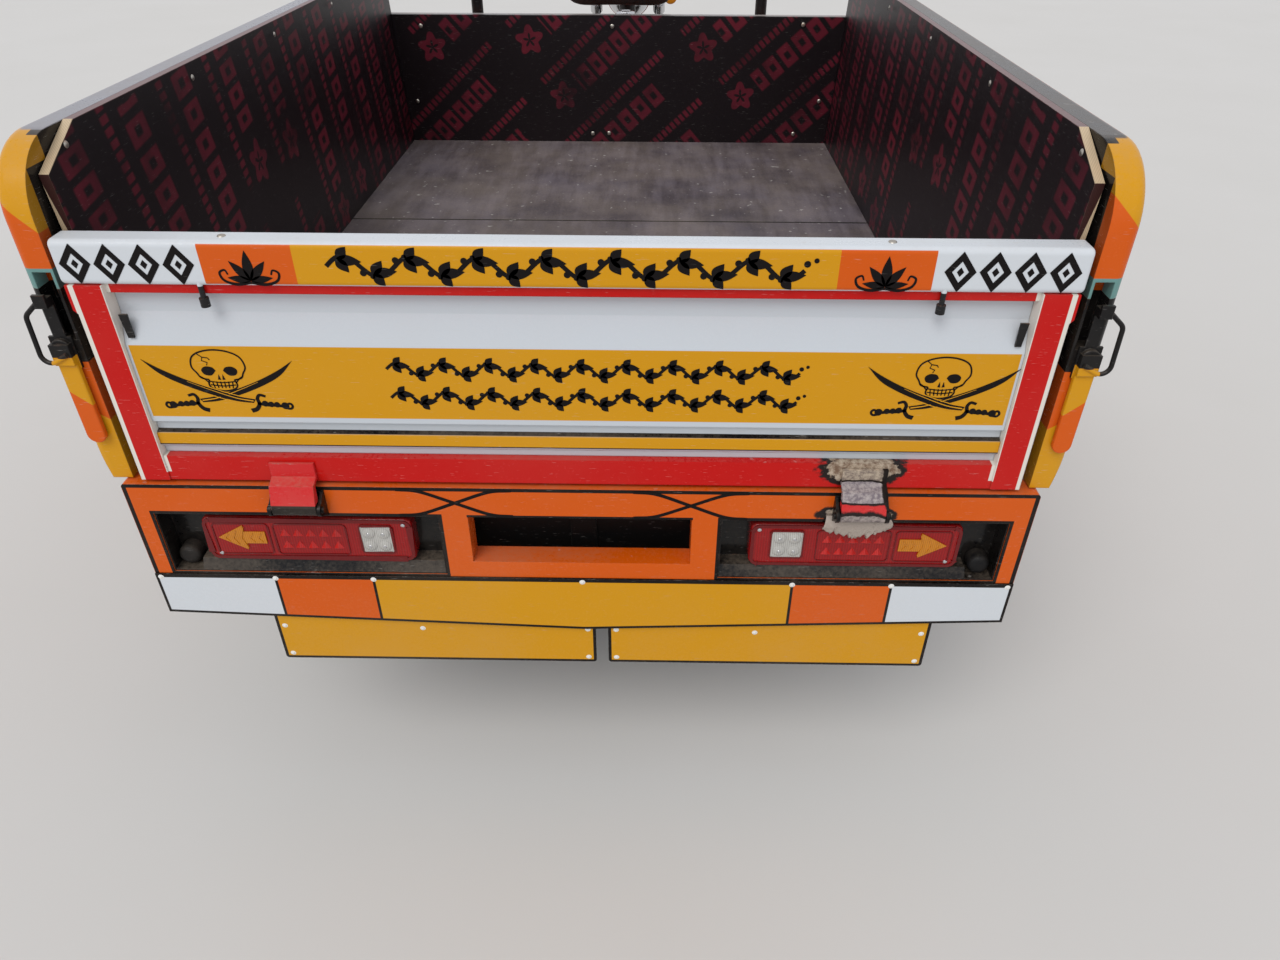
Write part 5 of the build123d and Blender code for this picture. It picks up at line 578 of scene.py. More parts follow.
@dataclass(frozen=True)
class Steel:
    """Bare, plated or rusty metal."""

    name: str
    colour: Colour
    rust: float = 0.3
    dust: float = 0.4
    polish: float = 0.0

    def make(self, effects: Effects) -> bpy.types.Material:
        """Builds the material: steel and rust, with dust over both."""
        surface = Surface(self.name, effects)
        g = surface.g
        steel = surface.use(effects.metal, Steel=self.colour, Rust=self.rust)
        weather = surface.weather(steel["Colour"], self.dust, fade=0.1, scratches=0.4, gloss=0.3)
        rough = g.calc("MAXIMUM", steel["Roughness"], weather["Roughness"])
        height = g.plus(steel["Height"], g.times(weather["Height"], 0.3))
        return surface.close(
            {"Base Color": weather["Colour"], "Roughness": g.minus(rough, self.polish, clamp=True),
             "Metallic": steel["Metallic"]},
            {"Height": height, "Strength": 0.25, "Distance": 0.0006},
        )


@dataclass(frozen=True)
class Plain:
    """Rubber, moulded plastic and other plain matter, with its own grain and dust."""

    name: str
    colour: Colour
    rough: float = 0.5
    dust: float = 0.4
    pebble: float = 900.0
    relief: float = 0.25
    fade: float = 0.35

    def make(self, effects: Effects) -> bpy.types.Material:
        """Builds the material: pebbled height and a weathered colour."""
        surface = Surface(self.name, effects)
        g = surface.g
        grain = surface.use(effects.leather, Scale=self.pebble)
        pale = tuple(min(1.0, 1.3 * c + 0.0015) for c in self.colour)
        colour = g.mix(g.times(grain["Shade"], 0.5), self.colour, pale)
        weather = surface.weather(colour, self.dust, self.fade, scratches=0.25, gloss=self.rough)
        height = g.plus(grain["Height"], g.times(weather["Height"], 0.4))
        return surface.close(
            {"Base Color": weather["Colour"], "Roughness": weather["Roughness"]},
            {"Height": height, "Strength": self.relief, "Distance": 0.0005}, {"Specular IOR Level": 0.18},
        )


@dataclass(frozen=True)
class Film:
    """Film-faced plywood: a dark film printed with rows of blocks, and pale sawn edges."""

    name: str
    front_turn: float = 42.0
    side_turn: float = 98.0
    sawn: tuple[Line, ...] = ()

    def make(self, effects: Effects) -> bpy.types.Material:
        """Builds the material: film, print, dust and the plies where the sheet was cut.

        The print lies in each sheet's own plane, which its normal tells: X and Z on the front sheet, Y and
        Z on the side sheets.
        """
        surface = Surface(self.name, effects)
        g, place = surface.g, surface.place
        side = g.ease(g.calc("ABSOLUTE", g.part(g.facing(), "X")), 0.45, 0.55)
        marks = []
        for level, turn in (("X", self.front_turn), ("Y", self.side_turn)):
            flat = g.add("ShaderNodeCombineXYZ", {0: g.part(place, level), 1: g.part(place, "Z")})
            turned = g.add("ShaderNodeVectorRotate", {"Vector": flat.outputs[0], "Angle": -math.radians(turn)},
                           rotation_type="Z_AXIS")
            marks.append(g.use(effects.bars, {"Vector": turned.outputs[0], "Pitch": PRINT_PITCH})["Mask"])
        film = g.mix(g.noise(place, 6.0, 4.0, 0.6), tone(14, 7, 10), tone(24, 14, 18))
        shade = g.mix(g.noise(place, 2.4, 2.0), tone(82, 21, 40), tone(128, 31, 46))
        colour = g.mix(g.times(g.mix_value(side, *marks), 0.78), film, shade)
        plies = g.add("ShaderNodeTexWave",
                      {"Vector": place, "Scale": 160.0, "Distortion": 0.6, "Detail": 2.0},
                      bands_direction="X").outputs["Fac"]
        for line in self.sawn:
            ply = g.mix(plies, tuple(0.66 * c for c in line.colour), line.colour)
            colour = g.mix(line.mask(surface), colour, ply)
        weather = surface.weather(colour, dust=0.1, fade=0.0, scratches=0.35, gloss=0.34)
        return surface.close(
            {"Base Color": weather["Colour"], "Roughness": weather["Roughness"]},
            {"Height": weather["Height"], "Strength": 0.12, "Distance": 0.0005}, {"Specular IOR Level": 0.3},
        )


@dataclass(frozen=True)
class WornBoard:
    """Floor plywood worn by loads: grey dust, scuffs along the bed and dark joints."""

    name: str
    joint_y: float = -0.6195
    joint_half: float = 3.5 * MM

    def make(self, effects: Effects) -> bpy.types.Material:
        """Builds the material from the grain and weather groups."""
        surface = Surface(self.name, effects)
        g = surface.g
        grain = surface.use(effects.grain, Along=(60.0, 7.0, 60.0), Pale=tone(112, 103, 110),
                            Dark=tone(50, 40, 46), Wear=0.85)
        joint = between(INK, y=(self.joint_y - self.joint_half, self.joint_y + self.joint_half))
        colour = g.mix(joint.mask(surface), grain["Colour"], INK)
        weather = surface.weather(colour, dust=0.35, fade=0.3, scratches=1.0, gloss=0.5)
        rough = g.calc("MAXIMUM", weather["Roughness"], grain["Roughness"])
        return surface.close(
            {"Base Color": weather["Colour"], "Roughness": rough},
            {"Height": g.plus(grain["Height"], weather["Height"]), "Strength": 0.3, "Distance": 0.0008},
        )


@dataclass(frozen=True)
class Lens:
    """Moulded lamp plastic: a deep colour with a glossy face and fine ribs."""

    name: str
    colour: Colour
    rough: float = 0.12
    rib: float = 0.004
    coat: float = 0.1

    def make(self, effects: Effects) -> bpy.types.Material:
        """Builds the material: ribs across X as height, with painted shade that darkens their valleys.

        The wave texture runs math.tau / 20 of a metre to one turn at scale 1, which sets its scale.
        """
        surface = Surface(self.name, effects)
        g = surface.g
        scale = math.tau / self.rib / 20
        wave = g.add("ShaderNodeTexWave", {"Vector": surface.place, "Scale": scale, "Distortion": 0.0},
                     bands_direction="X").outputs["Fac"]
        share = g.calc("MULTIPLY_ADD", wave, 0.5, g.times(g.noise(surface.place, 30.0), 0.4))
        # Painted shade: the colour falls to 0.55 of itself in the rib valleys, with some random noise in the
        # share.
        colour = g.mix(share, tuple(0.55 * c for c in self.colour), self.colour)
        weather = surface.weather(colour, dust=0.12, fade=0.0, scratches=0.2, gloss=self.rough)
        return surface.close(
            {"Base Color": weather["Colour"], "Roughness": weather["Roughness"]},
            {"Height": wave, "Strength": 0.2, "Distance": 0.0008},
            {"Coat Weight": self.coat, "Coat Roughness": 0.05, "Specular IOR Level": 0.3},
        )


# Meshes
@dataclass
class Shell:
    """Gathers the points and faces of one piece, and the finish of each face."""

    points: list[np.ndarray] = field(default_factory=list)
    faces: list[tuple] = field(default_factory=list)
    finish: list[int] = field(default_factory=list)
    count: int = 0

    def _take(self, points: np.ndarray, faces: np.ndarray | list, finish: int) -> None:
        """Adds points and faces that count from the first of them."""
        points = np.asarray(points, float).reshape(-1, 3)
        start = self.count
        self.points.append(points)
        self.faces.extend(tuple(int(v) + start for v in f) for f in faces)
        self.finish.extend([finish] * len(faces))
        self.count += len(points)

    def grid(self, points: np.ndarray, wrap_u: bool = False, wrap_v: bool = False, ends: bool = False,
             finish: int = 0) -> None:
        """Adds a surface given as a (u, v, 3) grid of points.

        Each cell gives one four-sided face, turned so that it faces along du cross dv.

        Args:
            points: the grid.
            wrap_u: the last row joins the first.
            wrap_v: the last column joins the first.
            ends: closes the first and last rows with one face each.
            finish: number of the finish.
        """
        rows, cols = points.shape[:2]
        number = np.arange(rows * cols).reshape(rows, cols)
        u_next = np.roll(number, -1, 0)
        v_next = np.roll(number, -1, 1)
        both = np.roll(u_next, -1, 1)
        quads = np.stack([number, u_next, both, v_next], -1)
        quads = quads[: rows if wrap_u else rows - 1, : cols if wrap_v else cols - 1].reshape(-1, 4)
        faces = [tuple(q) for q in quads]
        if ends:
            faces.append(tuple(number[0]))
            faces.append(tuple(number[-1][::-1]))
        self._take(points, faces, finish)

    def plate(self, outline: np.ndarray, plane: Plane, thickness: float, finish: int = 0,
              sink: float = 0.0) -> None:
        """Adds a flat plate: the outline carried out of its plane by its thickness.

        Args:
            outline: (n, 2) corners, turning left.
            plane: where the outline lies.
            thickness: how far the plate stands out.
            finish: number of the finish.
            sink: how far its back lies below the plane.
        """
        back = plane.point(outline, -sink)
        front = plane.point(outline, thickness)
        n = len(outline)
        ring = np.arange(n)
        nxt = np.roll(ring, -1)
        faces = [tuple(q) for q in np.stack([ring, nxt, nxt + n, ring + n], -1)]
        faces.append(tuple(ring[::-1]))
        faces.append(tuple(ring + n))
        self._take(np.vstack([back, front]), faces, finish)

    def stroke(self, path: np.ndarray, width: float | np.ndarray, plane: Plane, thickness: float,
               closed: bool = False, finish: int = 0) -> None:
        """Adds a painted or raised line: a strip of this width along a path in a plane.

        Its section is a low rectangle, set across the path's direction at each point.
        """
        path = np.asarray(path, float)
        if closed:
            ahead = np.roll(path, -1, 0) - np.roll(path, 1, 0)
        else:
            ahead = np.gradient(path, axis=0)
        ahead /= np.maximum(np.linalg.norm(ahead, axis=1, keepdims=True), 1e-9)
        side = np.stack([-ahead[:, 1], ahead[:, 0]], -1)
        if closed:
            seg = np.roll(path, -1, 0) - path
            seg /= np.maximum(np.linalg.norm(seg, axis=1, keepdims=True), 1e-9)
            miter = 1 / np.maximum(np.abs((side * np.stack([-seg[:, 1], seg[:, 0]], -1)).sum(1)), 0.5)
            side = side * miter[:, None]
        half = side * (np.broadcast_to(np.asarray(width, float), len(path)) / 2)[:, None]
        left, right = path + half, path - half
        ring = np.stack([
            plane.point(right, 0.0), plane.point(right, thickness),
            plane.point(left, thickness), plane.point(left, 0.0),
        ], 1)
        self.grid(ring, wrap_u=closed, wrap_v=True, ends=not closed, finish=finish)

    def make(self, name: str, materials: list[bpy.types.Material], body: Body, slot: str,
             smooth: float | None = 40.0) -> bpy.types.Object:
        """Makes the piece and lets it ride.

        Args:
            name: the piece's name.
            materials: its finishes in order.
            body: the body it rides on.
            slot: the record's material slot; not used.
            smooth: faces that meet by less than this angle are shaded as one; None keeps them flat.

        Returns:
            The object.
        """
        mesh = bpy.data.meshes.new(name)
        mesh.from_pydata(np.vstack(self.points).tolist(), [], self.faces)
        for material in materials:
            mesh.materials.append(material)
        mesh.polygons.foreach_set("material_index", np.array(self.finish, np.int32))
        if smooth is not None:
            mesh.polygons.foreach_set("use_smooth", np.ones(len(mesh.polygons), bool))
            mesh.set_sharp_from_angle(angle=math.radians(smooth))
        mesh.validate()
        mesh.update()
        obj = bpy.data.objects.new(name, mesh)
        bpy.context.scene.collection.objects.link(obj)
        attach(obj, body.value)
        return obj


@dataclass(frozen=True)
class Plane:
    """A plane in the frame: its origin, and the directions of x, y and the outward normal."""

    origin: Colour
    across: Colour
    up: Colour

    @property
    def out(self) -> np.ndarray:
        """The normal, across cross up."""
        return np.cross(self.across, self.up)

    def point(self, flat: np.ndarray, lift: float) -> np.ndarray:
        """Carries (n, 2) flat points into the frame, lifted off the plane."""
        flat = np.asarray(flat, float).reshape(-1, 2)
        return (np.array(self.origin) + flat[:, :1] * np.array(self.across)
                + flat[:, 1:] * np.array(self.up) + lift * self.out)


def rear_plane(y: float) -> Plane:
    """A plane that faces the camera: x to the right, z up, out towards -Y."""
    return Plane((0.0, y, 0.0), X_AXIS, Z_AXIS)


def circle(centre: tuple[float, float], radius: float | tuple, count: int = 24, start: float = 0.0,
           sweep: float = 360.0) -> np.ndarray:
    """Points round an ellipse: centre plus radius times cosine and sine."""
    rx, ry = (radius, radius) if isinstance(radius, float) else radius
    turn = np.radians(start + np.linspace(0, sweep, count, endpoint=sweep < 360))
    return np.stack([centre[0] + rx * np.cos(turn), centre[1] + ry * np.sin(turn)], -1)


def ordered(outline: np.ndarray) -> np.ndarray:
    """Turns an outline so that it runs left about its middle, by the sign of its area."""
    x, y = outline[:, 0], outline[:, 1]
    area = (x * np.roll(y, -1) - np.roll(x, -1) * y).sum()
    return outline if area > 0 else outline[::-1]


def curve(points: list[tuple[float, float]], count: int = 24) -> np.ndarray:
    """A smooth line through the given points: Catmull-Rom pieces, as whole arrays."""
    p = np.asarray(points, float)
    ext = np.vstack([2 * p[0] - p[1], p, 2 * p[-1] - p[-2]])
    share = np.linspace(0, len(p) - 1, count)
    k = np.minimum(share.astype(int), len(p) - 2)
    t = (share - k)[:, None]
    a, b, c, d = ext[k], ext[k + 1], ext[k + 2], ext[k + 3]
    return 0.5 * (2 * b + (c - a) * t + (2 * a - 5 * b + 4 * c - d) * t**2 + (3 * b - a - 3 * c + d) * t**3)


def dome(centre: np.ndarray, out: np.ndarray, radius: float, rise: float, shell: Shell, finish: int = 0,
         rings: int = 4, sides: int = 12) -> None:
    """Adds a rivet or screw head: a cap whose rings follow a quarter ellipse over its seat."""
    out = np.asarray(out, float) / np.linalg.norm(out)
    seed = np.array((0.0, 0.0, 1.0)) if abs(out[2]) < 0.9 else np.array((1.0, 0.0, 0.0))
    a = np.cross(seed, out)
    a /= np.linalg.norm(a)
    b = np.cross(out, a)
    lift = np.linspace(0, math.pi / 2, rings)[:, None]
    turn = np.linspace(0, math.tau, sides, endpoint=False)[None, :]
    wide = radius * np.maximum(np.cos(lift), 0.06)
    spots = (np.asarray(centre) + (wide * np.cos(turn))[..., None] * a + (wide * np.sin(turn))[..., None] * b
             + (rise * np.sin(lift) * np.ones_like(turn))[..., None] * out)
    shell.grid(spots[::-1], wrap_v=True, ends=True, finish=finish)


# The tricycle's pieces
def cut(gap: np.ndarray, half: float, soft: float) -> np.ndarray:
    """How deep a groove is, by the distance from its middle: 1 inside it, then falling to 0."""
    return 1 - np.clip((gap - half) / soft, 0, 1)


def rise(value: np.ndarray, start: float, run: float) -> np.ndarray:
    """A straight step from 0 at its start to 1 after its run."""
    return np.clip((value - start) / run, 0, 1)


@dataclass
class Tyres:
    """Three ribbed road tyres with cut shoulder blocks, fitted over the CAD tyres."""

    bead: float = 156 * MM
    flange: float = 169 * MM
    foot: float = 50 * MM
    shoulder: float = 24 * MM
    crown_in: float = 9 * MM
    crown_drop: float = 6 * MM
    tread_depth: float = 7 * MM
    blocks: int = 56
    turns: int = 448
    groove_share: float = 0.48
    groove_wander: float = 3.5 * MM
    groove_half: float = 2.6 * MM
    slot_half: float = 3.0 * MM
    slot_share: float = 0.64
    sipe_half: float = 0.8 * MM
    sipe_share: float = 0.34
    sipe_slant: float = 9 * MM
    soft: float = 1.2 * MM

    def section(self, radius: float, half: float) -> tuple[np.ndarray, np.ndarray]:
        """The section's radius and side offset, from one bead over the tread to the other.

        The wall bulges by a sine between flange and shoulder, the shoulder is a quarter turn, and the
        tread's crown falls with the square of the offset.
        """
        wall = np.linspace(0, 1, 14)
        wall_r = self.flange + 1 * MM + (radius - self.shoulder - self.flange) * wall
        wall_s = self.foot + (half - self.foot) * np.sin(np.pi * (0.08 + 0.62 * wall)) ** 0.8
        wall_s = np.minimum(wall_s, half)
        turn = np.linspace(0, np.pi / 2, 6)[1:]
        crown_s = half - self.crown_in
        corner_r = wall_r[-1] + (radius - self.crown_drop - wall_r[-1]) * np.sin(turn)
        corner_s = crown_s + (wall_s[-1] - crown_s) * np.cos(turn)
        tread_s = np.linspace(crown_s, 0, 22)[1:]
        tread_r = radius - self.crown_drop * (tread_s / crown_s) ** 2
        r = np.concatenate([[self.bead, self.flange - 3 * MM], wall_r, corner_r, tread_r])
        s = np.concatenate([[self.foot - 1 * MM, self.foot - 0.5 * MM], wall_s, corner_s, tread_s])
        return np.concatenate([r, r[-2::-1]]), np.concatenate([s, -s[-2::-1]])

    def build(self, name: str, node: str, body: Body, dressing: Dressing) -> bpy.types.Object:
        """Turns the section round the axle and cuts the tread into it.

        The cut is the deepest of three kinds: two zigzag grooves round the tyre, whose middle wanders by a
        triangle wave, slots across the shoulders, one to each block, and slanted sipes in the middle.
        """
        low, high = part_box(node)
        centre = (low + high) / 2
        radius, half = (high.z - low.z) / 2, (high.x - low.x) / 2
        r, s = self.section(radius, half)
        angle = np.linspace(0, math.tau, self.turns, endpoint=False)[:, None]
        phase = (angle * self.blocks / math.tau) % 1
        pitch = math.tau * radius / self.blocks
        zigzag = (np.abs(2 * phase - 1) * 2 - 1) * self.groove_wander
        offset = s[None, :]
        groove = np.zeros((self.turns, len(r)))
        for middle in (-self.groove_share * half, self.groove_share * half):
            gap = np.abs(offset - middle - zigzag)
            groove = np.maximum(groove, cut(gap, self.groove_half, self.soft))
        slot = np.abs((phase + 0.25) % 1 - 0.5) * pitch
        outer = rise(np.abs(offset), half * self.slot_share, 3 * MM)
        groove = np.maximum(groove, outer * cut(slot, self.slot_half, self.soft))
        sipe = np.abs((phase + offset / self.sipe_slant) % 1 - 0.5) * pitch
        inner = 1 - rise(np.abs(offset), half * self.sipe_share, 2 * MM)
        groove = np.maximum(groove, 0.6 * inner * cut(sipe, self.sipe_half, 1 * MM))
        deep = rise(r, radius - 26 * MM, 8 * MM)[None, :]
        reach = r[None, :] - self.tread_depth * groove * deep
        grid = np.stack([
            centre.x + np.broadcast_to(offset, reach.shape),
            centre.y + reach * np.cos(angle),
            centre.z + reach * np.sin(angle),
        ], -1)
        shell = Shell()
        shell.grid(grid[::-1], wrap_u=True, wrap_v=True)
        piece = dressing.make(shell, name, (TYRE_RUBBER,), body, "tyre_rubber", smooth=35.0)
        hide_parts(node)
        return piece


@dataclass
class Emblem:
    """A skull over crossed sabres, drawn in lines and solid fields of dark paint."""

    shell: Shell
    centre: tuple[float, float]
    plane: Plane
    line: float = 2.2 * MM

    def at(self, points: list | np.ndarray, side: float) -> np.ndarray:
        """Moves flat millimetre points to the emblem's place, mirrored on its left side."""
        return np.asarray(points, float) * MM * np.array((side, 1.0)) + np.array(self.centre)

    def trace(self, points: list | np.ndarray, width: float | np.ndarray, side: float = 1.0,
              lift: float = 0.0, finish: int = 0) -> None:
        """Draws a line through the points."""
        self.shell.stroke(self.at(points, side), width, self.plane, PAINT_LIFT + lift, finish=finish)

    def fill(self, outline: list | np.ndarray, side: float, lift: float = 0.0) -> None:
        """Fills an outline."""
        self.shell.plate(ordered(self.at(outline, side)), self.plane, PAINT_LIFT + lift)

    def draw(self) -> None:
        """Adds the skull and both sabres to the shell, whose finishes are ink and band yellow."""
        self.trace(curve([(-17, 17), (-27, 20), (-31, 27), (-36, 37), (-32, 51), (-19, 59), (0, 62), (19, 59),
                          (32, 51), (36, 37), (31, 27), (27, 20), (17, 17)], 84), self.line)
        self.trace(curve([(-17, 17), (-19, 9), (-14, 3), (0, 0), (14, 3), (19, 9), (17, 17)], 44), self.line)
        socket = curve([(5, 31), (9, 36), (18, 37), (24, 32), (21, 25), (12, 24), (5, 31)], 36)[:-1]
        for side in (-1.0, 1.0):
            self.fill(socket, side)
            self.fill([(0.9, 17.0), (5.0, 17.6), (2.6, 25.5)], side)
            self.trace(curve([(28, 22), (23, 18), (18, 12)], 12), self.line * 0.8, side)
        for x in (-13.5, -8.1, -2.7, 2.7, 8.1, 13.5):
            self.trace([(x, 14.4), (x * 0.96, 9), (x * 0.9, 4.4)], self.line * 0.7)
        for z in (14.0, 8.8):
            self.trace(curve([(-17, z + 0.6), (0, z - 1.2), (17, z + 0.6)], 20), self.line * 0.7)
        self.trace([(-24, 56), (-18, 51), (-20, 46), (-13, 43), (-15, 39)], self.line * 0.6)
        self.trace([(-18, 51), (-11, 50), (-9, 47)], self.line * 0.6)
        self._sabre(-1.0, 0.0)
        self._sabre(1.0, 0.14 * MM)

    def _sabre(self, side: float, lift: float) -> None:
        """One curved blade, its tip above and its hilt below, with the light line of its fuller."""
        back = curve([(-101, 47), (-80, 33), (-52, 18), (-22, 5), (14, -8), (38, -13)], 44)
        edge = curve([(38, -18.5), (10, -15), (-24, -4), (-58, 11), (-82, 26), (-101, 47)], 44)
        self.fill(np.vstack([back, edge[1:-1]]), side, lift)
        if lift:
            self.trace(back[20:] + (0.4, 1.3), 1.1 * MM, side, lift, finish=1)
            self.trace(edge[:24] - (0.4, 1.3), 1.1 * MM, side, lift, finish=1)
        fuller = curve([(-48, 14.2), (-20, 1.8), (12, -10.6), (35, -15.3)], 30)
        self.trace(fuller, np.linspace(0.5, 1.7, 30) * MM, side, lift + 0.06 * MM, finish=1)
        guard = curve([(53, -8), (45, -6), (41, -12), (42, -20), (37, -28), (29, -31)], 26)
        self.trace(guard, np.linspace(3.6, 6.4, 26) * MM, side)
        self.trace(curve([(40.0, -19.0), (52.0, -21.5), (64.0, -22.0), (76.0, -23.5)], 20), 4.4 * MM, side)
        for x, z, size in ((50.0, -19.5, 4.6), (58.0, -20.5, 4.3), (66.0, -21.0, 4.3), (77.0, -22.5, 5.4)):
            self.fill(circle((x, z), size, 16), side, 0.1 * PAINT_LIFT)
        self.trace(curve([(77, -22), (84, -19), (87, -23), (84, -27), (77, -26)], 18), self.line * 1.5, side)


def leaf(foot: tuple[float, float], turn: float, length: float, width: float, bend: float = 0.25,
         count: int = 12) -> np.ndarray:
    """A pointed leaf's outline.

    Its spine runs out from the foot and bends by the square of the share run. Both sides stand off it by
    half the width times the sine of the share, so that it closes at the foot and the tip.
    """
    share = np.linspace(0, 1, count)
    angle = math.radians(turn)
    spine = np.stack([share * length, bend * length * share**2], -1)
    stand = np.stack([np.zeros(count), width / 2 * np.sin(np.pi * share**0.8)], -1)
    outline = np.vstack([spine - stand, (spine + stand)[-2:0:-1]])
    spin = np.array(((math.cos(angle), math.sin(angle)), (-math.sin(angle), math.cos(angle))))
    return ordered(outline @ spin + np.array(foot))


def vine(shell: Shell, plane: Plane, x: tuple[float, float], z: float, swing: float,
         waves: int) -> None:
    """Adds a running leaf scroll: a sine stem, and in every half wave three leaves and two berries."""
    share = np.linspace(0, 1, waves * 26)
    stem = np.stack([x[0] + (x[1] - x[0]) * share, z + swing * np.sin(share * math.tau * waves)], -1)
    shell.stroke(stem, swing * 0.42, plane, PAINT_LIFT)
    step = (x[1] - x[0]) / (2 * waves)
    for k in range(2 * waves):
        side = 1.0 if k % 2 == 0 else -1.0
        foot = (x[0] + step * (k + 0.34), z + side * swing * 0.8)
        for turn, size in ((-62.0, 1.15), (-16.0, 1.55), (40.0, 1.0)):
            blade = leaf(foot, side * turn, swing * size * 1.45, swing * 1.02, 0.12 * side)
            shell.plate(blade, plane, 1.1 * PAINT_LIFT)
        for shift, drop, size in ((0.72, -0.62, 0.32), (0.98, -0.95, 0.24)):
            berry = circle((foot[0] + step * shift, z + side * swing * drop), swing * size, 12)
            shell.plate(ordered(berry), plane, 1.1 * PAINT_LIFT)


@dataclass
class Dressing:
    """Gives every CAD node its finish and adds the pieces that the CAD leaves out."""

    nodes: dict
    effects: Effects
    finishes: dict = field(default_factory=dict)

    def finish(self, finish: object) -> bpy.types.Material:
        """The material of a finish, made once."""
        if finish.name not in self.finishes:
            self.finishes[finish.name] = finish.make(self.effects)
        return self.finishes[finish.name]

    def paint(self, node: str, finish: object) -> None:
        """Gives a CAD node one finish in place of what it came with."""
        mesh = self.nodes[node].data
        mesh.materials.clear()
        mesh.materials.append(self.finish(finish))

    def make(self, shell: Shell, name: str, finishes: tuple, body: Body, slot: str,
             smooth: float | None = 40.0) -> bpy.types.Object:
        """Makes a piece of a shell, with these finishes in order."""
        return shell.make(name, [self.finish(finish) for finish in finishes], body, slot, smooth)


# Where the paints lie, in metres in the frame
BAND_FRONT_Y = -1.6735
BUMPER_FACE = (-FAR, -1.6770)
LATCH_FACE = (-FAR, -1.6679)
LATCH_Z = (0.740, 0.885)
GATE_TOP_Z = 0.9855
POCKET_Z = (0.872, 0.976)
WALL_TOP = (1.1512, 1.3)
PLATE_X = (-0.242, 0.298)
SIGN_JOINTS = (-0.478, -0.325, 0.325, 0.478)
LINING_END = (Y_AXIS, -FAR, -1.6285)
LINING_LEAN = (0.0, -0.179)
SAWN_PLY = tone(218, 194, 160)

RAIL_PAINT = Paint(
    "rail paint", WHITE, dust=0.18, fade=0.1,
    lines=(
        between(ORANGE, x=(-0.456, 0.449), y=(-FAR, BAND_FRONT_Y)),
        between(YELLOW, x=(-0.340, 0.332), y=(-FAR, BAND_FRONT_Y)),
        between(BLACK, z=(0.0, 0.9852)),
    ),
)
PANEL_PAINT = Paint(
    "gate panel paint", tone(200, 206, 212), dust=0.25, fade=0.15, rear_only=True,
    lines=tuple(between(colour, x=(-reach, reach), z=z) for colour, reach, z in (
        (YELLOW, 0.586, (0.7905, 0.8995)), (INK, 0.7, (0.7630, 0.7665)),
        (YELLOW, 0.7, (0.7455, 0.7630)), (INK, 0.7, (0.7440, 0.7458)),
    )),
)
GATE_PAINT = Paint(
    "gate frame paint", RED, dust=0.2, fade=0.2, rear_only=True,
    lines=(
        *both_sides(CREAM, 0.5850, 0.5915, z=(0.70, GATE_TOP_Z)),
        *both_sides(CREAM, 0.6262, 0.6330, z=(0.66, GATE_TOP_Z)),
    ),
    tears=(Tear((0.404, -1.675, 0.716), (0.050, 0.05, 0.024), 1.0, FIBRE, tone(120, 96, 78)),),
)
BUMPER_PAINT = Paint(
    "bumper paint", ORANGE, dust=0.25, fade=0.25,
    lines=(
        *outlines(INK, (-0.6615, 0.6615), (0.5075, 0.6765), 0.0062, BUMPER_FACE),
        *outlines(INK, (-0.6345, -0.2070), (0.5128, 0.6285), 0.0062, BUMPER_FACE),
        *outlines(INK, (0.2070, 0.6345), (0.5128, 0.6285), 0.0062, BUMPER_FACE),
        # Painted shadow: a dark line along the middle window's top edge, for the shade under the bumper's top
        # rail.
        between(INK, x=(-0.1670, 0.1670), y=BUMPER_FACE, z=(0.6262, 0.6308)),
    ),
    tears=(Tear((0.408, -1.68, 0.640), (0.050, 0.05, 0.016), 0.8, FIBRE, tone(112, 98, 92)),),
)
SIGN_PAINT = Paint(
    "sign paint", YELLOW, dust=0.15, fade=0.15,
    lines=(
        *both_sides(WHITE, 0.478, 0.7), *both_sides(ORANGE, 0.325, 0.478),
        *(between(INK, x=(x - 0.0022, x + 0.0022)) for x in SIGN_JOINTS),
        *both_sides(INK, 0.6605, 0.7)[::-1],
        *(Line(INK, (slope, 0.0, 1.0), -1.0, 0.4078) for slope in (0.0406, -0.0406)),
        between(INK, x=(-0.7, 0.7), z=(0.5030, 0.52)),
    ),
)
PLATE_PAINT = Paint(
    "plate paint", YELLOW, dust=0.2, fade=0.2,
    lines=tuple(
        line for middle in PLATE_X
        for line in outlines(INK, (middle - 0.2578, middle + 0.2578), (0.3242, 0.4318), 0.0056)
    ),
)
LEAF_PAINT = Paint(
    "hinge leaf paint", tone(206, 34, 38), dust=0.4, fade=0.4, chips=1.0,
    lines=(between(PITCH, x=(-1.0, 0.0), z=(0.0, 0.6635)),),
    tears=(
        Tear((0.402, -1.683, 0.716), (0.060, 0.06, 0.022), 0.7, FIBRE, tone(122, 108, 100)),
        Tear((0.402, -1.683, 0.688), (0.060, 0.06, 0.012), 0.5, tone(176, 166, 164), tone(122, 112, 118)),
        Tear((0.402, -1.683, 0.640), (0.060, 0.06, 0.022), 0.5, tone(168, 156, 150), tone(110, 100, 100)),
        Tear((0.449, -1.683, 0.705), (0.014, 0.06, 0.036), 0.6, CHAR, tone(20, 16, 16)),
    ),
)


def latch_lines(side: float) -> tuple[Line, Line]:
    """The lever's orange, cut by a yellow field with a slanted joint."""
    x = across(side, 0.6585, 0.6875)
    limits = ((Z_AXIS, *LATCH_Z), (X_AXIS, *x), (Y_AXIS, *LATCH_FACE))
    return (
        between(ORANGE, x=x, y=LATCH_FACE, z=LATCH_Z),
        Line(YELLOW, (-0.66 * side, 0.0, 0.75), 0.172, FAR, limits),
    )


LATCH_PAINT = Paint(
    "latch paint", tone(20, 19, 20), gloss=0.3, dust=0.25, fade=0.1, chips=0.3, coat=0.15,
    lines=(*latch_lines(1.0), *latch_lines(-1.0)),
)


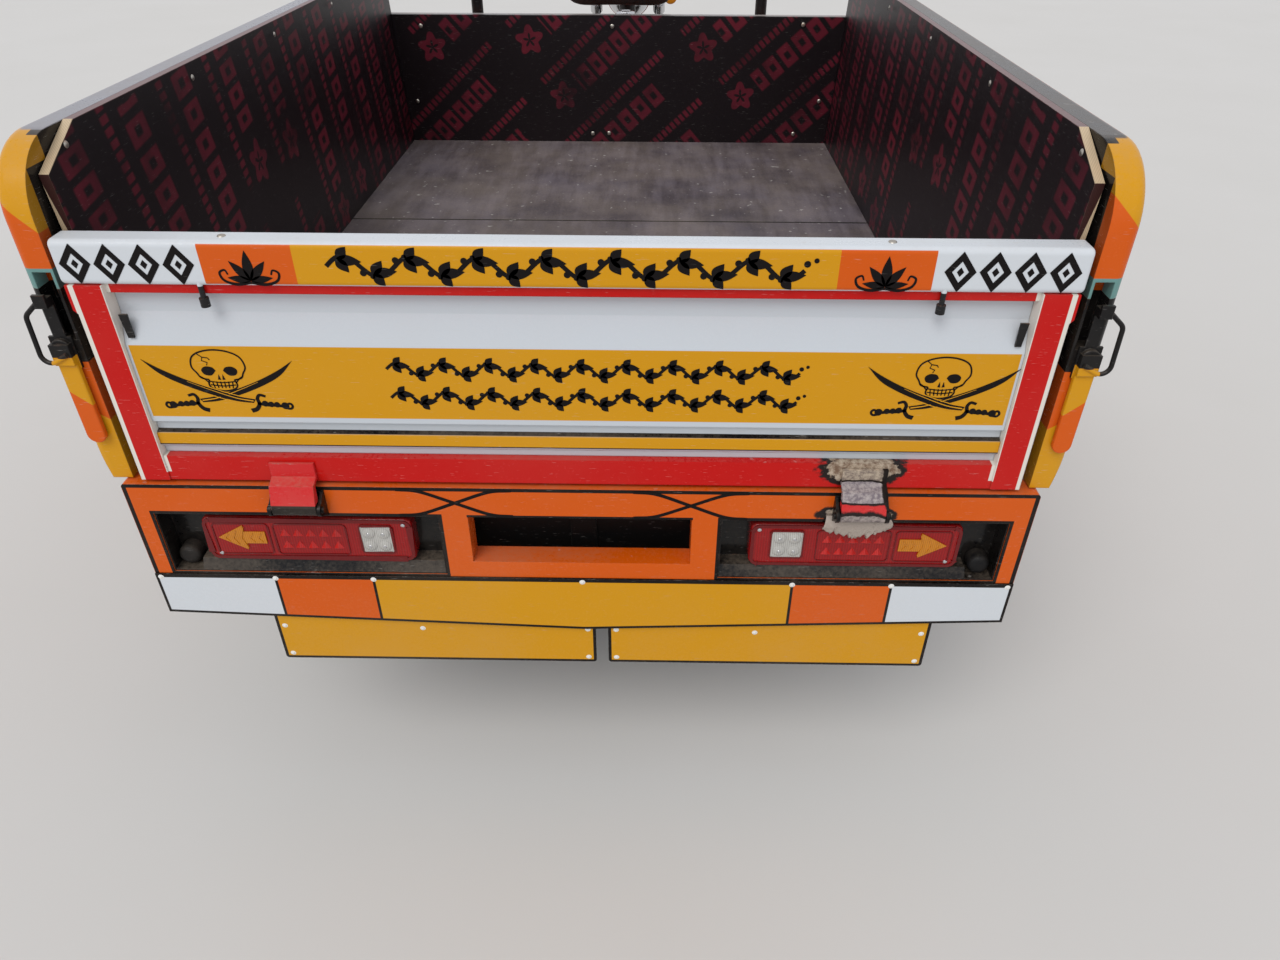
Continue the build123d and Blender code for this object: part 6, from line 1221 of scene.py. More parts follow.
def wall_paint(side: float) -> Paint:
    """The bed side's paint: flat fields with slanted joints on the rear end and the outer face, painted shade
    on the inner lip by the rear post, and a grey top band painted lighter on the left and darker on the right
    for how the light falls.
    """
    rear = (-FAR, -1.640)
    lip = across(side, 0.636, 0.6640)
    outer = ((X_AXIS, *across(side, 0.6895, 0.75)), (Y_AXIS, -1.55, 0.2))
    stripes = tuple(
        Line(colour, (0.0, 0.5, 0.866), start + low, start + high, outer)
        for start in (0.02, 0.56)
        for colour, low, high in (
            (YELLOW, 0.0, 0.22), (WHITE, 0.22, 0.232), (RED, 0.232, 0.28), (WHITE, 0.28, 0.292),
        )
    )
    return Paint(
        f"bed side paint {'right' if side > 0 else 'left'}", ORANGE, dust=0.22, fade=0.25,
        lines=(
            *stripes,
            Line(YELLOW, (0.707, 0.0, 0.707), 0.707 * (side * 0.6775 + 1.076), FAR, ((Y_AXIS, -FAR, -1.57),)),
            between(TEAL, y=rear, z=(0.976, 1.003)),
            between(tone(18, 17, 18), y=rear, z=POCKET_Z),
            between(tone(18, 17, 18), x=across(side, 0.655, 0.692), y=(-FAR, -1.565), z=POCKET_Z),
            Line(YELLOW, (-side * 0.55, 0.0, 0.835), -FAR, 0.835 * 0.800 - 0.55 * 0.6775, ((Y_AXIS, *rear),)),
            # Painted shade: the inner lip and the strip between the rear post and the lining are near-black for
            # the shadow in that gap.
            between(PITCH, x=lip, y=(-1.6430, -1.52), z=(0.88, 1.12)),
            between(PITCH, x=across(side, 0.636, 0.6500), y=(-FAR, -1.55), z=(0.0, 1.16)),
            between(PITCH, x=lip, y=(-1.600, -1.52), z=(1.10, 1.16)),
            # Painted light: the top band's grey is a painted highlight on the left wall and painted shade on
            # the right wall.
            between(tone(60, 56, 54) if side > 0 else tone(138, 138, 146), y=(-1.60, 0.2), z=WALL_TOP),
        ),
    )


FRONT_WALL_PAINT = Paint(
    "front wall paint", ORANGE, dust=0.4, lines=(between(tone(150, 146, 146), z=(1.0372, 1.2)),),
)
BLACK_ENAMEL = Paint("black enamel", tone(24, 24, 26), gloss=0.3, dust=0.6, fade=0.1, chips=0.4, coat=0.1)
SATIN_SHEET = Paint("satin black sheet", tone(16, 16, 18), gloss=0.4, dust=0.3, fade=0.1, chips=0.5, coat=0.0)
BRACKET_PAINT = Paint(
    "hinge bracket black", tone(10, 9, 9), gloss=0.3, dust=0.1, fade=0.0, chips=0.25, coat=0.1,
    tears=(Tear((0.408, -1.69, 0.640), (0.034, 0.05, 0.020), 0.9, tone(150, 140, 138), tone(84, 74, 76)),),
)
TRAY_PAINT = Paint("lamp tray black", tone(8, 8, 10), gloss=0.24, dust=0.42, fade=0.0, chips=0.3, coat=0.25)
# Near-black plate behind the bumper's middle window: partly a plate, partly painted shade for the dark under
# the bed.
SPLASH_SHADE_PAINT = Paint("splash plate black", tone(8, 8, 9), gloss=0.4, dust=0.04, fade=0.0, chips=0.0, coat=0.0)
SPRING_PAINT = Steel("dark spring steel", tone(74, 70, 66), rust=0.45, dust=1.1)
SILVER_ENAMEL = Paint("silver wheel enamel", tone(176, 178, 180), gloss=0.3, dust=0.9, fade=0.3, chips=0.5)
GREY_UNDERCOAT = Paint("grey undercoat", tone(128, 132, 134), gloss=0.5, dust=0.8, coat=0.0)
HEAT_BLACK = Paint("heat-proof black", tone(48, 44, 42), gloss=0.55, dust=0.8, chips=0.8, coat=0.0)
TANK_PAINT = Paint("tank red", tone(176, 12, 10), gloss=0.16, dust=0.3, fade=0.2, coat=0.35)
SEAT_BOX_PAINT = Paint("seat box orange", ORANGE)
ZINC = Steel("worn zinc", tone(190, 184, 174), rust=0.42)
CHROME = Steel("bright chrome", tone(216, 217, 219), rust=0.06, dust=0.2, polish=0.2)
MIRROR_GLASS = Steel("mirror glass", tone(206, 214, 220), rust=0.0, dust=0.1, polish=0.26)
ALLOY = Steel("cast alloy", tone(176, 176, 174), rust=0.02, dust=0.7)
CYLINDER_IRON = Steel("dark cast iron", tone(84, 82, 82), rust=0.25, dust=0.7)
TYRE_RUBBER = Plain("tyre rubber", tone(40, 40, 42), rough=0.75, dust=0.7, pebble=700.0, relief=0.3)
BUFFER_RUBBER = Plain("buffer rubber", tone(16, 16, 18), rough=0.45, dust=0.12, pebble=600.0)
TORN_FILM = Plain("torn film", tone(172, 160, 150), rough=0.8, dust=0.3, pebble=260.0, relief=0.6)
SOFT_RUBBER = Plain("soft rubber", tone(34, 34, 35), rough=0.65, dust=0.6, pebble=600.0)
BLACK_PLASTIC = Plain("moulded black plastic", tone(34, 34, 36), rough=0.42, dust=0.5, relief=0.15)
SEAT_VINYL = Plain("seat vinyl", tone(38, 35, 35), rough=0.42, dust=0.22, pebble=520.0, relief=0.45)
WHITE_DECAL = Plain("white stripe film", WHITE, rough=0.25, dust=0.2, relief=0.02)
INK_PAINT = Plain("dark sign paint", INK, rough=0.45, dust=0.02, relief=0.02, fade=0.0)
BAND_YELLOW = Plain("band yellow", YELLOW, rough=0.3, dust=0.1, relief=0.02)
RIVET_HEAD = Plain("white rivet head", tone(226, 226, 222), rough=0.3, dust=0.3, relief=0.05)
NEEDLE_RED = Plain("needle red", RED, rough=0.4, dust=0.05, relief=0.02)
RED_LENS = Lens("red lens", tone(166, 10, 14))
BRIGHT_LENS = Lens("bright red lens", tone(222, 44, 40), rib=0.002)
DEEP_LENS = Lens("deep red lens", tone(122, 6, 12), rib=0.002)
AMBER_LENS = Lens("amber lens", tone(222, 140, 30), rib=0.003)
CLEAR_LENS = Lens("clear lens", tone(206, 204, 198), rib=0.003)
HEADLAMP_GLASS = Lens("headlamp glass", tone(158, 164, 168), rough=0.06, rib=0.007, coat=0.8)
LINING = Film(
    "film-faced plywood",
    sawn=(
        between(tone(126, 96, 96), y=(-1.539, 0.05), z=(1.1513, 1.2)),
        Line(SAWN_PLY, (0.0, -0.4311, 0.9023), 1.7022, 3.0),
        between(SAWN_PLY, y=LINING_END[1:], z=(0.0, 1.2)),
        *(Line(tone(60, 32, 30), (side, *LINING_LEAN), -3.0, 0.4501,
               (LINING_END, ((side, 0.0, 0.0), 0.0, FAR)))
          for side in (1.0, -1.0)),
    ),
)
FLOOR_BOARD = WornBoard("worn floor board")

NODE_FINISHES: tuple[tuple[object, str], ...] = (
    (TYRE_RUBBER, "rear_tyre_right rear_tyre_left front_tyre"),
    (SILVER_ENAMEL, "rear_wheel_right rear_wheel_left front_wheel"),
    (BLACK_ENAMEL, "rear_axle spring_mounts ladder_frame front_frame propeller_shaft guard_hoop"),
    (BLACK_ENAMEL, "fork_yokes"),
    (SATIN_SHEET, "plate_straps footboards pedals rear_mudguards"),
    (BLACK_PLASTIC, "intake hand_levers mirrors instrument"),
    (SOFT_RUBBER, "fork_gaiters hand_grips"), (BUFFER_RUBBER, "buffers"), (SEAT_VINYL, "seat_cushion backrest"),
    (SPRING_PAINT, "leaf_springs axle_clamps"), (ALLOY, "engine_case fork_sliders"),
    (CYLINDER_IRON, "engine_cylinder"), (CHROME, "fork_tubes handlebar headlamp"),
    (TANK_PAINT, "fuel_tank front_mudguard"), (SEAT_BOX_PAINT, "seat_box"), (HEAT_BLACK, "exhaust"),
    (GREY_UNDERCOAT, "bed_floor"), (FLOOR_BOARD, "floor_boards"), (FRONT_WALL_PAINT, "front_wall"),
    (wall_paint(1.0), "side_wall_right"), (wall_paint(-1.0), "side_wall_left"), (LINING, "bed_linings"),
    (GATE_PAINT, "tailgate_frame"), (PANEL_PAINT, "tailgate_panel"), (RAIL_PAINT, "tailgate_rail"),
    (LEAF_PAINT, "hinge_leaves"), (BRACKET_PAINT, "hinge_brackets"), (BUMPER_PAINT, "bumper_frame"),
    (TRAY_PAINT, "lamp_trays"), (RED_LENS, "tail_lamps"), (SIGN_PAINT, "sign_board"),
    (PLATE_PAINT, "plate_boards"), (LATCH_PAINT, "corner_latches"), (HEADLAMP_GLASS, "headlamp_glass"),
    (AMBER_LENS, "front_indicators"),
)


@dataclass
class Tailgate:
    """The drop gate's painted emblems, leaf scrolls and line work."""

    dressing: Dressing
    band_y: float = -1.6691
    rail_y: float = -1.6751
    tab_y: float = -1.6660
    emblem_x: tuple[float, float] = (-0.475, 0.490)
    emblem_z: float = 0.832
    scroll_x: tuple[float, float] = (-0.25, 0.30)
    scroll_z: tuple[float, float] = (0.868, 0.824)
    vine_x: tuple[float, float] = (-0.30, 0.29)
    fan: tuple[float, float, float] = (-0.398, 0.391, 1.002)
    lozenge_x: tuple[float, float] = (-0.548, 0.545)
    lozenge_pitch: float = 0.043
    rail_z: float = 1.014
    stud_x: tuple[float, float] = (-0.430, 0.397)

    def build(self) -> None:
        """Adds the emblems and scrolls to the yellow band, and the ornaments and studs to the rail."""
        band, rail = rear_plane(self.band_y), rear_plane(self.rail_y)
        emblems, rows, ornaments, studs = Shell(), Shell(), Shell(), Shell()
        for x in self.emblem_x:
            Emblem(emblems, (x, self.emblem_z), band).draw()
        for z in self.scroll_z:
            vine(rows, band, self.scroll_x, z, 0.0098, 9)
        vine(ornaments, rail, self.vine_x, self.rail_z, 0.0135, 7)
        for x in self.fan[:2]:
            self.leaf_fan(ornaments, rail, x, self.fan[2])
        for x in self.lozenge_x:
            for k in (-1.5, -0.5, 0.5, 1.5):
                self.lozenge(ornaments, rail, x + k * self.lozenge_pitch, self.rail_z)
        for x in self.stud_x:
            dome(np.array((x, -1.655, 1.044)), (0.0, 0.0, 1.0), 5.5 * MM, 2.2 * MM, studs)
        for side in (-1.0, 1.0):
            tab = np.array([(0.574, 0.910), (0.582, 0.910), (0.585, 0.943), (0.574, 0.943)])
            studs.plate(ordered(tab * np.array((side, 1.0))), rear_plane(self.tab_y), 3.0 * MM, finish=1)
        for name, shell, finishes, slot, smooth in (
            ("gate_emblems", emblems, (INK_PAINT, BAND_YELLOW), "black_sheet", None),
            ("gate_scrolls", rows, (INK_PAINT,), "black_sheet", None),
            ("rail_ornaments", ornaments, (INK_PAINT,), "black_sheet", None),
            ("rail_studs", studs, (ZINC, BLACK_ENAMEL), "zinc_steel", 40.0),
        ):
            self.dressing.make(shell, name, finishes, Body.TAILGATE, slot, smooth)

    def leaf_fan(self, shell: Shell, plane: Plane, x: float, z: float) -> None:
        """Five pointed leaves that fan out of one foot, over two curls."""
        for turn, size in ((8, 0.8), (49, 0.95), (90, 1.1), (131, 0.95), (172, 0.8)):
            shell.plate(leaf((x, z - 0.008), turn, 0.036 * size, 0.012 * size, 0.0), plane, PAINT_LIFT)
        for side in (-1.0, 1.0):
            curl = curve([(0, -10), (18, -13), (33, -8), (37, 2), (30, 6), (27, 0)], 26) * MM
            path = curl * np.array((side, 1.0)) + np.array((x, z))
            shell.stroke(path, np.linspace(4.2, 2.0, 26) * MM, plane, PAINT_LIFT)

    def lozenge(self, shell: Shell, plane: Plane, x: float, z: float) -> None:
        """A bold lozenge ring with a small lozenge in it."""
        ring = np.array([(0, 20), (-15, 0), (0, -20), (15, 0)]) * MM + np.array((x, z))
        shell.stroke(ring, 7.5 * MM, plane, PAINT_LIFT, closed=True)
        heart = np.array([(0, 6), (-4.5, 0), (0, -6), (4.5, 0)]) * MM + np.array((x, z))
        shell.plate(heart, plane, PAINT_LIFT)


def rounded(centre: tuple[float, float], half: tuple[float, float], corner: float,
            count: int = 6) -> np.ndarray:
    """A rectangle with round corners: four quarter turns, joined by its straight sides.

    Each turn's last point is there twice, which keeps its end square in a stroke.
    """
    parts = []
    for k, (sx, sz) in enumerate(((1, 1), (-1, 1), (-1, -1), (1, -1))):
        middle = (centre[0] + sx * (half[0] - corner), centre[1] + sz * (half[1] - corner))
        arc = circle(middle, corner, count, start=90.0 * k, sweep=90.0)
        parts += [arc, arc[-1:]]
    return np.vstack(parts)


@dataclass
class TailLamps:
    """What the two tail lamps show behind their lenses: arrow, cones, reversing light and screws."""

    dressing: Dressing
    face: Plane = field(default_factory=lambda: rear_plane(-1.6673))
    middle: tuple[float, float] = (0.414, 0.5723)
    half: tuple[float, float] = (0.159, 0.040)
    arrow_x: tuple[float, float] = (0.480, 0.552)
    cone_x: tuple[float, float] = (0.362, 0.460)
    clear: tuple[float, float] = (0.3108, 0.5745)

    def build(self) -> None:
        """Adds the details of both lamps, mirrored across the machine."""
        shell = Shell()
        for side in (-1.0, 1.0):
            self.lamp(shell, side)
        finishes = (DEEP_LENS, BRIGHT_LENS, AMBER_LENS, CLEAR_LENS, CHROME)
        self.dressing.make(shell, "lamp_details", finishes, Body.CHASSIS, "lamp_red", smooth=30.0)

    def flat(self, points: list | np.ndarray, side: float) -> np.ndarray:
        """Mirrors an outline to its side and turns it left again."""
        return ordered(np.asarray(points, float) * np.array((side, 1.0)))

    def frame(self, shell: Shell, outline: np.ndarray, side: float, width: float, lift: float) -> None:
        """A closed raised line of deep red, its width and height in millimetres."""
        shell.stroke(self.flat(outline, side), width * MM, self.face, lift * MM, closed=True)

    def lamp(self, shell: Shell, side: float) -> None:
        """One lamp: a raised rim, two framed zones, what they hold, and the reversing light."""
        face, z = self.face, self.middle[1]
        rim = rounded(self.middle, (self.half[0] - 0.004, self.half[1] - 0.004), 0.010)
        self.frame(shell, rim, side, 5.0, 1.6)
        for low, high in (self.arrow_x, self.cone_x):
            zone = rounded(((low + high) / 2, z), ((high - low) / 2 + 0.006, 0.029), 0.006)
            self.frame(shell, zone, side, 1.6, 1.2)
        self.arrow(shell, side)
        for k in range(5):
            x = self.cone_x[0] + (k + 0.5) * (self.cone_x[1] - self.cone_x[0]) / 5
            for up in (-0.0125, 0.0105):
                self.cone(shell, (side * x, z + up), 9.4 * MM)
        self.reverse(shell, side)
        for x, up in ((0.556, -0.029), (0.268, 0.029)):
            seat = face.point(np.array([(side * x, z + up)]), 0.0)[0]
            dome(seat, face.out, 3.6 * MM, 1.8 * MM, shell, finish=4)

    def arrow(self, shell: Shell, side: float) -> None:
        """The direction arrow: a shaft and a head of amber, with raised chevrons along it."""
        low, high = self.arrow_x
        z = self.middle[1] + 0.003
        neck = low + 0.44 * (high - low)
        outline = [(low, z - 0.011), (neck, z - 0.011), (neck, z - 0.023), (high, z), (neck, z + 0.023),
                   (neck, z + 0.011), (low, z + 0.011)]
        shell.plate(self.flat(outline, side), self.face, 1.8 * MM, finish=2)
        for k in range(5):
            x = low + 0.006 + k * 0.0125
            up = 0.008 if x < neck - 0.004 else 0.019 * (high - x) / (high - neck)
            line = np.array([(x, z - up), (x + 0.006, z), (x, z + up)]) * np.array((side, 1.0))
            shell.stroke(line, 1.8 * MM, self.face, 2.7 * MM, finish=2)

    def cone(self, shell: Shell, centre: tuple[float, float], size: float) -> None:
        """A three-sided pyramid: its foot is a triangle, and each side rises to one point."""
        foot = circle(centre, size, 3, start=90.0)
        tip = np.array(centre) + (foot - np.array(centre)) * 0.06
        grid = np.stack([self.face.point(foot, 0.0), self.face.point(tip, 6.0 * MM)])
        shell.grid(grid[::-1], wrap_v=True, ends=True, finish=1)

    def reverse(self, shell: Shell, side: float) -> None:
        """The clear reversing light: a square window with four bulging cells."""
        face, (x, z) = self.face, self.clear
        square = rounded((x, z), (0.0245, 0.0255), 0.004)
        shell.plate(self.flat(square, side), face, 1.4 * MM, finish=3)
        self.frame(shell, square, side, 2.2, 2.4)
        for dx in (-0.0112, 0.0112):
            for dz in (-0.0118, 0.0118):
                seat = face.point(np.array([(side * (x + dx), z + dz)]), 1.4 * MM)[0]
                dome(seat, face.out, 9.8 * MM, 3.4 * MM, shell, finish=3, rings=6, sides=20)
                dome(seat + face.out * 3.2 * MM, face.out, 3.0 * MM, 1.1 * MM, shell, finish=4)


@dataclass
class Trim:
    """Line work, rivets and screws on the bumper, the signs and the linings."""

    dressing: Dressing
    splash_y: float = -1.6105
    splash_half: float = 0.250
    splash_z: tuple[float, float] = (0.430, 0.6400)
    film_x: float = 0.362
    film_y: float = -1.6790
    film_z: tuple[float, float] = (0.613, 0.6385)
    film_width: float = 0.090
    stripe_y: float = -1.67805
    stripes: tuple[float, float, float] = (-0.182, 0.163, 0.6525)
    sign_y: float = -1.6803
    plate_y: float = -1.6743
    sign_rivets: tuple[float, ...] = (-0.657, -0.478, -0.325, 0.0, 0.325, 0.478, 0.657)
    plate_rivets: tuple = (
        (-0.247, 0.333), (0.247, 0.333), (-0.247, 0.396), (0.247, 0.396), (-0.022, 0.394),
    )
    front_y: float = 0.055
    screw_z: float = 1.132
    front_screws: tuple = (
        (-0.550, 1.010), (-0.016, 1.012), (0.514, 1.019), (-0.586, 0.811), (0.581, 0.819),
        (-0.077, 0.724), (-0.029, 0.725), (0.515, 0.727),
    )

    def build(self) -> None:
        """Adds every kind."""
        self.splash_plate()
        self.torn_film()
        self.pinstripes()
        self.rivets()
        self.screws()

    def splash_plate(self) -> None:
        """A black steel sheet that hangs from the rear cross tube behind the bumper's window. Its near-black
        paint is also painted shade: it stands for the deep shade under the bed seen through the window.
        """
        shell = Shell()
        face = rear_plane(self.splash_y)
        half, (foot, top) = self.splash_half, self.splash_z
        sheet = np.array([(-half, foot + 0.02), (-half + 0.03, foot), (half - 0.03, foot),
                          (half, foot + 0.02), (half, top), (-half, top)])
        shell.plate(sheet, face, 2.0 * MM)
        for low, high in ((-0.020, 0.020), (-half + 0.002, -half + 0.018), (half - 0.018, half - 0.002)):
            strap = np.array([(low, foot + 0.022), (high, foot + 0.022), (high, top), (low, top)])
            shell.plate(strap, face, 8.0 * MM)
        piece = self.dressing.make(
            shell, "splash_plate", (SPLASH_SHADE_PAINT,), Body.CHASSIS, "black_sheet", smooth=None,
        )
        edge = piece.modifiers.new("edge", "BEVEL")
        edge.width, edge.segments, edge.limit_method = 0.8 * MM, 2, "ANGLE"

    def torn_film(self) -> None:
        """A ragged scrap of old film that hangs from the right hinge over the lamp.

        Its foot wanders by seeded random steps, and it bulges by the sine of its height.
        """
        rng = np.random.default_rng(7)
        rows, cols = 14, 36
        share = np.linspace(0, 1, cols)
        down = np.linspace(0, 1, rows)[:, None]
        bulge = np.sin(math.pi * down)
        foot, top = self.film_z
        x = self.film_x + (self.film_width + 0.010 * bulge) * share[None, :] - 0.004 * down
        foot = foot - 0.011 * np.sin(math.pi * share) + 0.0035 * rng.standard_normal(cols)
        z = top + (foot[None, :] - top) * down
        y = self.film_y - 0.0045 * bulge - 0.0010 * rng.standard_normal((rows, cols)) * down
        shell = Shell()
        shell.grid(np.stack([x, y, z], -1))
        piece = self.dressing.make(shell, "torn_film", (TORN_FILM,), Body.CHASSIS, "black_sheet")
        thick = piece.modifiers.new("thickness", "SOLIDIFY")
        thick.thickness, thick.offset = 0.8 * MM, 0.0

    def pinstripes(self) -> None:
        """Two pairs of thin curved lines that cross above the bumper's inner posts."""
        shell = Shell()
        face = rear_plane(self.stripe_y)
        line = curve([(-84, 23.5), (-50, 20.0), (0, 0), (50, -20.0), (84, -23.5)], 50) * MM
        for middle in self.stripes[:2]:
            for flip in (-1.0, 1.0):
                path = line * np.array((1.0, flip)) + np.array((middle, self.stripes[2]))
                shell.stroke(path, 5.4 * MM, face, (0.3 + 0.1 * flip) * MM)
        self.dressing.make(
            shell, "bumper_pinstripes", (INK_PAINT,), Body.CHASSIS, "black_sheet", smooth=None,
        )

    def rivets(self) -> None:
        """Domed rivets with flat collars along the sign board and on the plates."""
        shell = Shell()
        board, plate = rear_plane(self.sign_y), rear_plane(self.plate_y)
        spots = [(board, x, 0.5035) for x in self.sign_rivets]
        spots += [(plate, middle + x, z) for middle in PLATE_X for x, z in self.plate_rivets]
        for face, x, z in spots:
            seat = face.point(np.array([(x, z)]), 0.0)[0]
            dome(seat, face.out, 4.6 * MM, 0.5 * MM, shell, rings=3, sides=14)
            dome(seat, face.out, 3.0 * MM, 2.0 * MM, shell, rings=5, sides=14)
        self.dressing.make(shell, "sign_rivets", (RIVET_HEAD,), Body.CHASSIS, "zinc_steel")

    def screws(self) -> None:
        """Washer-headed screws that hold the linings."""
        shell = Shell()
        for x, z in self.front_screws:
            dome(np.array((x, self.front_y, z)), (0.0, -1.0, 0.0), 6.0 * MM, 2.0 * MM, shell)
        for side in (-1.0, 1.0):
            for y in np.linspace(-1.58, -0.06, 5):
                seat = np.array((side * self.lining_x(self.screw_z), y, self.screw_z))
                dome(seat, (-side, 0.0, 0.08), 4.8 * MM, 1.8 * MM, shell)
        self.dressing.make(shell, "lining_screws", (ZINC,), Body.CHASSIS, "zinc_steel")

    @staticmethod
    def lining_x(z: float) -> float:
        """How far out a side lining's inner face is at a height, by its straight lean."""
        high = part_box("bed_linings")[1]
        foot, top = 0.611, high.x - 0.018
        return foot + (top - foot) * (z - 0.70) / (high.z - 0.70)


@dataclass
class Cockpit:
    """What the rider sees and what faces the road ahead: mirrors, dial, filler cap and headlamp glass."""

    dressing: Dressing
    mirror_half: tuple[float, float] = (59 * MM, 40 * MM)
    mirror_foot: float = 1.300
    dial_radius: float = 34 * MM
    cap_radius: float = 30 * MM
    flutes: int = 22

    def build(self) -> None:
        """Adds all four kinds."""
        self.mirror_glasses()
        self.dial()
        self.filler_cap()
        self.headlamp_lens()

    def spots(self, node: str) -> np.ndarray:
        """The points of a CAD node's mesh as an (n, 3) array."""
        mesh = self.dressing.nodes[node].data
        points = np.empty(len(mesh.vertices) * 3)
        mesh.vertices.foreach_get("co", points)
        return points.reshape(-1, 3)

    def mirror_glasses(self) -> None:
        """A glass in each mirror: an ellipse that bulges by the square of its share, with a thin frame."""
        head = self.spots("mirrors")
        head = head[head[:, 2] > self.mirror_foot]
        wide, high = self.mirror_half
        shell = Shell()
        for side in (-1.0, 1.0):
            own = head[head[:, 0] * side > 0]
            middle = (own.min(0) + own.max(0)) / 2
            face = Plane((float(middle[0]), float(own[:, 1].min()), float(middle[2])), X_AXIS, Z_AXIS)
            share = np.linspace(1.0, 0.02, 10)[:, None]
            turn = np.linspace(0, math.tau, 48, endpoint=False)[None, :]
            flat = np.stack([share * wide * np.cos(turn), share * high * np.sin(turn)], -1)
            lift = 0.4 * MM + 1.2 * MM * (1 - share**2) * np.ones_like(turn)
            grid = face.point(flat.reshape(-1, 2), 0.0).reshape(10, 48, 3) + lift[..., None] * face.out
            shell.grid(grid, wrap_v=True, ends=True)
            frame = circle((0.0, 0.0), (wide + 1.6 * MM, high + 1.6 * MM), 48)
            shell.stroke(frame, 3.4 * MM, face, 2.2 * MM, closed=True, finish=1)
        self.dressing.make(
            shell, "mirror_glasses", (MIRROR_GLASS, BLACK_PLASTIC), Body.STEERING, "chrome_trim",
        )

    def dial_plane(self) -> Plane:
        """The instrument's top face: the direction in which most of its upward area looks."""
        mesh = self.dressing.nodes["instrument"].data
        count = len(mesh.polygons)
        normals, areas, centres = np.empty(count * 3), np.empty(count), np.empty(count * 3)
        mesh.polygons.foreach_get("normal", normals)
        mesh.polygons.foreach_get("area", areas)
        mesh.polygons.foreach_get("center", centres)
        normals, centres = normals.reshape(-1, 3), centres.reshape(-1, 3)
        keys, group = np.unique(np.round(normals, 3), axis=0, return_inverse=True)
        total = np.bincount(group.ravel(), areas * (normals[:, 2] > 0.3))
        best = group.ravel() == int(total.argmax())
        out = np.average(normals[best], axis=0, weights=areas[best])
        middle = np.average(centres[best], axis=0, weights=areas[best])
        up = np.cross(out, X_AXIS)
        up /= np.linalg.norm(up)
        return Plane(tuple(middle), X_AXIS, tuple(up))

    def dial(self) -> None:
        """A speed dial: a dark disc, a chrome ring, ticks round three quarters of it, a needle and a hub."""
        face = self.dial_plane()
        shell = Shell()
        shell.plate(circle((0.0, 0.0), self.dial_radius - 2 * MM, 48), face, 0.6 * MM, finish=0)
        shell.stroke(circle((0.0, 0.0), self.dial_radius, 56), 4.0 * MM, face, 2.6 * MM, closed=True, finish=1)
        for k in range(25):
            start, width = (0.70, 1.4) if k % 4 == 0 else (0.78, 0.7)
            tick = self.ray(np.linspace(start, 0.88, 3), 225 - 11.25 * k)
            shell.stroke(tick, width * MM, face, 0.9 * MM, finish=2)
        needle = self.ray(np.linspace(-0.15, 0.72, 4), 222)
        shell.stroke(needle, np.array((2.2, 1.9, 1.4, 0.7)) * MM, face, 1.3 * MM, finish=3)
        dome(face.point(np.zeros((1, 2)), 0.6 * MM)[0], face.out, 3.2 * MM, 1.6 * MM, shell, finish=1)
        finishes = (INK_PAINT, CHROME, WHITE_DECAL, NEEDLE_RED)
        self.dressing.make(shell, "speed_dial", finishes, Body.STEERING, "chrome_trim")

    def ray(self, shares: np.ndarray, angle: float) -> np.ndarray:
        """Points at these shares of the dial's radius, at an angle in degrees."""
        turn = math.radians(angle)
        return shares[:, None] * np.array((math.cos(turn), math.sin(turn))) * self.dial_radius

    def filler_cap(self) -> None:
        """A chromed cap over the tank's neck, turned from a profile, whose skirt is fluted by a cosine."""
        points = self.spots("fuel_tank")
        top = points[:, 2].max()
        own = points[points[:, 2] > top - 0.004]
        x, y = float(own[:, 0].mean()), float((own[:, 1].min() + own[:, 1].max()) / 2)
        profile = np.array([(1.0, -16), (1.06, -15), (1.06, -3), (1.0, 1.2), (0.86, 2.6), (0.62, 2.8),
                            (0.55, 1.6), (0.20, 1.4), (0.02, 1.4)])
        turn = np.linspace(0, math.tau, 96, endpoint=False)[None, :]
        skirt = np.array((0.0, 1.0, 1.0, 0.3, 0, 0, 0, 0, 0))[:, None]
        reach = self.cap_radius * profile[:, :1] + 0.7 * MM * skirt * np.cos(24 * turn)
        grid = np.stack([x + reach * np.cos(turn), y + reach * np.sin(turn),
                         top + profile[:, 1:] * MM + 0 * turn], -1)
        shell = Shell()
        shell.grid(grid, wrap_v=True, ends=True)
        self.dressing.make(shell, "filler_cap", (CHROME,), Body.CHASSIS, "chrome_trim", smooth=35.0)

    def headlamp_lens(self) -> None:
        """The headlamp's glass: a shallow dome with upright flutes, thick at its foot like moulded glass.

        Its height is the dome's, which falls with the square of the radius, plus a cosine of x that fades
        towards the rim.
        """
        low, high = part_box("headlamp_glass")
        middle = (low + high) / 2
        radius = (high.x - low.x) / 2
        share = np.concatenate([[1.0, 1.0], np.linspace(0.98, 0.02, 26)])[:, None]
        turn = np.linspace(0, math.tau, 120, endpoint=False)[None, :]
        x, z = radius * share * np.cos(turn), radius * share * np.sin(turn)
        crown = (high.y - low.y - 5 * MM) * (1 - share**2)
        ribs = 0.8 * MM * np.cos(x / radius * math.pi * self.flutes / 2) * np.clip((0.94 - share) * 12, 0, 1)
        lift = 4.2 * MM + crown + ribs
        lift[0] = 0.0
        shell = Shell()
        grid = np.stack([middle.x + x, low.y + np.minimum(lift, high.y - low.y), middle.z + z], -1)
        shell.grid(grid[:, ::-1], wrap_v=True, ends=True)
        piece = self.dressing.make(
            shell, "headlamp_lens", (HEADLAMP_GLASS,), Body.STEERING, "lamp_glass", smooth=50.0,
        )
        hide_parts("headlamp_glass")


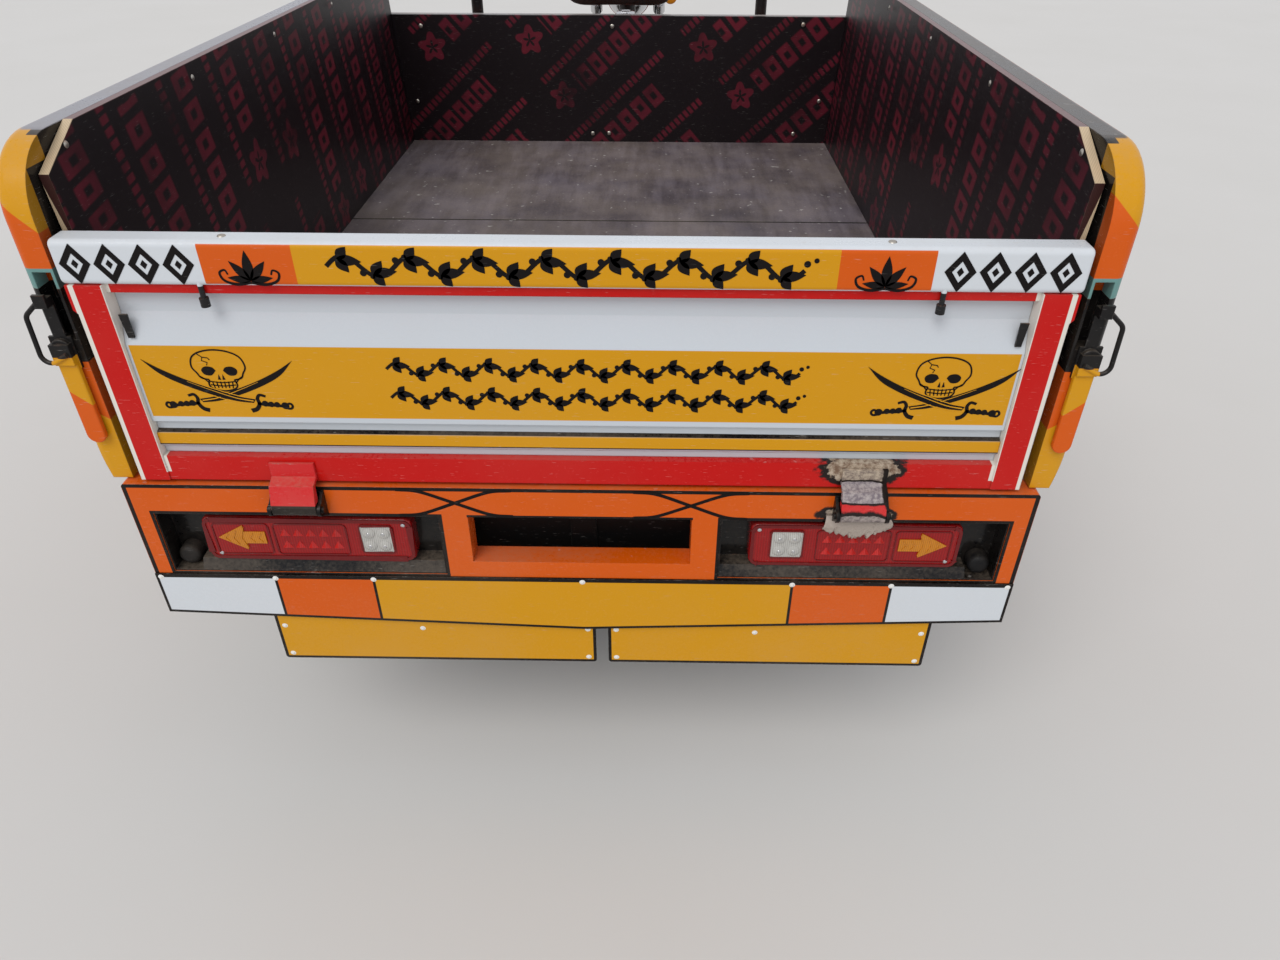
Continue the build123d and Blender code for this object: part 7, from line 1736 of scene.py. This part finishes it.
@dataclass
class Padding:
    """Cloth-simulated vinyl pads with piped edges and sewn channels."""

    dressing: Dressing
    voxel: float = 6 * MM
    pressure: float = 4.0
    frames: int = 20
    cap: float = 9 * MM
    inset: float = 7 * MM
    channel_depth: float = 5.5 * MM
    channel_half: float = 5.0 * MM
    seam_share: float = 0.42
    seam_depth: float = 3.0 * MM
    seam_half: float = 4.0 * MM
    cord: float = 3.0 * MM

    def rounded_box(self, low: Vector, high: Vector, power: float = 5.0, rows: int = 30,
                    cols: int = 72) -> Shell:
        """A closed superellipsoid block between two corners.

        Every point is the centre plus the half size times a signed power of the sines and cosines of its two
        angles; a high power squares it off.
        """
        middle = np.array((low + high) / 2)
        half = np.array((high - low) / 2) - self.inset * np.array((1.0, 1.0, 0.6))
        v = np.linspace(-np.pi / 2, np.pi / 2, rows)[1:-1, None]
        u = np.linspace(0, 2 * np.pi, cols, endpoint=False)[None, :]

        def bent(value: np.ndarray) -> np.ndarray:
            """Keeps the sign and takes the inverse power of the size."""
            return np.sign(value) * np.abs(value) ** (2 / power)

        grid = np.stack(np.broadcast_arrays(
            middle[0] + half[0] * bent(np.cos(v)) * bent(np.cos(u)),
            middle[1] + half[1] * bent(np.cos(v)) * bent(np.sin(u)),
            middle[2] + half[2] * bent(np.sin(v)),
        ), -1)
        shell = Shell()
        shell.grid(grid[::-1], wrap_v=True, ends=True)
        return shell

    def swell(self, obj: bpy.types.Object) -> np.ndarray:
        """Remeshes a pad, fills it by cloth pressure and returns how far each point moved, capped."""
        remesh = obj.modifiers.new("remesh", "REMESH")
        remesh.mode = "VOXEL"
        remesh.voxel_size = self.voxel
        graph = bpy.context.evaluated_depsgraph_get()
        mesh = bpy.data.meshes.new_from_object(obj.evaluated_get(graph))
        obj.modifiers.clear()
        obj.data = mesh
        before = np.empty(len(mesh.vertices) * 3)
        mesh.vertices.foreach_get("co", before)
        before = before.reshape(-1, 3)
        cloth = obj.modifiers.new("cloth", "CLOTH")
        cloth.settings.use_pressure = True
        cloth.settings.uniform_pressure_force = self.pressure
        cloth.settings.effector_weights.gravity = 0.0
        cloth.settings.quality = 6
        cloth.point_cache.frame_end = self.frames
        scene = bpy.context.scene
        for frame in range(1, self.frames + 1):
            scene.frame_set(frame)
        swollen = obj.evaluated_get(bpy.context.evaluated_depsgraph_get()).data
        after = np.empty(len(swollen.vertices) * 3)
        swollen.vertices.foreach_get("co", after)
        obj.modifiers.clear()
        scene.frame_set(1)
        move = after.reshape(-1, 3) - before
        far = np.linalg.norm(move, axis=1, keepdims=True)
        return before + move * np.minimum(1.0, self.cap / np.maximum(far, 1e-9))

    def build(self, name: str, node: str, face_axis: int, face_sign: float, fill: float,
              channels: tuple[float, ...]) -> None:
        """Makes one pad.

        Args:
            name: the piece's name.
            node: the CAD solid that it replaces.
            face_axis: the axis that its sitting face looks along.
            face_sign: which way it looks along that axis.
            fill: how tight it is filled, from 0 to 1; not used.
            channels: where the sewn channels cross it, as shares of its run from its front.
        """
        low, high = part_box(node)
        obj = self.rounded_box(low, high).make(f"{name}_start", [], Body.CHASSIS, "seat_vinyl")
        points = self.swell(obj)
        low, high = np.array(low), np.array(high)
        points = np.clip(points, low - 0.002, high + 0.002)
        if face_axis == 2:
            points[:, 2] = np.maximum(points[:, 2], low[2])
        run_axis = 1 if face_axis == 2 else 2
        size, middle = high - low, (low + high) / 2
        share = (points[:, run_axis] - low[run_axis]) / size[run_axis]
        inward = (points[:, face_axis] - middle[face_axis]) * face_sign > 0
        wide = np.abs(points[:, 0] - middle[0]) / (size[0] / 2)
        for spot in channels:
            off = (share - spot) * size[run_axis] / self.channel_half
            dip = self.channel_depth * np.exp(-(off**2))
            points[:, face_axis] -= face_sign * dip * inward * (wide < 0.88)
        half = size[face_axis] / 2
        up = (points[:, face_axis] - middle[face_axis]) * face_sign / half
        pinch = np.exp(-(((up - self.seam_share) * half / self.seam_half) ** 2)) * self.seam_depth
        level = [a for a in (0, 1, 2) if a != face_axis]
        away = points[:, level] - middle[level]
        far = np.linalg.norm(away, axis=1, keepdims=True)
        points[:, level] -= away / np.maximum(far, 1e-6) * (pinch[:, None] * (far > 0.6 * far.max()))
        mesh = obj.data
        mesh.vertices.foreach_set("co", points.ravel())
        mesh.materials.clear()
        mesh.materials.append(self.dressing.finish(SEAT_VINYL))
        mesh.polygons.foreach_set("use_smooth", np.ones(len(mesh.polygons), bool))
        mesh.update()
        obj.name = name
        fine = obj.modifiers.new("fine", "SUBSURF")
        fine.levels = fine.render_levels = 1
        solid = bpy.data.meshes.new_from_object(obj.evaluated_get(bpy.context.evaluated_depsgraph_get()))
        obj.modifiers.clear()
        obj.data = solid
        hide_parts(node)
        seam = middle[face_axis] + face_sign * half * self.seam_share
        self.piping(f"{name}_piping", points, middle, face_axis, seam)

    def piping(self, name: str, points: np.ndarray, middle: np.ndarray, face_axis: int,
               height: float) -> None:
        """A welt round the pad's edge: a round cord through the outermost points near the seam's height."""
        level = [a for a in (0, 1, 2) if a != face_axis]
        near = points[np.abs(points[:, face_axis] - height) < 9 * MM]
        away = near[:, level] - middle[level]
        angle = np.arctan2(away[:, 1], away[:, 0])
        reach = np.linalg.norm(away, axis=1)
        count = 120
        spots = np.linspace(-np.pi, np.pi, count, endpoint=False)
        gap = np.abs((angle[None, :] - spots[:, None] + np.pi) % (2 * np.pi) - np.pi)
        weight = np.exp(-((gap / 0.035) ** 2))
        ring = (weight * reach[None, :]).sum(1) / np.maximum(weight.sum(1), 1e-9)
        ring = 0.25 * np.roll(ring, 1) + 0.5 * ring + 0.25 * np.roll(ring, -1) - 0.5 * MM
        turn = np.linspace(0, 2 * np.pi, 8, endpoint=False)
        out = np.stack([np.cos(spots), np.sin(spots)], -1)
        core = middle[level] + ring[:, None] * out
        section = np.zeros((count, 8, 3))
        for k, axis in enumerate(level):
            section[..., axis] = core[:, None, k] + self.cord * np.cos(turn)[None, :] * out[:, None, k]
        section[..., face_axis] = height + self.cord * np.sin(turn)[None, :]
        shell = Shell()
        shell.grid(section[::-1] if face_axis == 1 else section, wrap_u=True, wrap_v=True)
        self.dressing.make(shell, name, (SOFT_RUBBER,), Body.CHASSIS, "seat_vinyl", smooth=60.0)


@dataclass
class Stage:
    """The floor, lights, world and camera."""

    lens: float = 25.62
    sensor: float = 36.0
    eye: tuple[float, float, float] = (0.1019, -2.7387, 1.4521)
    right: tuple[float, float, float] = (0.9998807, 0.0150070, 0.0036674)
    down: tuple[float, float, float] = (0.0116850, -0.5793815, -0.8149727)
    ahead: tuple[float, float, float] = (-0.0101055, 0.8149183, -0.5794877)
    floor_reach: float = 40.0
    sky: Colour = (0.93, 0.95, 1.0)
    sky_light: float = 0.72
    sky_seen: float = 0.86
    sun_power: float = 1.35
    sun_spread: float = 35.0
    sun_from: tuple[float, float, float] = (-0.35, -0.75, 1.0)

    def build(self) -> None:
        """Adds all four."""
        self.camera()
        self.floor()
        self.lights()

    def camera(self) -> None:
        """Puts the camera where the photograph was taken from."""
        data = bpy.data.cameras.new("camera")
        data.lens = self.lens
        data.sensor_width = self.sensor
        camera = bpy.data.objects.new("camera", data)
        turn = Matrix((Vector(self.right), -Vector(self.down), -Vector(self.ahead))).transposed()
        camera.matrix_world = Matrix.Translation(self.eye) @ turn.to_4x4()
        bpy.context.scene.collection.objects.link(camera)
        bpy.context.scene.camera = camera

    def floor(self) -> None:
        """A wide pale floor, a square whose far edge is out of sight."""
        mesh = bpy.data.meshes.new("floor")
        corners = ((-1, -1), (1, -1), (1, 1), (-1, 1))
        mesh.from_pydata([(x * self.floor_reach, y * self.floor_reach, 0) for x, y in corners], [],
                         [(0, 1, 2, 3)])
        surface = Surface("pale floor")
        g = surface.g
        pale = g.mix(g.noise(surface.place, 1.2, 3.0), tone(206, 204, 200), tone(212, 210, 207))
        g.feed(surface.shader.inputs["Base Color"], pale)
        surface.shader.inputs["Roughness"].default_value = 0.9
        mesh.materials.append(surface.material)
        floor = bpy.data.objects.new("floor", mesh)
        bpy.context.scene.collection.objects.link(floor)

    def lights(self) -> None:
        """A pale sky all round and one wide soft sun from behind the camera."""
        world = bpy.data.worlds.new("sky")
        world.use_nodes = True
        g = Graph(world.node_tree)
        back = world.node_tree.nodes["Background"]
        path = g.add("ShaderNodeLightPath")
        seen = g.calc("MAXIMUM", path.outputs["Is Camera Ray"], path.outputs["Is Glossy Ray"])
        g.feed(back.inputs["Color"], self.sky)
        g.feed(back.inputs["Strength"], g.mix_value(seen, self.sky_light, self.sky_seen))
        bpy.context.scene.world = world
        sun = bpy.data.lights.new("soft sun", "SUN")
        sun.energy = self.sun_power
        sun.angle = math.radians(self.sun_spread)
        sun.color = (1.0, 0.98, 0.95)
        lamp = bpy.data.objects.new("soft sun", sun)
        lamp.rotation_euler = Vector(self.sun_from).to_track_quat("Z", "Y").to_euler()
        bpy.context.scene.collection.objects.link(lamp)


def main() -> None:
    """Builds every class in order."""
    logging.basicConfig(level=logging.INFO, format="%(message)s")
    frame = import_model()
    scene = bpy.context.scene
    scene.view_settings.view_transform = "Standard"
    Stage().build()
    dressing = Dressing(frame["nodes"], Effects())
    for finish, nodes in NODE_FINISHES:
        for node in nodes.split():
            dressing.paint(node, finish)
            LOG.info("dressed %s", node)
    for name, node, body in (
        ("tread_rear_right", "rear_tyre_right", Body.REAR_WHEEL_RIGHT),
        ("tread_rear_left", "rear_tyre_left", Body.REAR_WHEEL_LEFT),
        ("tread_front", "front_tyre", Body.FRONT_WHEEL),
    ):
        piece = Tyres().build(name, node, body, dressing)
        LOG.info("built %s, %d faces", piece.name, len(piece.data.polygons))
    Tailgate(dressing).build()
    LOG.info("built the tailgate's ornaments")
    TailLamps(dressing).build()
    LOG.info("built the tail lamps' details")
    Trim(dressing).build()
    LOG.info("built line work, rivets and screws")
    Cockpit(dressing).build()
    LOG.info("built mirrors, dial, cap and headlamp glass")
    padding = Padding(dressing)
    padding.build("seat_pad", "seat_cushion", 2, 1.0, 0.75, (0.27, 0.5, 0.73))
    padding.build("back_pad", "backrest", 1, 1.0, 0.75, (0.33, 0.66))
    LOG.info("built the pads")


if __name__ == "__main__":
    main()
